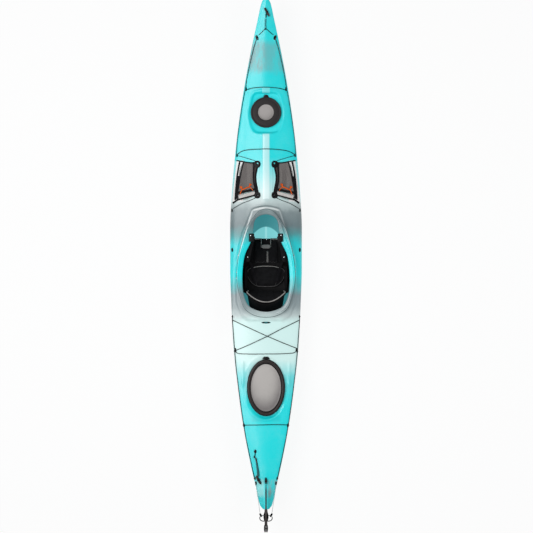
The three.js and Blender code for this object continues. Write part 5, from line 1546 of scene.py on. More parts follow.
@dataclass
class Seat:
    """The seat: pan with its wings, pads, back, straps and trim."""

    shop: Workshop
    sewing: Upholstery = field(default_factory=Upholstery)
    pan_top: float = 0.058
    pan_wall: float = 0.005
    pan_front: float = 0.135
    pan_rear: float = -0.350
    bar_x: float = 0.131
    back_x: float = -0.296
    back_top_x: float = -0.398
    back_half: float = 0.166

    def build(self) -> None:
        """Makes the whole seat."""
        self.pan()
        self.base_pad()
        self.lifter()
        self.back()
        self.hip_pads()
        self.straps()
        self.hardware()

    def pan(self) -> None:
        """The moulded pan that rises to a wing on each side."""
        places = (-0.350, -0.322, -0.300, -0.256, -0.190, -0.100, -0.060, 0.000, 0.060, 0.100, 0.135)
        inner = (0.115, 0.165, 0.171, 0.172, 0.172, 0.172, 0.116, 0.109, 0.108, 0.108, 0.108)
        outer = (0.130, 0.190, 0.206, 0.212, 0.212, 0.207, 0.200, 0.188, 0.172, 0.155, 0.140)
        top = (0.075, 0.150, 0.215, 0.246, 0.246, 0.232, 0.218, 0.205, 0.190, 0.180, 0.160)
        rings = []
        for k in range(70):
            x = mix(self.pan_rear, self.pan_front, k / 69)
            half, out, high = (float(np.interp(x, places, column)) for column in (inner, outer, top))
            low = self.pan_top
            edge = [
                Vector((x, half - 0.030, low)), Vector((x, half - 0.010, low + 0.006)),
                Vector((x, mix(half, out, 0.12), mix(low, high, 0.14))),
                Vector((x, mix(half, out, 0.6), mix(low, high, 0.6))), Vector((x, out, high)),
            ]
            port = even_path(edge, 12)
            face = port[::-1] + [Vector((p.x, -p.y, p.z)) for p in port]
            back = [Vector((x, p.y + math.copysign(0.004, p.y), p.z - self.pan_wall)) for p in face]
            rings.append(face + back[::-1])
        pan = Bench.lofted(rings)
        self.shop.keep(pan, "seat_shell", Palette.SEAT_PLASTIC, "root", ["seat_pan"], 50)
        bars = []
        for sign, _ in SIDES:
            line = [Vector((self.bar_x, sign * y, 0.056)) for y in (0.108, 0.074, 0.040)]
            bars.append(Bench.tube(even_path(line, 12), 0.007, 12))
        self.shop.keep(Bench.joined(bars), "seat_front_bar", Palette.BLACK_PLASTIC)
        for sign, name in SIDES:
            line = [Vector((self.bar_x, sign * y, 0.0655)) for y in (0.104, 0.084, 0.062, 0.046)]
            for x, z in ((0.126, 0.070), (0.114, 0.080), (0.100, 0.0855)):
                line.append(Vector((x, sign * 0.0400, z)))
            line.append(Vector((0.086, sign * 0.0390, 0.0860)))
            piping = Bench.tube(even_path(line, 30), 0.0038, 10)
            self.shop.keep(piping, f"{name}_front_piping", Palette.PIPING)

    @staticmethod
    def slab(outline: Sequence[Vector], low: float, high: float, inset: float) -> bpy.types.Object:
        """A flat pad's starting form.

        Args:
            outline: its outline in the plan.
            low: its underside.
            high: its top.
            inset: how far the edge is drawn in above and below.

        Returns:
            The form.
        """
        middle = sum(outline, Vector()) / len(outline)
        rings = []
        for share, drawn in ((0.0, inset), (0.18, 0.0), (0.55, 0.0), (0.85, inset * 0.6), (1.0, inset * 2)):
            ring = []
            for p in outline:
                away = p - middle
                spot = p - away.normalized() * drawn
                ring.append(Vector((spot.x, spot.y, mix(low, high, share))))
            rings.append(ring)
        return Bench.lofted(rings)

    def trim(self, name: str, cast: Cast, plan: Sequence[Vector], radius: float, finish: Palette, body: str,
             lift: float = 0.0, closed: bool = False) -> None:
        """A tube laid on a pad's top.

        Args:
            name: its name.
            cast: the pad's surface.
            plan: places in the plan.
            radius: the tube's radius.
            finish: what it is made of.
            body: what it rides on.
            lift: its centre's height over the surface.
            closed: whether it is a loop.
        """
        points = [cast.under(p.x, p.y, lift) for p in plan]
        points = [p for p in points if p is not None]
        if len(points) > 3:
            self.shop.keep(Bench.tube(points, radius, 8, closed=closed), name, finish, body)

    def base_pad(self) -> None:
        """The seat's own cushion with its sewn centre panel and pale piping."""
        port = (
            (-0.091, 0.0), (-0.095, 0.060), (-0.107, 0.115), (-0.118, 0.150), (-0.136, 0.166),
            (-0.180, 0.167), (-0.215, 0.154), (-0.250, 0.125), (-0.277, 0.082), (-0.281, 0.060),
            (-0.281, 0.0),
        )
        outline = plan_path(both_halves(port), 90, closed=True)
        pad = self.slab(outline, self.pan_top + 0.0006, 0.0815, 0.004)
        pad = self.sewing.puffed(pad, 0.010, lambda p: 1.0 if p.z < self.pan_top + 0.006 else 0.0)
        panel = even_path([Vector((x, y, 0.1)) for x, y in (
            (-0.112, 0.112), (-0.160, 0.099), (-0.225, 0.088), (-0.264, 0.078), (-0.268, 0.070),
            (-0.268, -0.070), (-0.264, -0.078), (-0.225, -0.088), (-0.160, -0.099), (-0.112, -0.112))], 120)
        ribs = [[Vector((x, y, 0.1)) for y in np.linspace(-0.085, 0.085, 40)] for x in (-0.150, -0.205)]
        flanks = [
            even_path([Vector((x, s * y, 0.1)) for x, y in (
                (-0.118, 0.148), (-0.165, 0.136), (-0.225, 0.116))], 40) for s in (1, -1)
        ]
        down = Vector((0, 0, -1))
        self.sewing.sewn(pad, [panel, *ribs, *flanks], 0.0050, 0.0065, down)
        self.limit(pad, self.pan_top + 0.0005, 0.0915)
        self.shop.keep(pad, "seat_base_pad", Palette.SEAT_FABRIC, "root", ["seat_cushion"], 70)
        cast = Cast(pad)
        edge = [Vector((p.x * 0.93 - 0.0129, p.y * 0.93, 0)) for p in outline]
        self.trim("seat_base_piping", cast, edge, 0.0026, Palette.STITCH, "root", 0.0008, True)
        front = plan_path((
            (-0.118, 0.118), (-0.106, 0.075), (-0.102, 0.0), (-0.106, -0.075), (-0.118, -0.118)), 60)
        self.trim("seat_front_arc", cast, front, 0.0030, Palette.PIPING, "root", 0.0016)
        self.trim("seat_panel_piping", cast, panel, 0.0016, Palette.STITCH, "root", 0.0004)

    @staticmethod
    def limit(piece: bpy.types.Object, low: float, high: float) -> None:
        """Keeps a pad's points between two heights."""
        for vertex in piece.data.vertices:
            vertex.co.z = min(high, max(low, vertex.co.z))

    def lifter(self) -> None:
        """The leg lifter pad with its notch, grey edge, zigzag stitch and handle."""
        notch = ((0.060, 0.0), (0.061, 0.024), (0.068, 0.034), (0.090, 0.040), (0.104, 0.045))
        port = (
            (0.108, 0.058), (0.110, 0.084), (0.100, 0.092), (0.040, 0.100), (-0.030, 0.103),
            (-0.066, 0.100),
            (-0.074, 0.080), (-0.070, 0.045), (-0.075, 0.0),
        )
        outline = plan_path(both_halves(notch + port), 110, closed=True)
        pad = Shell.prism(outline, self.pan_top + 0.0006, 0.0770)
        pad = self.sewing.puffed(pad, 0.006, lambda p: 1.0 if p.z < self.pan_top + 0.005 else 0.0)
        seams = [
            even_path([Vector((x, y, 0.1)) for x, y in (
                (0.050, -0.070), (0.030, -0.085), (-0.050, -0.086), (-0.058, -0.04), (-0.052, 0.0),
                (-0.060, 0.045), (-0.050, 0.086), (0.030, 0.085), (0.050, 0.070))], 120),
            even_path([Vector((x, 0.0, 0.1)) for x in (0.052, 0.0, -0.072)], 50),
        ]
        self.sewing.sewn(pad, seams, 0.0028, 0.005, Vector((0, 0, -1)))
        self.limit(pad, self.pan_top + 0.0005, 0.0840)
        self.shop.keep(pad, "leg_lifter_pad", Palette.SEAT_FABRIC, "leg_rest", ["leg_lifter"], 70)
        cast = Cast(pad)
        lip = plan_path((
            (0.092, 0.041), (0.080, 0.041), (0.060, 0.037), (0.054, 0.020), (0.053, 0.0), (0.054, -0.020),
            (0.060, -0.037), (0.080, -0.041), (0.092, -0.041)), 60)
        self.trim("lifter_notch_piping", cast, lip, 0.0022, Palette.PIPING, "leg_rest", 0.0008)
        zigzag = []
        for k in range(25):
            x = mix(0.026, -0.068, k / 24)
            zigzag.append(Vector((x, -0.012 + (0.009 if k % 2 else -0.009), 0)))
        dense = [a.lerp(b, s / 4) for a, b in zip(zigzag, zigzag[1:]) for s in range(4)]
        self.trim("lifter_zigzag", cast, dense, 0.0012, Palette.PIPING, "leg_rest", 0.0005)
        wave = flat_line((-0.066 + 0.003 * math.sin(k * 0.9), mix(-0.092, 0.092, k / 50)) for k in range(51))
        self.trim("lifter_rear_seam", cast, wave, 0.0011, Palette.STITCH, "leg_rest", 0.0004)
        rings = []
        for k in range(17):
            share = k / 16
            swell = max(0.04, 1 - abs(2 * share - 1) ** 5) ** 0.5
            y = 0.0365 * (1 - 2 * share)
            rings.append([
                Vector((0.0665 + 0.0165 * math.cos(a) * swell, y, 0.0868 + 0.0042 * math.sin(a) * swell
                        + 0.0010 * math.cos(2 * a)))
                for a in circle(20)
            ])
        self.shop.keep(Bench.lofted(rings), "lifter_grip", Palette.GRIP, "leg_rest", ["lifter_handle"])

    def back_point(self, across: float, up: float, depth: float) -> Vector:
        """A point of the seat's back.

        Args:
            across: from -1 at starboard to 1 at port.
            up: from 0 at its foot to 1 at its top.
            depth: how far behind its face.

        Returns:
            The point.
        """
        wrap = 0.088 * across * across
        return Vector((
            mix(self.back_x, self.back_top_x + wrap, up) - depth,
            self.back_half * across * mix(0.74, 1, math.sqrt(max(0.0, up))),
            mix(0.108, 0.284 - wrap * 0.17, up),
        ))

    def back_slab(self, near: float, far: float, rise: float, puff: float, low: float = 0.0,
                  high: float = 1.0) -> bpy.types.Object:
        """A closed slab between two depths of the back.

        Args:
            near: depth of its face.
            far: depth of its rear.
            rise: how much nearer its middle is.
            puff: share of the width over which its edge rounds off.
            low: its lower edge.
            high: its upper edge.

        Returns:
            The slab.
        """
        rings = []
        for i in range(25):
            up = mix(low, high, i / 24)
            ease = math.sqrt(math.sin(math.pi * mix(0.04, 0.96, i / 24)))
            face, rear = [], []
            for j in range(33):
                across = mix(-1, 1, j / 32)
                edge = max(0.12, (1 - abs(across) ** (1 / puff))) ** 0.5
                face.append(self.back_point(across, up, mix(far, near - rise * ease * edge, ease * edge)))
                rear.append(self.back_point(across, up, far))
            rings.append(face + rear[::-1])
        return Bench.lofted(rings)

    def back(self) -> None:
        """The back's shell, its cushion with sewn panels, and the bright piping along its top."""
        shell = self.back_slab(0.0225, 0.0272, 0.0, 0.08)
        self.shop.keep(shell, "seat_back_shell", Palette.SEAT_PLASTIC, "seat_back", ["seat_back_frame"], 55)
        for sign, name in SIDES:
            foot = [Vector((-0.335, sign * 0.132, 0.066)), Vector((-0.334, sign * 0.130, 0.092)),
                    Vector((-0.331, sign * 0.126, 0.118))]
            leg = Bench.tube(even_path(foot, 14), 0.0060, 12)
            axis = [Vector((-0.335, sign * y, 0.0653)) for y in (0.1175, 0.124, 0.140, 0.1465)]
            hinge = Bench.joined([leg, Bench.tube(axis, 0.0068, 18)])
            self.shop.keep(hinge, f"{name}_back_hinge", Palette.BLACK_PLASTIC, "seat_back")
        pad = self.back_slab(0.0040, 0.0215, 0.0, 0.16)
        pad = self.sewing.puffed(pad, 0.009, lambda p: 0.0)
        ahead = Vector((1, 0, 0))
        seams = [
            [self.back_point(a, u, -0.01) for u in np.linspace(0.06, 0.94, 50)] for a in (-0.46, 0.46)
        ] + [[self.back_point(a, 0.52, -0.01) for a in np.linspace(-0.46, 0.46, 60)]]
        self.sewing.sewn(pad, seams, 0.0045, 0.006, -ahead)
        self.shop.keep(pad, "seat_back_pad", Palette.SEAT_FABRIC, "seat_back", ["seat_back_cushion"], 70)
        ends = [(-0.985, 0.46), (-0.99, 0.66), (-0.985, 0.84), (-0.975, 0.94)]
        rim = ends + [(mix(-0.95, 0.95, k / 40), 0.975) for k in range(41)]
        rim += [(-a, u) for a, u in reversed(ends)]
        top = even_path([self.back_point(a, u, 0.006) for a, u in rim], 90)
        self.shop.keep(Bench.tube(top, 0.0048, 10), "seat_back_piping", Palette.PIPING, "seat_back")
        # A black sheet from the back's top down behind the seat: painted shade for the dark space behind the
        # seat.
        shade_rows = []
        for k in range(17):
            share = k / 16
            row = []
            for j in range(25):
                across = mix(-1, 1, j / 24)
                start = self.back_point(across * 0.95, 0.90, 0.0285)
                end = Vector((-0.520, 0.128 * across, 0.150))
                spot = start.lerp(end, share)
                spot.z -= 0.030 * math.sin(math.pi * share)
                row.append(spot)
            shade_rows.append(row + [p - Vector((0, 0, 0.002)) for p in reversed(row)])
        shade_sheet = Bench.lofted(shade_rows)
        self.shop.keep(shade_sheet, "seat_rear_flap", Palette.SEAT_FABRIC, "seat_back", (), 60)

    def hip_pads(self) -> None:
        """A stuffed pad on the inside of each wing."""
        for sign, name in SIDES:
            rings = []
            for k in range(15):
                share = k / 14
                x = mix(-0.105, -0.285, share)
                swell = math.sqrt(math.sin(math.pi * mix(0.05, 0.95, share)))
                ring = []
                for j in range(20):
                    turn = math.tau * j / 20
                    z = 0.150 + 0.062 * swell * math.sin(turn)
                    lean = 0.168 + 0.036 * (z - 0.058) / 0.188
                    y = lean - 0.010 - 0.0085 * swell * (1 + math.cos(turn))
                    ring.append(Vector((x, sign * y, z)))
                rings.append(ring)
            pad = Bench.lofted(rings)
            self.shop.keep(pad, f"{name}_hip_pad", Palette.SEAT_FABRIC, "root", (), 70)

    def straps(self) -> None:
        """The two webbing straps that run back over the base pad."""
        cast = Cast(bpy.data.objects["seat_base_pad"])
        for sign, name in SIDES:
            route = ((-0.058, 0.142), (-0.103, 0.122), (-0.160, 0.106), (-0.236, 0.084))
            plan = plan_path(((x, sign * y) for x, y in route), 30)
            rings = []
            for k, spot in enumerate(plan):
                ahead = (plan[min(29, k + 1)] - plan[max(0, k - 1)]).normalized()
                square = Vector((-ahead.y, ahead.x, 0)) * 0.0105
                below = [cast.under(*(spot + square * s).to_2d(), 0.0) for s in (-1, 0, 1)]
                found = [p.z for p in below if p is not None]
                z = max(0.079, max(found, default=0.0785) + 0.0006)
                rings.append([spot + square * s + Vector((0, 0, z + h)) for s, h in (
                    (-1, 0.0004), (-0.94, 0.0019), (0, 0.0021), (0.94, 0.0019), (1, 0.0004), (0, 0.0))])
            strap = Bench.lofted(rings)
            self.shop.keep(strap, f"{name}_back_strap", Palette.WEBBING, "root", [f"{name}_seat_strap"], 60)
            buckle = Stern.box((-0.066, -0.014, 0.0), (-0.050, 0.014, 0.005), 0.0015)
            buckle.location = (0, sign * 0.143, 0.0800)
            self.shop.keep(Bench.settled(buckle), f"{name}_strap_buckle", Palette.BLACK_PLASTIC)

    def hardware(self) -> None:
        """Bolts on the coaming's brackets, the seat's front bolt and the thigh braces' knobs."""
        dome = ((0, 0), (0.0062, 0), (0.0062, 0.0012), (0.0052, 0.0028), (0.0030, 0.0038), (0, 0.0042))
        for sign, name in SIDES:
            x, y = 0.155, 0.1265 * sign
            z = Shell.rim_top(x)
            inward = sorted((0.098 * sign, 0.142 * sign))
            plate = Stern.box((x - 0.052, inward[0], z - 0.010), (x + 0.016, inward[1], z + 0.0020), 0.0035)
            self.shop.keep(plate, f"{name}_brace_bracket", Palette.BLACK_PLASTIC)
            self.shop.keep(Bench.lathed(dome, (x, y, z + 0.0023), 20), f"{name}_brace_bolt", Palette.STEEL)
            knob = Bench.lathed((
                (0, 0), (0.0100, 0), (0.0118, 0.0010), (0.0120, 0.0035), (0.0108, 0.0058), (0.0080, 0.0070),
                (0.0052, 0.0068), (0.0046, 0.0058), (0, 0.0056),
            ), (-0.025, 0.152 * sign, 0.2966), 32)
            low, high = 0.152 * sign - 0.0012, 0.152 * sign + 0.0012
            Shell.cut(knob, Stern.box((-0.0345, low, 0.3028), (-0.0155, high, 0.31), 0.0002))
            self.shop.keep(knob, f"{name}_knob_cap", Palette.BLACK_PLASTIC, f"{name}_knob",
                           [f"{name}_brace_knob"], 35)
            button = Bench.lathed(dome, (-0.025, 0.152 * sign, 0.3022), 20)
            self.shop.keep(button, f"{name}_knob_button", Palette.STEEL, f"{name}_knob")
        self.shop.keep(Bench.lathed(dome, (0.1270, -0.0050, 0.0600), 20), "seat_front_bolt", Palette.STEEL)


Profile = Sequence[tuple[float, float, float]]


@dataclass
class Hatches:
    """The round front cover, the oval rear lid with its rim, and their tethers."""

    shop: Workshop

    def build(self) -> None:
        """Makes both covers."""
        self.front()
        self.rear()
        for name, node, x, z, wide in (
            ("front_tether", "front_hatch_tether", 1.321, 0.3170, 0.0230),
            ("rear_tether", "rear_hatch_tether", -0.871, 0.2680, 0.0320),
        ):
            self.tether(name, node, x, z, wide)

    @staticmethod
    def oval(x: float, z: float, along: float, across: float, profile: Profile,
             sides: int) -> bpy.types.Object:
        """A form whose rings follow an oval edge.

        Args:
            x: the centre's place.
            z: the height that the profile starts from.
            along: the oval's half length.
            across: its half width.
            profile: inset from the edge, share of what is left, and height of each ring.
            sides: points round each ring.

        Returns:
            The piece.
        """
        rings = []
        for inset, share, lift in profile:
            wide = Vector((along - inset, across - inset)) * max(share, 0.002)
            turns = circle(sides)
            rings.append([Vector((x + wide.x * math.cos(a), wide.y * math.sin(a), z + lift)) for a in turns])
        return Bench.lofted(rings)

    def front(self) -> None:
        """Black rubber cover with a raised lip, and a grey disc in its middle."""
        cover = self.oval(FRONT_HATCH_X, 0.313, FRONT_HATCH_RADIUS, FRONT_HATCH_RADIUS, (
            (0, 0, 0.0145), (0.022, 1, 0.0145), (0.0148, 1, 0.0120), (0.0148, 1, 0.0004), (0.0030, 1, 0.0),
            (0.0006, 1, 0.0016), (0.0, 1, 0.0050), (0.0002, 1, 0.0135), (0.0014, 1, 0.0172),
            (0.0045, 1, 0.0196),
            (0.0082, 1, 0.0200), (0.0118, 1, 0.0188), (0.0138, 1, 0.0160), (0.0158, 1, 0.0152),
            (0.0185, 1, 0.0160),
            (0.030, 1, 0.0184), (0.045, 1, 0.0196), (0.0575, 1, 0.0198), (0.0600, 1, 0.0190),
            (0.0605, 1, 0.0172),
            (0.0605, 0, 0.0172),
        ), 96)
        self.shop.keep(cover, "front_cover", Palette.HATCH_RUBBER, "front_hatch", ["front_hatch_cover"], 50)
        disc = self.oval(FRONT_HATCH_X, 0.3312, 0.066, 0.066, (
            (0, 0, 0.0), (0.0008, 1, 0.0), (0.0, 1, 0.0010), (0.0, 1, 0.0040), (0.0012, 1, 0.0058),
            (0.0032, 1, 0.0066), (0.0060, 1, 0.0064), (0.0078, 1, 0.0052), (0.0100, 1, 0.0050),
            (0.0140, 1, 0.0056),
            (0.0140, 0.5, 0.0064), (0.0140, 0, 0.0066),
        ), 72)
        self.shop.keep(disc, "front_disc", Palette.FRONT_DISC, "front_hatch", ["front_hatch_disc"], 50)

    def rear(self) -> None:
        """Dark rim with its rolled edge and groove, a black band of painted shade in the groove where it
        meets the lid, and the crowned grey lid.
        """
        rim = self.oval(REAR_HATCH_X, 0.264, REAR_HATCH_HALF, REAR_HATCH_RADIUS, (
            (0, 0, 0.0145), (0.022, 1, 0.0145), (0.0150, 1, 0.0120), (0.0150, 1, 0.0004), (0.0030, 1, 0.0),
            (0.0006, 1, 0.0016), (0.0, 1, 0.0050), (0.0002, 1, 0.0120), (0.0012, 1, 0.0150),
            (0.0030, 1, 0.0165),
            (0.0046, 1, 0.0166), (0.0054, 1, 0.0156), (0.0064, 1, 0.0164), (0.0095, 1, 0.0186),
            (0.0150, 1, 0.0198),
            (0.0200, 1, 0.0192), (0.0228, 1, 0.0172), (0.0240, 1, 0.0152), (0.0290, 1, 0.0150),
            (0.0300, 1, 0.0172),
            (0.0312, 0, 0.0176),
        ), 128)
        self.shop.keep(rim, "rear_rim", Palette.BROWN_RUBBER, "rear_hatch", ["rear_hatch_rim"], 50)
        # The edge bead is the rim's black lip; the other bead is painted shade, a black band in the groove
        # where the rim meets the lid.
        for name, inset, lift, flat in (
            ("rear_rim_edge", 0.0026, 0.0150, 0.75), ("rear_rim_groove", 0.0340, 0.0166, 1.9),
        ):
            line = even_path([
                Vector((REAR_HATCH_X + (REAR_HATCH_HALF - inset) * math.cos(a), (REAR_HATCH_RADIUS - inset)
                        * math.sin(a), 0.264 + lift)) for a in circle(32)
            ], 128, closed=True)
            bead = Bench.tube(line, 0.0034, 8, closed=True, flat=flat)
            self.shop.keep(bead, name, Palette.BLACK_PLASTIC, "rear_hatch")
        lid = self.oval(REAR_HATCH_X, 0.2824, 0.1985, 0.1265, (
            (0, 0, 0.0), (0.0010, 1, 0.0), (0.0, 1, 0.0012), (0.0002, 1, 0.0030), (0.0014, 1, 0.0044),
            (0.0036, 1, 0.0050), (0.0058, 1, 0.0046), (0.0076, 1, 0.0034), (0.0100, 1, 0.0032),
            (0.0160, 1, 0.0040),
            (0.0160, 0.8, 0.0054), (0.0160, 0.55, 0.0062), (0.0160, 0.28, 0.0066), (0.0160, 0, 0.0067),
        ), 112)
        self.shop.keep(lid, "rear_lid", Palette.REAR_LID, "rear_hatch", ["rear_hatch_lid"], 50)

    def tether(self, name: str, node: str, x: float, z: float, wide: float) -> None:
        """A small rubber tab ahead of a cover, with its screw.

        Args:
            name: the tab's name.
            node: the CAD node that it stands for.
            x: its middle.
            z: its underside.
            wide: its half width.
        """
        rings = []
        for share in (0.0, 0.12, 0.5, 0.88, 1.0):
            place = x - 0.011 + 0.022 * share
            half = wide * (1.0, 0.98, 0.82, 0.62, 0.52)[int(share * 4)]
            rings.append([
                Vector((place, a * half, z + b * 0.0028))
                for a, b in ((-1, 0), (-1, 0.7), (-0.9, 1), (0, 1.1), (0.9, 1), (1, 0.7), (1, 0))
            ])
        tab = Bench.lofted(rings)
        self.shop.keep(tab, name, Palette.CHOCK if x > 0 else Palette.BLACK_PLASTIC, "root", [node])
        dome = Bench.lathed(((0, 0), (0.0035, 0), (0.0032, 0.0010), (0.0018, 0.0017), (0, 0.0018)),
                            (x, 0, z + 0.0029), 14)
        self.shop.keep(dome, name + "_screw", Palette.BLACK_PLASTIC)


Plan = Sequence[tuple[float, float]]

FRONT_EDGE: Plan = ((1.805, 0.075), (1.700, 0.106), (1.570, 0.137), (1.455, 0.160), (1.384, 0.170))
SIDE_EDGE: Plan = ((1.376, 0.172), (1.253, 0.196), (1.085, 0.222), (0.941, 0.241), (0.836, 0.246))
REAR_EDGE: Plan = (
    (-0.524, 0.284), (-0.560, 0.281), (-0.815, 0.262), (-0.960, 0.249), (-1.160, 0.227), (-1.438, 0.187),
    (-1.620, 0.151), (-1.780, 0.117), (-1.880, 0.094),
)
CROSS_UNDER: Plan = ((-0.556, 0.276), (-0.620, 0.140), (-0.684, 0.0), (-0.738, -0.126), (-0.790, -0.253))
CROSS_OVER: Plan = ((-0.556, -0.276), (-0.622, -0.140), (-0.694, 0.0), (-0.754, 0.126), (-0.808, 0.250))
CORD_LIFT = 0.0011


@dataclass
class Rigging:
    """Perimeter lines, bungees and their pad eyes."""

    form: HullForm
    shop: Workshop

    def build(self) -> None:
        """Makes every cord that lies on the deck."""
        for side, name in SIDES:
            front = self.mirrored(FRONT_EDGE, side)
            rear = self.mirrored(REAR_EDGE, side)
            self.line(f"{name}_front_rope", front, 0.0029, Palette.BLACK_CORD, [f"{name}_front_line"])
            self.line(f"{name}_rear_rope", rear, 0.0032, Palette.BLACK_CORD, [f"{name}_rear_line"])
            self.eye(f"{name}_bow_eye", *front[0], 0.42 * side, 1.55)
            self.line(f"{name}_side_rope", self.mirrored(SIDE_EDGE, side), 0.0024, Palette.BLACK_CORD, ())
            self.hook(f"{name}_front_eye", 1.380, 0.166 * side, 0.95, (), (1.9, 0.72))
            for index, size in ((0, 0.9), (2, 1.1), (5, 1.35), (8, 1.0)):
                ahead = rear[max(0, index - 1)], rear[min(8, index + 1)]
                turn = math.atan2(ahead[0][1] - ahead[1][1], ahead[0][0] - ahead[1][0])
                self.eye(f"{name}_rear_eye_{index}", *rear[index], turn, size)
        for name, route in (
            ("front_bungee", (
                (1.374, 0.160), (1.385, 0.118), (1.391, 0.050), (1.392, 0.0), (1.389, -0.060),
                (1.383, -0.118),
                (1.372, -0.162))),
            ("middle_bungee", (
                (0.832, 0.240), (0.850, 0.222), (0.864, 0.195), (0.872, 0.150), (0.876, 0.070),
                (0.877, 0.0),
                (0.876, -0.060), (0.871, -0.130), (0.862, -0.185), (0.848, -0.218), (0.832, -0.240))),
            ("rear_bungee", (
                (-0.812, 0.253), (-0.824, 0.250), (-0.833, 0.236), (-0.837, 0.200), (-0.838, 0.0),
                (-0.833, -0.200),
                (-0.827, -0.238), (-0.815, -0.250), (-0.802, -0.252))),
            ("aft_bungee", ((-1.435, 0.176), (-1.432, 0.090), (-1.430, 0.0), (-1.429, -0.090),
            (-1.433, -0.176))),
        ):
            self.line(f"{name}_cord", route, 0.003, Palette.BUNGEE, [name])
        for name, x, y in (
            ("middle_fitting", 0.828, 0.243), ("knee_fitting", 0.369, 0.284),
            ("cross_fitting", -0.803, 0.256),
        ):
            for side, label in SIDES:
                self.hook(f"{label}_{name}", x, y * side, 0.85, (), (1.8, 0.75))
        self.line("cross_under_cord", CROSS_UNDER, 0.003, Palette.BUNGEE, ["cross_bungee_under"])
        self.line("cross_over_cord", CROSS_OVER, 0.003, Palette.BUNGEE, ["cross_bungee_over"],
                  hump=(-0.689, 0.0066))
        self.bow()

    @staticmethod
    def mirrored(route: Plan, side: int) -> list[tuple[float, float]]:
        """A route on the side asked for."""
        return [(x, y * side) for x, y in route]

    def over(self, x: float, y: float, lift: float) -> Vector:
        """A point over the deck that doesn't sink into recesses or trays.

        Args:
            x: the place along.
            y: the place across.
            lift: how far above the deck.

        Returns:
            The point.
        """
        return self.form.draped([(x, y)], lift, sinks=False)[0]

    def laid(self, route: Plan, lift: float, count: int,
             hump: tuple[float, float] | None = None) -> list[Vector]:
        """A route laid over the deck.

        Args:
            route: places in the plan.
            lift: how far the centreline is off the deck.
            count: how many points it gets.
            hump: a place along where it climbs over another cord, and by how much.

        Returns:
            The centreline.
        """
        flat = even_path([Vector((x, y, 0)) for x, y in route], count)
        line = self.form.draped([p.to_2d() for p in flat], lift, sinks=False)
        if hump:
            for p in line:
                p.z += hump[1] * math.exp(-((p.x - hump[0]) / 0.020) ** 2)
        return line

    def line(self, name: str, route: Plan, radius: float, finish: Palette, replaces: Sequence[str],
             hump: tuple[float, float] | None = None) -> bpy.types.Object:
        """One taut cord on the deck.

        Args:
            name: the cord's name.
            route: places in the plan.
            radius: its radius.
            finish: what it is made of.
            replaces: the CAD nodes that it stands for.
            hump: where it climbs over another.

        Returns:
            The cord.
        """
        flat = [Vector((x, y, 0)) for x, y in route]
        count = max(40, int(path_length(flat) / 0.009))
        points = self.laid(route, radius + CORD_LIFT, count, hump)
        piece = Bench.tube(points, radius, 8)
        self.shop.keep(piece, name, finish, "root", replaces)
        self.declare(piece, points, radius)
        return piece

    @staticmethod
    def declare(piece: bpy.types.Object, points: Sequence[Vector], radius: float, stiffness: str = "medium",
                lay: str = "taut", far_end: str = "object") -> None:
        """Args:
            piece: the cord's mesh; not used.
            points: its centreline; not used.
            radius: its radius.
            stiffness: how it bends; not used.
            lay: how it lies; not used.
            far_end: what its far end is; not used.
        """
        2 * radius

    def eye(self, name: str, x: float, y: float, turn: float, size: float = 1.0) -> None:
        """A pad eye: an oval foot, an arch over the line, and two screws.

        Args:
            name: the piece's name.
            x: its middle.
            y: its place across.
            turn: how its long side is turned in the plan.
            size: its size against the common one.
        """
        foot = Bench.lathed((
            (0, -0.0030), (0.0140 * size, -0.0030), (0.0142 * size, 0.0012), (0.0130 * size, 0.0026),
            (0.0095 * size, 0.0031), (0, 0.0032),
        ), (0, 0, 0), 28, (1.0, 0.52))
        across = [
            Vector((0, 0.0068 * size * math.cos(a), 0.0094 * math.sin(a)))
            for a in (math.pi * i / 14 for i in range(15))
        ]
        arch = Bench.tube(across, 0.0023, 8)
        dome = ((0, 0), (0.0024, 0), (0.0021, 0.0007), (0.0012, 0.0012), (0, 0.0013))
        screws = [Bench.lathed(dome, (s * 0.0098 * size, 0, 0.0029), 10) for s in (-1, 1)]
        eye = Bench.joined([foot, arch])
        self.seat(eye, x, y, turn)
        self.shop.keep(eye, name, Palette.BLACK_PLASTIC)
        heads = Bench.joined(screws)
        self.seat(heads, x, y, turn)
        self.shop.keep(heads, name + "_screws", Palette.STEEL)

    def seat(self, piece: bpy.types.Object, x: float, y: float, turn: float, lift: float = 0.0) -> None:
        """Turns a small piece made at the origin onto the deck.

        Args:
            piece: the piece.
            x: its place along.
            y: its place across.
            turn: its turn in the plan.
            lift: how far off the deck it stands.
        """
        spot = self.form.on_deck(x, y, lift)
        up = (self.form.on_deck(x, y, 1.0) - self.form.on_deck(x, y, 0.0)).normalized()
        piece.rotation_mode = "QUATERNION"
        piece.rotation_quaternion = Vector((0, 0, 1)).rotation_difference(up) @ Quaternion((0, 0, 1), turn)
        piece.location = spot
        Bench.settled(piece)

    def hook(self, name: str, x: float, y: float, size: float = 1.25, replaces: Sequence[str] = (),
             stretch: tuple[float, float] = (1.25, 0.85)) -> None:
        """A small black deck fitting that a bungee's end sits in.

        Args:
            name: the piece's name.
            x: its middle.
            y: its place across.
            size: its size against the smallest one.
            replaces: the CAD nodes that it stands for.
            stretch: factors along and across.
        """
        body = Bench.lathed((
            (0, -0.002), (0.0095 * size, -0.002), (0.0100 * size, 0.002), (0.0088 * size, 0.006),
            (0.0055 * size, 0.0082), (0, 0.0086),
        ), (0, 0, 0), 22, stretch)
        self.seat(body, x, y, 0.0)
        self.shop.keep(body, name, Palette.BLACK_PLASTIC, "root", replaces)

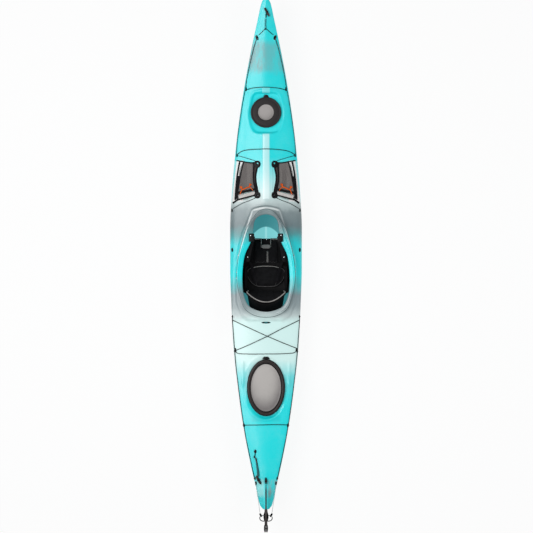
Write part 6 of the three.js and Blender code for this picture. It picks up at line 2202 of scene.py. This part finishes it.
    def bow(self) -> None:
        """The bow's yoke and strand with their knot, and the toggle with its cord."""
        yoke = ((1.826, 0.060), (1.845, 0.036), (1.873, 0.004), (1.845, -0.036), (1.826, -0.060))
        self.line("bow_yoke_cord", yoke, 0.0026, Palette.BUNGEE, ["bow_bungee"])
        for name, shift in (("bow_strand_port", 0.0042), ("bow_strand_starboard", -0.0042)):
            route = [(x, y + shift) for x, y in ((1.878, 0.003), (1.920, 0.004), (1.958, 0.002))]
            self.line(name, route, 0.0021, Palette.STRAND, ["bow_bungee"])
        spot = self.over(1.874, 0.004, 0.0052)
        knot = self.knot(spot, 0.0062)
        self.shop.keep(knot, "bow_knot", Palette.BUNGEE, "root", ["bow_bungee"])
        grip = Vector((2.010, -0.008, 0.3945))
        self.toggle("bow_toggle_bar", grip, 0.084, 0.49, 0.0104, "bow_handle", ["bow_toggle"])
        self.bow_cord()

    @staticmethod
    def knot(centre: Vector, size: float) -> bpy.types.Object:
        """A small overhand knot: a wound loop that passes over and under itself.

        Args:
            centre: the knot's middle.
            size: its half width.

        Returns:
            The knot.
        """
        turns = circle(60)
        loop = [
            centre + Vector((
                (math.sin(a) + 2 * math.sin(2 * a)) * size / 3,
                (math.cos(a) - 2 * math.cos(2 * a)) * size / 3,
                -math.sin(3 * a) * size * 0.35,
            ))
            for a in turns
        ]
        return Bench.tube(loop, size * 0.36, 8, closed=True)

    def toggle(self, name: str, middle: Vector, length: float, turn: float, radius: float, body: str,
               replaces: Sequence[str]) -> None:
        """A grip bar, thick in the middle and slim at its rounded ends.

        Args:
            name: the bar's name.
            middle: its middle.
            length: its length.
            turn: how its port end leans back from straight ahead.
            radius: its radius at the middle.
            body: what it rides on.
            replaces: the CAD nodes that it stands for.
        """
        ahead = Vector((math.cos(turn), math.sin(turn), 0))
        points = [middle + ahead * (length * (k / 32 - 0.5)) for k in range(33)]

        def girth(share: float) -> float:
            """Radius at a share of the bar's length."""
            tip = math.sqrt(max(0.0, 1 - abs(2 * share - 1) ** 7))
            swell = 0.74 + 0.26 * math.cos((2 * share - 1) * math.pi / 2) ** 0.8
            collar = 0.10 * math.exp(-((abs(2 * share - 1) - 0.34) / 0.05) ** 2)
            return max(0.0006, radius * (swell - collar) * tip)

        piece = Bench.tube(points, girth, 20)
        self.shop.keep(piece, name, Palette.TOGGLE, body, replaces)
        ring = Bench.tube(
            [middle + ahead * (0.006 * s) for s in (-1, -0.6, 0, 0.6, 1)], radius * 1.04, 18,
        )
        self.shop.keep(ring, name + "_band", Palette.BLACK_PLASTIC, body)

    def bow_cord(self) -> None:
        """The strap that ties the toggle to the bow."""
        points = even_path([
            self.over(1.966, 0.001, 0.0034), self.over(1.980, 0.000, 0.0058), Vector((1.996, -0.003, 0.3920)),
            Vector((2.008, -0.006, 0.3960)),
        ], 26)
        piece = Bench.tube(points, 0.0042, 8, flat=0.55)
        self.shop.keep(piece, "bow_handle_cord", Palette.WEBBING, None, ["bow_toggle_cord"])
        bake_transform(piece)
        self.declare(piece, points, 0.0031)


@dataclass
class Pockets:
    """The two mesh deck pockets with their straps, rings and orange cords."""

    form: HullForm
    shop: Workshop
    rigging: Rigging
    panel_lift: float = 0.0012
    strap_lift: float = 0.0030

    def build(self) -> None:
        """Makes both pockets."""
        for side, name in SIDES:
            self.panel(side, name)
            self.straps(side, name)
            self.rings(side, name)
            self.cords(side, name)

    def panel(self, side: int, name: str) -> None:
        """The stretched mesh over the tray, thin and softly wrinkled.

        Args:
            side: 1 for port, -1 for starboard.
            name: the side's name.
        """
        rows, columns = 46, 30
        outer = even_path([Vector((x, y, 0)) for x, y in (
            (0.768, 0.186), (0.700, 0.204), (0.625, 0.219), (0.540, 0.232), (0.500, 0.238))], rows)
        inner = plan_path(((0.768, 0.106), (0.640, 0.102), (0.530, 0.098)), rows)
        top, under = [], []
        for k in range(rows):
            plan, lifts = [], []
            for j in range(columns):
                share = j / (columns - 1)
                spot = inner[k].lerp(outer[k], share)
                edge = min(share, 1 - share) * 2
                ease = math.sin(math.pi * k / (rows - 1))
                fine = math.sin(share * 31 + 1.8 * math.sin(k * 0.23)) * 0.0011
                fold = fine + math.sin(share * 13 + k * 0.11) * 0.0012
                sag = -0.007 * ease * edge ** 0.6 + fold * ease * min(1.0, edge * 3)
                plan.append((spot.x, side * spot.y))
                lifts.append(self.panel_lift + sag)
            upper = self.form.draped(plan, lifts, sinks=False)
            top.append(upper)
            under.append([p - Vector((0, 0, 0.0012)) for p in reversed(upper)])
        piece = Bench.lofted([a + b for a, b in zip(top, under)])
        self.shop.keep(piece, f"{name}_mesh_panel", Palette.POCKET_MESH, "root", [f"{name}_pocket_panel"], 60)

    def strap(self, name: str, side: int, route: Plan, width: float, finish: Palette,
              replaces: Sequence[str] = (), lift: float = 0.0, thick: float = 0.0018) -> None:
        """A flat webbing strap over the deck.

        Args:
            name: the strap's name.
            side: 1 for port, -1 for starboard.
            route: places in the port half's plan.
            width: its width.
            finish: what it is made of.
            replaces: the CAD nodes that it stands for.
            lift: added to the common height.
            thick: its thickness.
        """
        flat = even_path([Vector((x, y, 0)) for x, y in route], max(10, int(path_length(
            [Vector((x, y, 0)) for x, y in route]) / 0.010)))
        rings = []
        for k, spot in enumerate(flat):
            before, after = flat[max(0, k - 1)], flat[min(len(flat) - 1, k + 1)]
            ahead = (after - before).normalized()
            square = Vector((-ahead.y, ahead.x, 0))
            places = [spot + square * (share * width) for share in (-0.5, -0.46, -0.16, 0.16, 0.46, 0.5)]
            plan = [(p.x, side * p.y) for p in places]
            base = self.strap_lift + lift
            heights = [base + thick * edge for edge in (0.4, 1, 1, 1, 1, 0.4)]
            high = self.form.draped(plan, heights, sinks=False)
            low = self.form.draped(plan, base, sinks=False)
            rings.append(high + low[::-1])
        piece = Bench.lofted(rings)
        self.shop.keep(piece, name, finish, "root", replaces, 60)

    def straps(self, side: int, name: str) -> None:
        """The webbing round and across one pocket.

        Args:
            side: 1 for port, -1 for starboard.
            name: the side's name.
        """
        frame = [f"{name}_pocket_frame"]
        strap = self.strap
        black = Palette.WEBBING
        strap(f"{name}_top_strap", side, (
            (0.786, 0.246), (0.776, 0.196), (0.765, 0.143), (0.762, 0.109), (0.766, 0.088)),
            0.010, black, frame)
        strap(f"{name}_outer_strap", side, (
            (0.774, 0.219), (0.720, 0.230), (0.665, 0.239), (0.564, 0.250), (0.456, 0.257)), 0.013, black)
        strap(f"{name}_edge_binding", side, (
            (0.772, 0.187), (0.700, 0.205), (0.622, 0.220), (0.540, 0.233), (0.508, 0.240)), 0.010, black)
        strap(f"{name}_inner_strap", side, (
            (0.768, 0.104), (0.727, 0.101), (0.655, 0.104), (0.583, 0.098), (0.535, 0.082)), 0.013, black)
        strap(f"{name}_brown_strap", side, (
            (0.755, 0.090), (0.689, 0.091), (0.655, 0.095), (0.603, 0.092), (0.540, 0.078)), 0.020,
              Palette.BROWN_WEB, lift=-0.0012)
        strap(f"{name}_centre_strap", side, (
            (0.735, 0.070), (0.689, 0.080), (0.655, 0.086), (0.603, 0.084), (0.545, 0.073),
            (0.505, 0.066)), 0.014,
              black)
        strap(f"{name}_hook_base", side,
              ((0.590, 0.089), (0.530, 0.082), (0.478, 0.082)), 0.028, black, lift=-0.0006)
        strap(f"{name}_outer_web", side, ((0.655, 0.232), (0.560, 0.242), (0.462, 0.250)), 0.026, black,
              lift=-0.0014)
        strap(f"{name}_cross_band", side,
              ((0.540, 0.098), (0.527, 0.160), (0.514, 0.240)), 0.020, black, lift=0.0008)
        strap(f"{name}_pale_strip", side, ((0.511, 0.092), (0.494, 0.160), (0.478, 0.226)), 0.027,
              Palette.PALE_STRIP, lift=0.0004)
        strap(f"{name}_lower_strap", side, (
            (0.428, 0.276), (0.451, 0.244), (0.475, 0.167), (0.487, 0.119), (0.491, 0.090)), 0.014, black,
            lift=0.0002)

    def rings(self, side: int, name: str) -> None:
        """The two hook rings on the centreline's side.

        Args:
            side: 1 for port, -1 for starboard.
            name: the side's name.
        """
        for index, (x, y, along, across, eye_x, eye_y) in enumerate((
            (0.750, 0.0725, 0.0300, 0.0270, 0.758, 0.0685), (0.492, 0.0715, 0.0275, 0.0260, 0.490, 0.0710),
        )):
            rings = []
            for k in range(48):
                turn = math.tau * k / 48
                c, s = math.cos(turn), math.sin(turn)
                square = (abs(c) ** 2.4 + abs(s) ** 2.4) ** (-1 / 2.4)
                far = Vector((x + along * c * square, side * (y + across * s * square)))
                near = Vector((eye_x + 0.0066 * c, side * (eye_y + 0.0066 * s)))
                shares = (0.0, 0.0, 0.10, 0.30, 0.55, 0.80, 0.95, 1.0, 1.0)
                lifts = (0.0035, 0.0056, 0.0070, 0.0078, 0.0074, 0.0064, 0.0054, 0.0044, 0.0035)
                plan = [tuple(near.lerp(far, share)) for share in shares]
                rings.append(self.form.draped(plan, lifts, sinks=False))
            ring = Bench.lofted(rings, looped=True, capped=False)
            self.shop.keep(ring, f"{name}_hook_ring_{index}", Palette.BLACK_PLASTIC)

    def cord(self, name: str, side: int, route: Plan, radius: float, finish: Palette, replaces: Sequence[str],
             lift: float, far_end: str = "object") -> None:
        """A short cord over the pocket.

        Args:
            name: the cord's name.
            side: 1 for port, -1 for starboard.
            route: places in the port half's plan.
            radius: its radius.
            finish: what it is made of.
            replaces: the CAD nodes that it stands for.
            lift: height of its centreline over the deck.
            far_end: what its far end is.
        """
        flat = even_path([Vector((x, y, 0)) for x, y in route], 44)
        points = self.form.draped([(p.x, side * p.y) for p in flat], lift, sinks=False)
        piece = Bench.tube(points, radius, 8)
        self.shop.keep(piece, name, finish, "root", replaces)
        Rigging.declare(piece, points, radius, far_end=far_end)

    def cords(self, side: int, name: str) -> None:
        """The cord to the rear fitting and the orange pull with its tails.

        Args:
            side: 1 for port, -1 for starboard.
            name: the side's name.
        """
        rear = ((0.474, 0.074), (0.446, 0.140), (0.424, 0.200), (0.384, 0.272))
        self.cord(f"{name}_rear_tie", side, rear, 0.0024, Palette.BUNGEE, [f"{name}_pocket_cord"], 0.0036)
        front = ((0.826, 0.236), (0.806, 0.170), (0.786, 0.110), (0.776, 0.086))
        self.cord(f"{name}_front_tie", side, front, 0.0022, Palette.BUNGEE, (), 0.0034)
        pull = (
            (0.560, 0.206), (0.548, 0.200), (0.541, 0.190), (0.549, 0.172), (0.557, 0.152), (0.562, 0.138),
            (0.572, 0.132), (0.580, 0.129),
        )
        node = [f"{name}_pocket_pull"]
        self.cord(f"{name}_orange_pull", side, pull, 0.0050, Palette.ORANGE_CORD, node, 0.0072)
        inner = ((0.560, 0.134), (0.550, 0.122), (0.540, 0.113), (0.531, 0.108))
        self.cord(f"{name}_orange_inner_tail", side, inner, 0.0033, Palette.ORANGE_CORD, (), 0.0080, "bare")
        outer = ((0.541, 0.196), (0.524, 0.206), (0.508, 0.211), (0.500, 0.214))
        self.cord(f"{name}_orange_outer_tail", side, outer, 0.0037, Palette.ORANGE_CORD, (), 0.0080, "bare")
        for index, (x, y) in enumerate(((0.560, 0.206), (0.580, 0.129))):
            knot = Rigging.knot(self.rigging.over(x, side * y, 0.0080), 0.0090)
            self.shop.keep(knot, f"{name}_orange_knot_{index}", Palette.ORANGE_CORD)


@dataclass
class Stern:
    """The rudder, its bracket, yoke and chock, the steering cables, and the stern toggle."""

    form: HullForm
    shop: Workshop
    rigging: Rigging
    steer_x: float = -2.160
    arm_x: float = -2.186
    pivot_x: float = -2.286
    pivot_z: float = 0.352

    def build(self) -> None:
        """Makes all of it."""
        self.bracket()
        self.yoke()
        self.blade()
        self.chock()
        for side, name in SIDES:
            self.cable(side, name)
            self.guide(side, name)
        self.toggle()

    @staticmethod
    def box(low: Point, high: Point, bevel: float) -> bpy.types.Object:
        """A block with rounded edges.

        Args:
            low: its low corner.
            high: its high corner.
            bevel: the edges' radius.

        Returns:
            The block.
        """
        Bench.clear()
        middle = [(a + b) / 2 for a, b in zip(low, high)]
        bpy.ops.mesh.primitive_cube_add(size=1, location=middle, scale=[b - a for a, b in zip(low, high)])
        piece = Bench.settled(bpy.context.object)
        return Bench.modified(piece, "BEVEL", width=bevel, segments=3, limit_method="ANGLE")

    @staticmethod
    def side_plate(outline: Sequence[tuple[float, float]], low: float, high: float,
                   bevel: float) -> bpy.types.Object:
        """A plate in the boat's side view.

        Args:
            outline: places along and heights.
            low: its starboard face.
            high: its port face.
            bevel: the edges' radius.

        Returns:
            The plate.
        """
        piece = Bench.lofted([[Vector((x, y, z)) for x, z in outline] for y in (low, high)])
        return Bench.modified(piece, "BEVEL", width=bevel, segments=2, limit_method="ANGLE")

    def pin(self, name: str, middle: Vector, axis: str, radius: float, length: float, body: str,
            replaces: Sequence[str] = (), finish: Palette = Palette.STEEL) -> None:
        """A steel pin or bolt with domed heads.

        Args:
            name: its name.
            middle: its middle.
            axis: "Y" or "Z".
            radius: its shank's radius.
            length: its length over the heads.
            body: what it rides on.
            replaces: the CAD nodes that it stands for.
            finish: what it is made of.
        """
        head = radius * 1.7
        half = length / 2
        profile = (
            (0, -half), (head * 0.7, -half + 0.0004), (head, -half + 0.0016), (head, -half + 0.0030),
            (radius, -half + 0.0032), (radius, half - 0.0032), (head, half - 0.0030), (head, half - 0.0016),
            (head * 0.7, half - 0.0004), (0, half),
        )
        piece = Bench.lathed(profile, (0, 0, 0), 20)
        if axis == "Y":
            piece.rotation_euler = (math.pi / 2, 0, 0)
        piece.location = middle
        self.shop.keep(piece, name, finish, body, replaces, 35)

    def bracket(self) -> None:
        """The stern bracket: a plate on the hull and a barrel round the steering pin."""
        plate = self.box((-2.1500, -0.0110, 0.238), (-2.1353, 0.0110, 0.331), 0.003)
        barrel = Bench.lathed((
            (0, 0.238), (0.0118, 0.238), (0.0130, 0.2395), (0.0130, 0.2835), (0.0118, 0.2850), (0, 0.2850),
        ), (self.steer_x, 0, 0), 32)
        cap = Bench.lathed((
            (0, 0.3200), (0.0122, 0.3200), (0.0130, 0.3215), (0.0130, 0.3290), (0.0112, 0.3308),
            (0, 0.3312),
        ), (self.steer_x, 0, 0), 32)
        shank = Bench.lathed(
            ((0, 0.284), (0.0048, 0.284), (0.0048, 0.3215), (0, 0.3215)), (self.steer_x, 0, 0), 20)
        piece = Bench.joined([plate, barrel, cap, shank])
        self.shop.keep(piece, "stern_bracket", Palette.BLACK_PLASTIC, "root", ["rudder_bracket"])
        for index, z in enumerate((0.252, 0.300)):
            self.pin(f"bracket_bolt_{index}", Vector((-2.1440, 0, z)), "Y", 0.0024, 0.0262, "root")

    def yoke(self) -> None:
        """The steering head with its ears, rods and arcs, and the cheeks that hold the blade."""
        side = [(self.steer_x + 0.0132 * math.cos(a), 0.0132 * math.sin(a)) for a in (
            math.radians(d) for d in (-60, -30, 0, 30, 60))]
        outline = side + [
            (-2.168, 0.0165), (-2.186, 0.0215), (-2.206, 0.0212), (-2.226, 0.0165), (-2.233, 0.0125)]
        outline += [(x, -y) for x, y in reversed(outline[5:])]
        head = Bench.lofted([[Vector((x, y, z)) for x, y in outline] for z in (0.2866, 0.3178)])
        head = Bench.modified(head, "BEVEL", width=0.003, segments=3, limit_method="ANGLE")
        neck = self.side_plate((
            (-2.228, 0.287), (-2.228, 0.3178), (-2.257, 0.3285), (-2.268, 0.3285), (-2.268, 0.308),
            (-2.262, 0.287),
        ), -0.0115, 0.0115, 0.002)
        parts = [head, neck]
        for sign in (1, -1):
            parts.append(self.cheek(sign))
        piece = Bench.joined(parts)
        self.shop.keep(piece, "rudder_yoke_head", Palette.YOKE_GREY, "rudder_head", ["rudder_yoke"], 45)
        for sign, name in SIDES:
            self.arm(sign, name)
        pivot = Vector((self.pivot_x, 0, self.pivot_z))
        self.pin("rudder_pivot_bolt", pivot, "Y", 0.0038, 0.0326, "rudder_head", ["rudder_blade_pin"])

    def cheek(self, sign: int) -> bpy.types.Object:
        """One dished cheek beside the blade's root.

        Args:
            sign: 1 for port, -1 for starboard.

        Returns:
            The cheek.
        """
        rings = []
        near, far = 0.0053, 0.0178
        for step in range(9):
            angle = math.pi / 2 * step / 8
            wide = 0.035 * max(0.03, math.cos(angle)) if step else 0.035
            depth = near + 0.0015 + (far - near - 0.0015) * math.sin(angle)
            if step == 0:
                rings.append([Vector((self.pivot_x + 0.035 * math.cos(a), sign * near, self.pivot_z
                                      + 0.035 * math.sin(a))) for a in circle(40)])
            rings.append([
                Vector((self.pivot_x + wide * math.cos(a), sign * depth, self.pivot_z + wide * math.sin(a)))
                for a in circle(40)
            ])
        return Bench.lofted(rings)

    def arm(self, sign: int, name: str) -> None:
        """One steering rod with its slanted ear and the thin grey arc behind it.

        Args:
            sign: 1 for port, -1 for starboard.
            name: the side's name.
        """
        z = 0.302
        rod = [Vector((self.arm_x, sign * y, z)) for y in (0.020, 0.028, 0.036, 0.045)]
        self.shop.keep(Bench.tube(rod, 0.0030, 10), f"{name}_steer_rod", Palette.ALLOY, "rudder_head")
        start, end = Vector((-2.1690, sign * 0.0530, z)), Vector((-2.2000, sign * 0.0350, z))
        ahead = (end - start).normalized()
        square = Vector((-ahead.y, ahead.x, 0))
        rings = []
        for share in (0.0, 0.08, 0.3, 0.6, 0.88, 1.0):
            swell = math.sqrt(max(0.03, 1 - abs(2 * share - 1) ** 3))
            middle = start.lerp(end, share)
            rings.append([
                middle + square * (0.0086 * math.cos(a) * swell)
                + Vector((0, 0, 0.0105 * math.sin(a) * swell))
                for a in circle(16)
            ])
        self.shop.keep(Bench.lofted(rings), f"{name}_steer_ear", Palette.BLACK_PLASTIC, "rudder_head")
        arc = even_path([
            Vector((-2.196, sign * 0.0500, z)), Vector((-2.212, sign * 0.0520, z)),
            Vector((-2.226, sign * 0.0450, z)), Vector((-2.233, sign * 0.0320, z)),
            Vector((-2.2345, sign * 0.0120, z)),
        ], 24)
        spring = Bench.tube(arc, 0.0037, 10)
        self.shop.keep(spring, f"{name}_return_spring", Palette.BLACK_PLASTIC, "rudder_head")

    def blade(self) -> None:
        """The folded blade: a lens section that tapers from its root disc to a rounded tip."""
        tip_x, root_x = -1.9145, -2.262
        rings = []
        for k in range(61):
            share = k / 60
            x = mix(root_x, tip_x, share)
            top = mix(0.377, 0.4185, min(1.0, share / 0.42)) - 0.010 * soft_step(0.72, 1.0, share)
            low = mix(0.331, 0.3365, min(1.0, share / 0.42)) + 0.052 * soft_step(0.80, 1.0, share) ** 1.4
            half = 0.0062 * (1 - 0.55 * soft_step(0.82, 1.0, share))
            tip = math.sqrt(max(0.0, 1 - 0.995 * (max(0.0, share - 0.93) / 0.07) ** 2))
            middle = (top + low) / 2
            top, low = mix(middle, top, tip), mix(middle, low, tip)
            ring = []
            for j in range(20):
                turn = math.tau * j / 20
                up = (top + low) / 2 + (top - low) / 2 * math.sin(turn)
                ring.append(Vector((x, half * math.copysign(abs(math.cos(turn)) ** 0.7, math.cos(turn)), up)))
            rings.append(ring)
        plate = Bench.lofted(rings)
        disc = Bench.lathed((
            (0, -0.0043), (0.0265, -0.0043), (0.0288, -0.0030), (0.0288, 0.0030), (0.0265, 0.0043),
            (0, 0.0043),
        ), (0, 0, 0), 40)
        disc.rotation_euler = (math.pi / 2, 0, 0)
        disc.location = (self.pivot_x, 0, self.pivot_z)
        Bench.settled(disc)
        self.shop.keep(Bench.joined([plate, disc]), "rudder_blade_foil", Palette.BLADE_PLASTIC, "blade",
                       ["rudder_blade"])

    def chock(self) -> None:
        """The pointed deck chock that the folded blade rests in."""
        rings = []
        for share in (0.0, 0.06, 0.2, 0.4, 0.6, 0.8, 0.94, 1.0):
            x = mix(-1.8685, -1.9245, share)
            swell = math.sin(math.pi * min(0.97, max(0.03, share))) ** 0.6
            wide = 0.0118 * swell
            foot = self.form.deck(x, 0) - 0.003
            high = mix(0.306, 0.3345, swell)
            rings.append([
                Vector((x, wide * a, z)) for a, z in (
                    (-1, foot), (-1, foot + 0.008), (-0.62, high - 0.004), (-0.35, high),
                    (0, high - 0.0045 * swell), (0.35, high), (0.62, high - 0.004),
                    (1, foot + 0.008), (1, foot),
                )
            ])
        self.shop.keep(Bench.lofted(rings), "blade_chock", Palette.CHOCK, "root", ["rudder_chock"], 50)

    def cable(self, side: int, name: str) -> None:
        """A steering cable from its deck guide to the yoke's ear.

        Args:
            side: 1 for port, -1 for starboard.
            name: the side's name.
        """
        points = even_path([
            Vector((-1.934, side * 0.0840, 0.2955)), Vector((-2.010, side * 0.0735, 0.2985)),
            Vector((-2.100, side * 0.0600, 0.3010)), Vector((-2.1815, side * 0.0470, 0.3020)),
        ], 40)
        piece = Bench.tube(points, 0.0016, 8)
        self.shop.keep(piece, f"{name}_rudder_cable", Palette.STEEL, None, [f"{name}_steering_cable"])
        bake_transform(piece)
        Rigging.declare(piece, points, 0.0016, stiffness="stiff")

    def guide(self, side: int, name: str) -> None:
        """The small moulded guide that a cable comes out of the hull through."""
        points = [self.form.on_deck(-1.908, side * 0.0845, 0.001),
                  self.form.on_deck(-1.921, side * 0.084, 0.0035),
                  Vector((-1.934, side * 0.0840, 0.2955))]
        body = Bench.tube(even_path(points, 16), lambda share: 0.0062 - 0.0022 * share, 14, flat=0.8)
        self.shop.keep(body, f"{name}_cable_guide", Palette.BLACK_PLASTIC)

    def toggle(self) -> None:
        """The stern's grip with its sleeve, knot and see-through strap."""
        rig = self.rigging
        rig.hook("stern_strap_fitting", -1.654, 0.0895, 1.3, ["stern_toggle_fitting"])
        strand = even_path([rig.over(x, y, 0.0048) for x, y in (
            (-1.668, 0.0895), (-1.690, 0.0930), (-1.703, 0.0958))], 20)
        sleeve = even_path([rig.over(x, y, 0.0060) for x, y in (
            (-1.706, 0.0850), (-1.728, 0.0800), (-1.748, 0.0765))], 16)
        strap = even_path([rig.over(x, y, 0.0050) for x, y in (
            (-1.748, 0.0760), (-1.790, 0.0700), (-1.830, 0.0640), (-1.862, 0.0640))], 36)
        for name, points, radius, finish, flat in (
            ("stern_toggle_cord", strand, 0.0036, Palette.BUNGEE, 1.0),
            ("stern_toggle_sleeve", sleeve, 0.0062, Palette.TOGGLE, 0.8),
            ("stern_toggle_band", strap, lambda share: 0.0078 + 0.0034 * share, Palette.STRAND, 0.24),
        ):
            piece = Bench.tube(points, radius, 12, flat=flat)
            nodes = ["stern_toggle_strap"] if name == "stern_toggle_band" else []
            self.shop.keep(piece, name, finish, "stern_handle", nodes)
        knot = rig.knot(rig.over(-1.700, 0.0950, 0.0070), 0.0070)
        self.shop.keep(knot, "stern_toggle_knot", Palette.BUNGEE, "stern_handle")
        rig.toggle("stern_toggle_bar", Vector((-1.889, 0.0625, 0.3056)), 0.083, 0.507, 0.0122, "stern_handle",
                   ["stern_toggle"])
        for side, name in SIDES:
            rig.eye(f"{name}_stern_eye", -1.917, 0.084 * side, 0.16 * side, 1.05)


@dataclass
class Fittings:
    """Small parts round the cockpit: oval fittings, the rear eyelet and the coaming's screws."""

    shop: Workshop
    rigging: Rigging

    def build(self) -> None:
        """Makes them all."""
        for side, name in SIDES:
            oval = Bench.lathed((
                (0, -0.002), (0.0106, -0.002), (0.0108, 0.0012), (0.0094, 0.0034), (0.0068, 0.0042),
                (0.0058, 0.0028), (0, 0.0026),
            ), (0, 0, 0), 28, (1.65, 0.95))
            self.rigging.seat(oval, 0.036, side * 0.2835, 0.0)
            nodes = [f"{name}_side_fitting"]
            self.shop.keep(oval, f"{name}_oval_fitting", Palette.BLACK_PLASTIC, "root", nodes)
        self.eyelet()
        places = (
            (-0.010, 0.231), (-0.152, 0.248), (-0.200, 0.248), (-0.010, -0.231), (-0.103, -0.245),
            (-0.145, -0.245),
            (-0.194, -0.245),
        )
        for index, (x, y) in enumerate(places):
            screw = Bench.lathed((
                (0, -0.001), (0.0062, -0.001), (0.0062, 0.0008), (0.0052, 0.0021), (0.0030, 0.0029),
                (0, 0.0031),
            ), (0, 0, 0), 16)
            self.rigging.seat(screw, x, y, 0.0)
            self.shop.keep(screw, f"coaming_screw_{index}", Palette.STEEL)

    def eyelet(self) -> None:
        """The low plate behind the cockpit with two black discs of painted shade where its two holes are."""
        plate = Bench.lathed((
            (0, -0.002), (0.0082, -0.002), (0.0082, 0.0012), (0.0070, 0.0026), (0.0048, 0.0034),
            (0, 0.0036),
        ), (0, 0, 0), 48, (1.0, 4.7))
        self.rigging.seat(plate, -0.574, 0.0, 0.0)
        self.shop.keep(plate, "rear_eyelet_plate", Palette.STRAND, "root", ["rear_deck_eyelet"])
        # Black discs that stand for the shade inside the plate's two holes.
        for index, y in enumerate((0.0215, -0.0215)):
            hole = Bench.lathed((
                (0, -0.002), (0.0078, -0.002), (0.0080, 0.0005), (0.0068, 0.0012), (0, 0.0008),
            ), (0, 0, 0), 20, (0.8, 1.25))
            self.rigging.seat(hole, -0.574, y, 0.0, 0.0034)
            self.shop.keep(hole, f"eyelet_hole_{index}", Palette.BLACK_PLASTIC)


@dataclass
class Studio:
    """Floor, lamps, world and the camera that looks straight down."""

    centre: Point = (-0.1034, -0.0042, 0.30)
    view_span: float = 4.461
    lens: float = 100.0
    sensor: float = 36.0
    floor_size: float = 60.0
    floor_drop: float = 0.002

    def build(self) -> None:
        """Makes the whole stage."""
        self.floor()
        self.lamps()
        self.world()
        self.camera()

    def floor(self) -> None:
        """A plain pale floor that keeps the boat's shadow."""
        bpy.ops.mesh.primitive_plane_add(size=self.floor_size, location=(0, 0, -self.floor_drop))
        plane = bpy.context.object
        plane.name = "floor"
        shader = Shader("studio_floor")
        shader.set(Base_Color=linear("F2F2F2"), Roughness=0.9)
        glow = shader.node("ShaderNodeEmission", {}, {"Color": (1.0, 1.0, 1.0), "Strength": 1.0})
        path = shader.tree.nodes.new("ShaderNodeLightPath")
        seen = Sock(shader, path.outputs["Is Camera Ray"])
        shiny = Sock(shader, path.outputs["Is Glossy Ray"])
        clear = Sock(shader, path.outputs["Is Transmission Ray"])
        share = seen.most(shiny).most(clear) * 0.9
        plain = Sock(shader, shader.surface.outputs[0])
        both = shader.node("ShaderNodeMixShader", {}, {0: share, 1: plain, 2: glow})
        shader.tree.links.new(both.socket, shader.out.inputs["Surface"])
        plane.data.materials.append(shader.material)

    def lamps(self) -> None:
        """A large key from the bow's port side, a weak fill from starboard, and a softbox to port that only
        shows in reflections.
        """
        for name, place, size, power, only_gloss in (
            ("key", (0.4, 2.6, 5.6), (5.0, 3.0), 203.0, False),
            ("fill", (-0.6, -3.4, 5.0), (5.5, 2.5), 98.0, False),
            ("softbox", (0.2, 4.6, 3.2), (6.4, 2.6), 190.0, True),
        ):
            lamp = bpy.data.lights.new(name, "AREA")
            lamp.shape = "RECTANGLE"
            lamp.size, lamp.size_y = size
            lamp.energy = power
            holder = bpy.data.objects.new(name, lamp)
            holder.location = place
            aim = Vector((0.5 * place[0], 0, 0.2)) - Vector(place)
            holder.rotation_mode = "QUATERNION"
            holder.rotation_quaternion = aim.to_track_quat("-Z", "Y")
            holder.visible_diffuse = not only_gloss
            holder.visible_glossy = name != "fill"
            bpy.context.scene.collection.objects.link(holder)

    def world(self) -> None:
        """Even pale light from all round, white where the camera sees it."""
        sky = bpy.data.worlds.new("studio")
        sky.use_nodes = True
        bpy.context.scene.world = sky
        nodes, links = sky.node_tree.nodes, sky.node_tree.links
        nodes.clear()
        out = nodes.new("ShaderNodeOutputWorld")
        mix = nodes.new("ShaderNodeMixShader")
        lit, seen = nodes.new("ShaderNodeBackground"), nodes.new("ShaderNodeBackground")
        lit.inputs["Color"].default_value = (0.93, 0.97, 1.0, 1)
        lit.inputs["Strength"].default_value = 0.37
        seen.inputs["Color"].default_value = (1, 1, 1, 1)
        path = nodes.new("ShaderNodeLightPath")
        links.new(path.outputs["Is Camera Ray"], mix.inputs[0])
        links.new(lit.outputs[0], mix.inputs[1])
        links.new(seen.outputs[0], mix.inputs[2])
        links.new(mix.outputs[0], out.inputs["Surface"])

    def camera(self) -> None:
        """The camera above the boat, bow towards the top of the picture."""
        data = bpy.data.cameras.new("camera")
        data.lens, data.sensor_width = self.lens, self.sensor
        data.clip_end = 200
        camera = bpy.data.objects.new("camera", data)
        reach = self.view_span * self.lens / self.sensor
        camera.location = (self.centre[0], self.centre[1], self.centre[2] + reach)
        camera.rotation_euler = (0, 0, -math.pi / 2)
        bpy.context.scene.collection.objects.link(camera)
        bpy.context.scene.camera = camera


def dress_frame(frame: dict) -> None:
    """Gives every CAD node the finish of its own material slot.
    """
    finishes: dict[str, Palette] = {}
    for finish in Palette:
        finishes.setdefault(finish.slot, finish)
    for part in frame["record"]["subparts"]:
        finishes[part["material_slot"]].dress(frame["nodes"][part["node"]])


def main() -> None:
    """Builds every piece round the frame."""
    logging.basicConfig(level=logging.INFO, format="%(name)s: %(message)s")
    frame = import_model()
    dress_frame(frame)
    shop = Workshop()
    form = HullForm()
    Shell(form, shop).build()
    Hatches(shop).build()
    rigging = Rigging(form, shop)
    rigging.build()
    Pockets(form, shop, rigging).build()
    Seat(shop).build()
    Stern(form, shop, rigging).build()
    Fittings(shop, rigging).build()
    Studio().build()
    bpy.context.scene.view_settings.view_transform = "Standard"


if __name__ == "__main__":
    main()
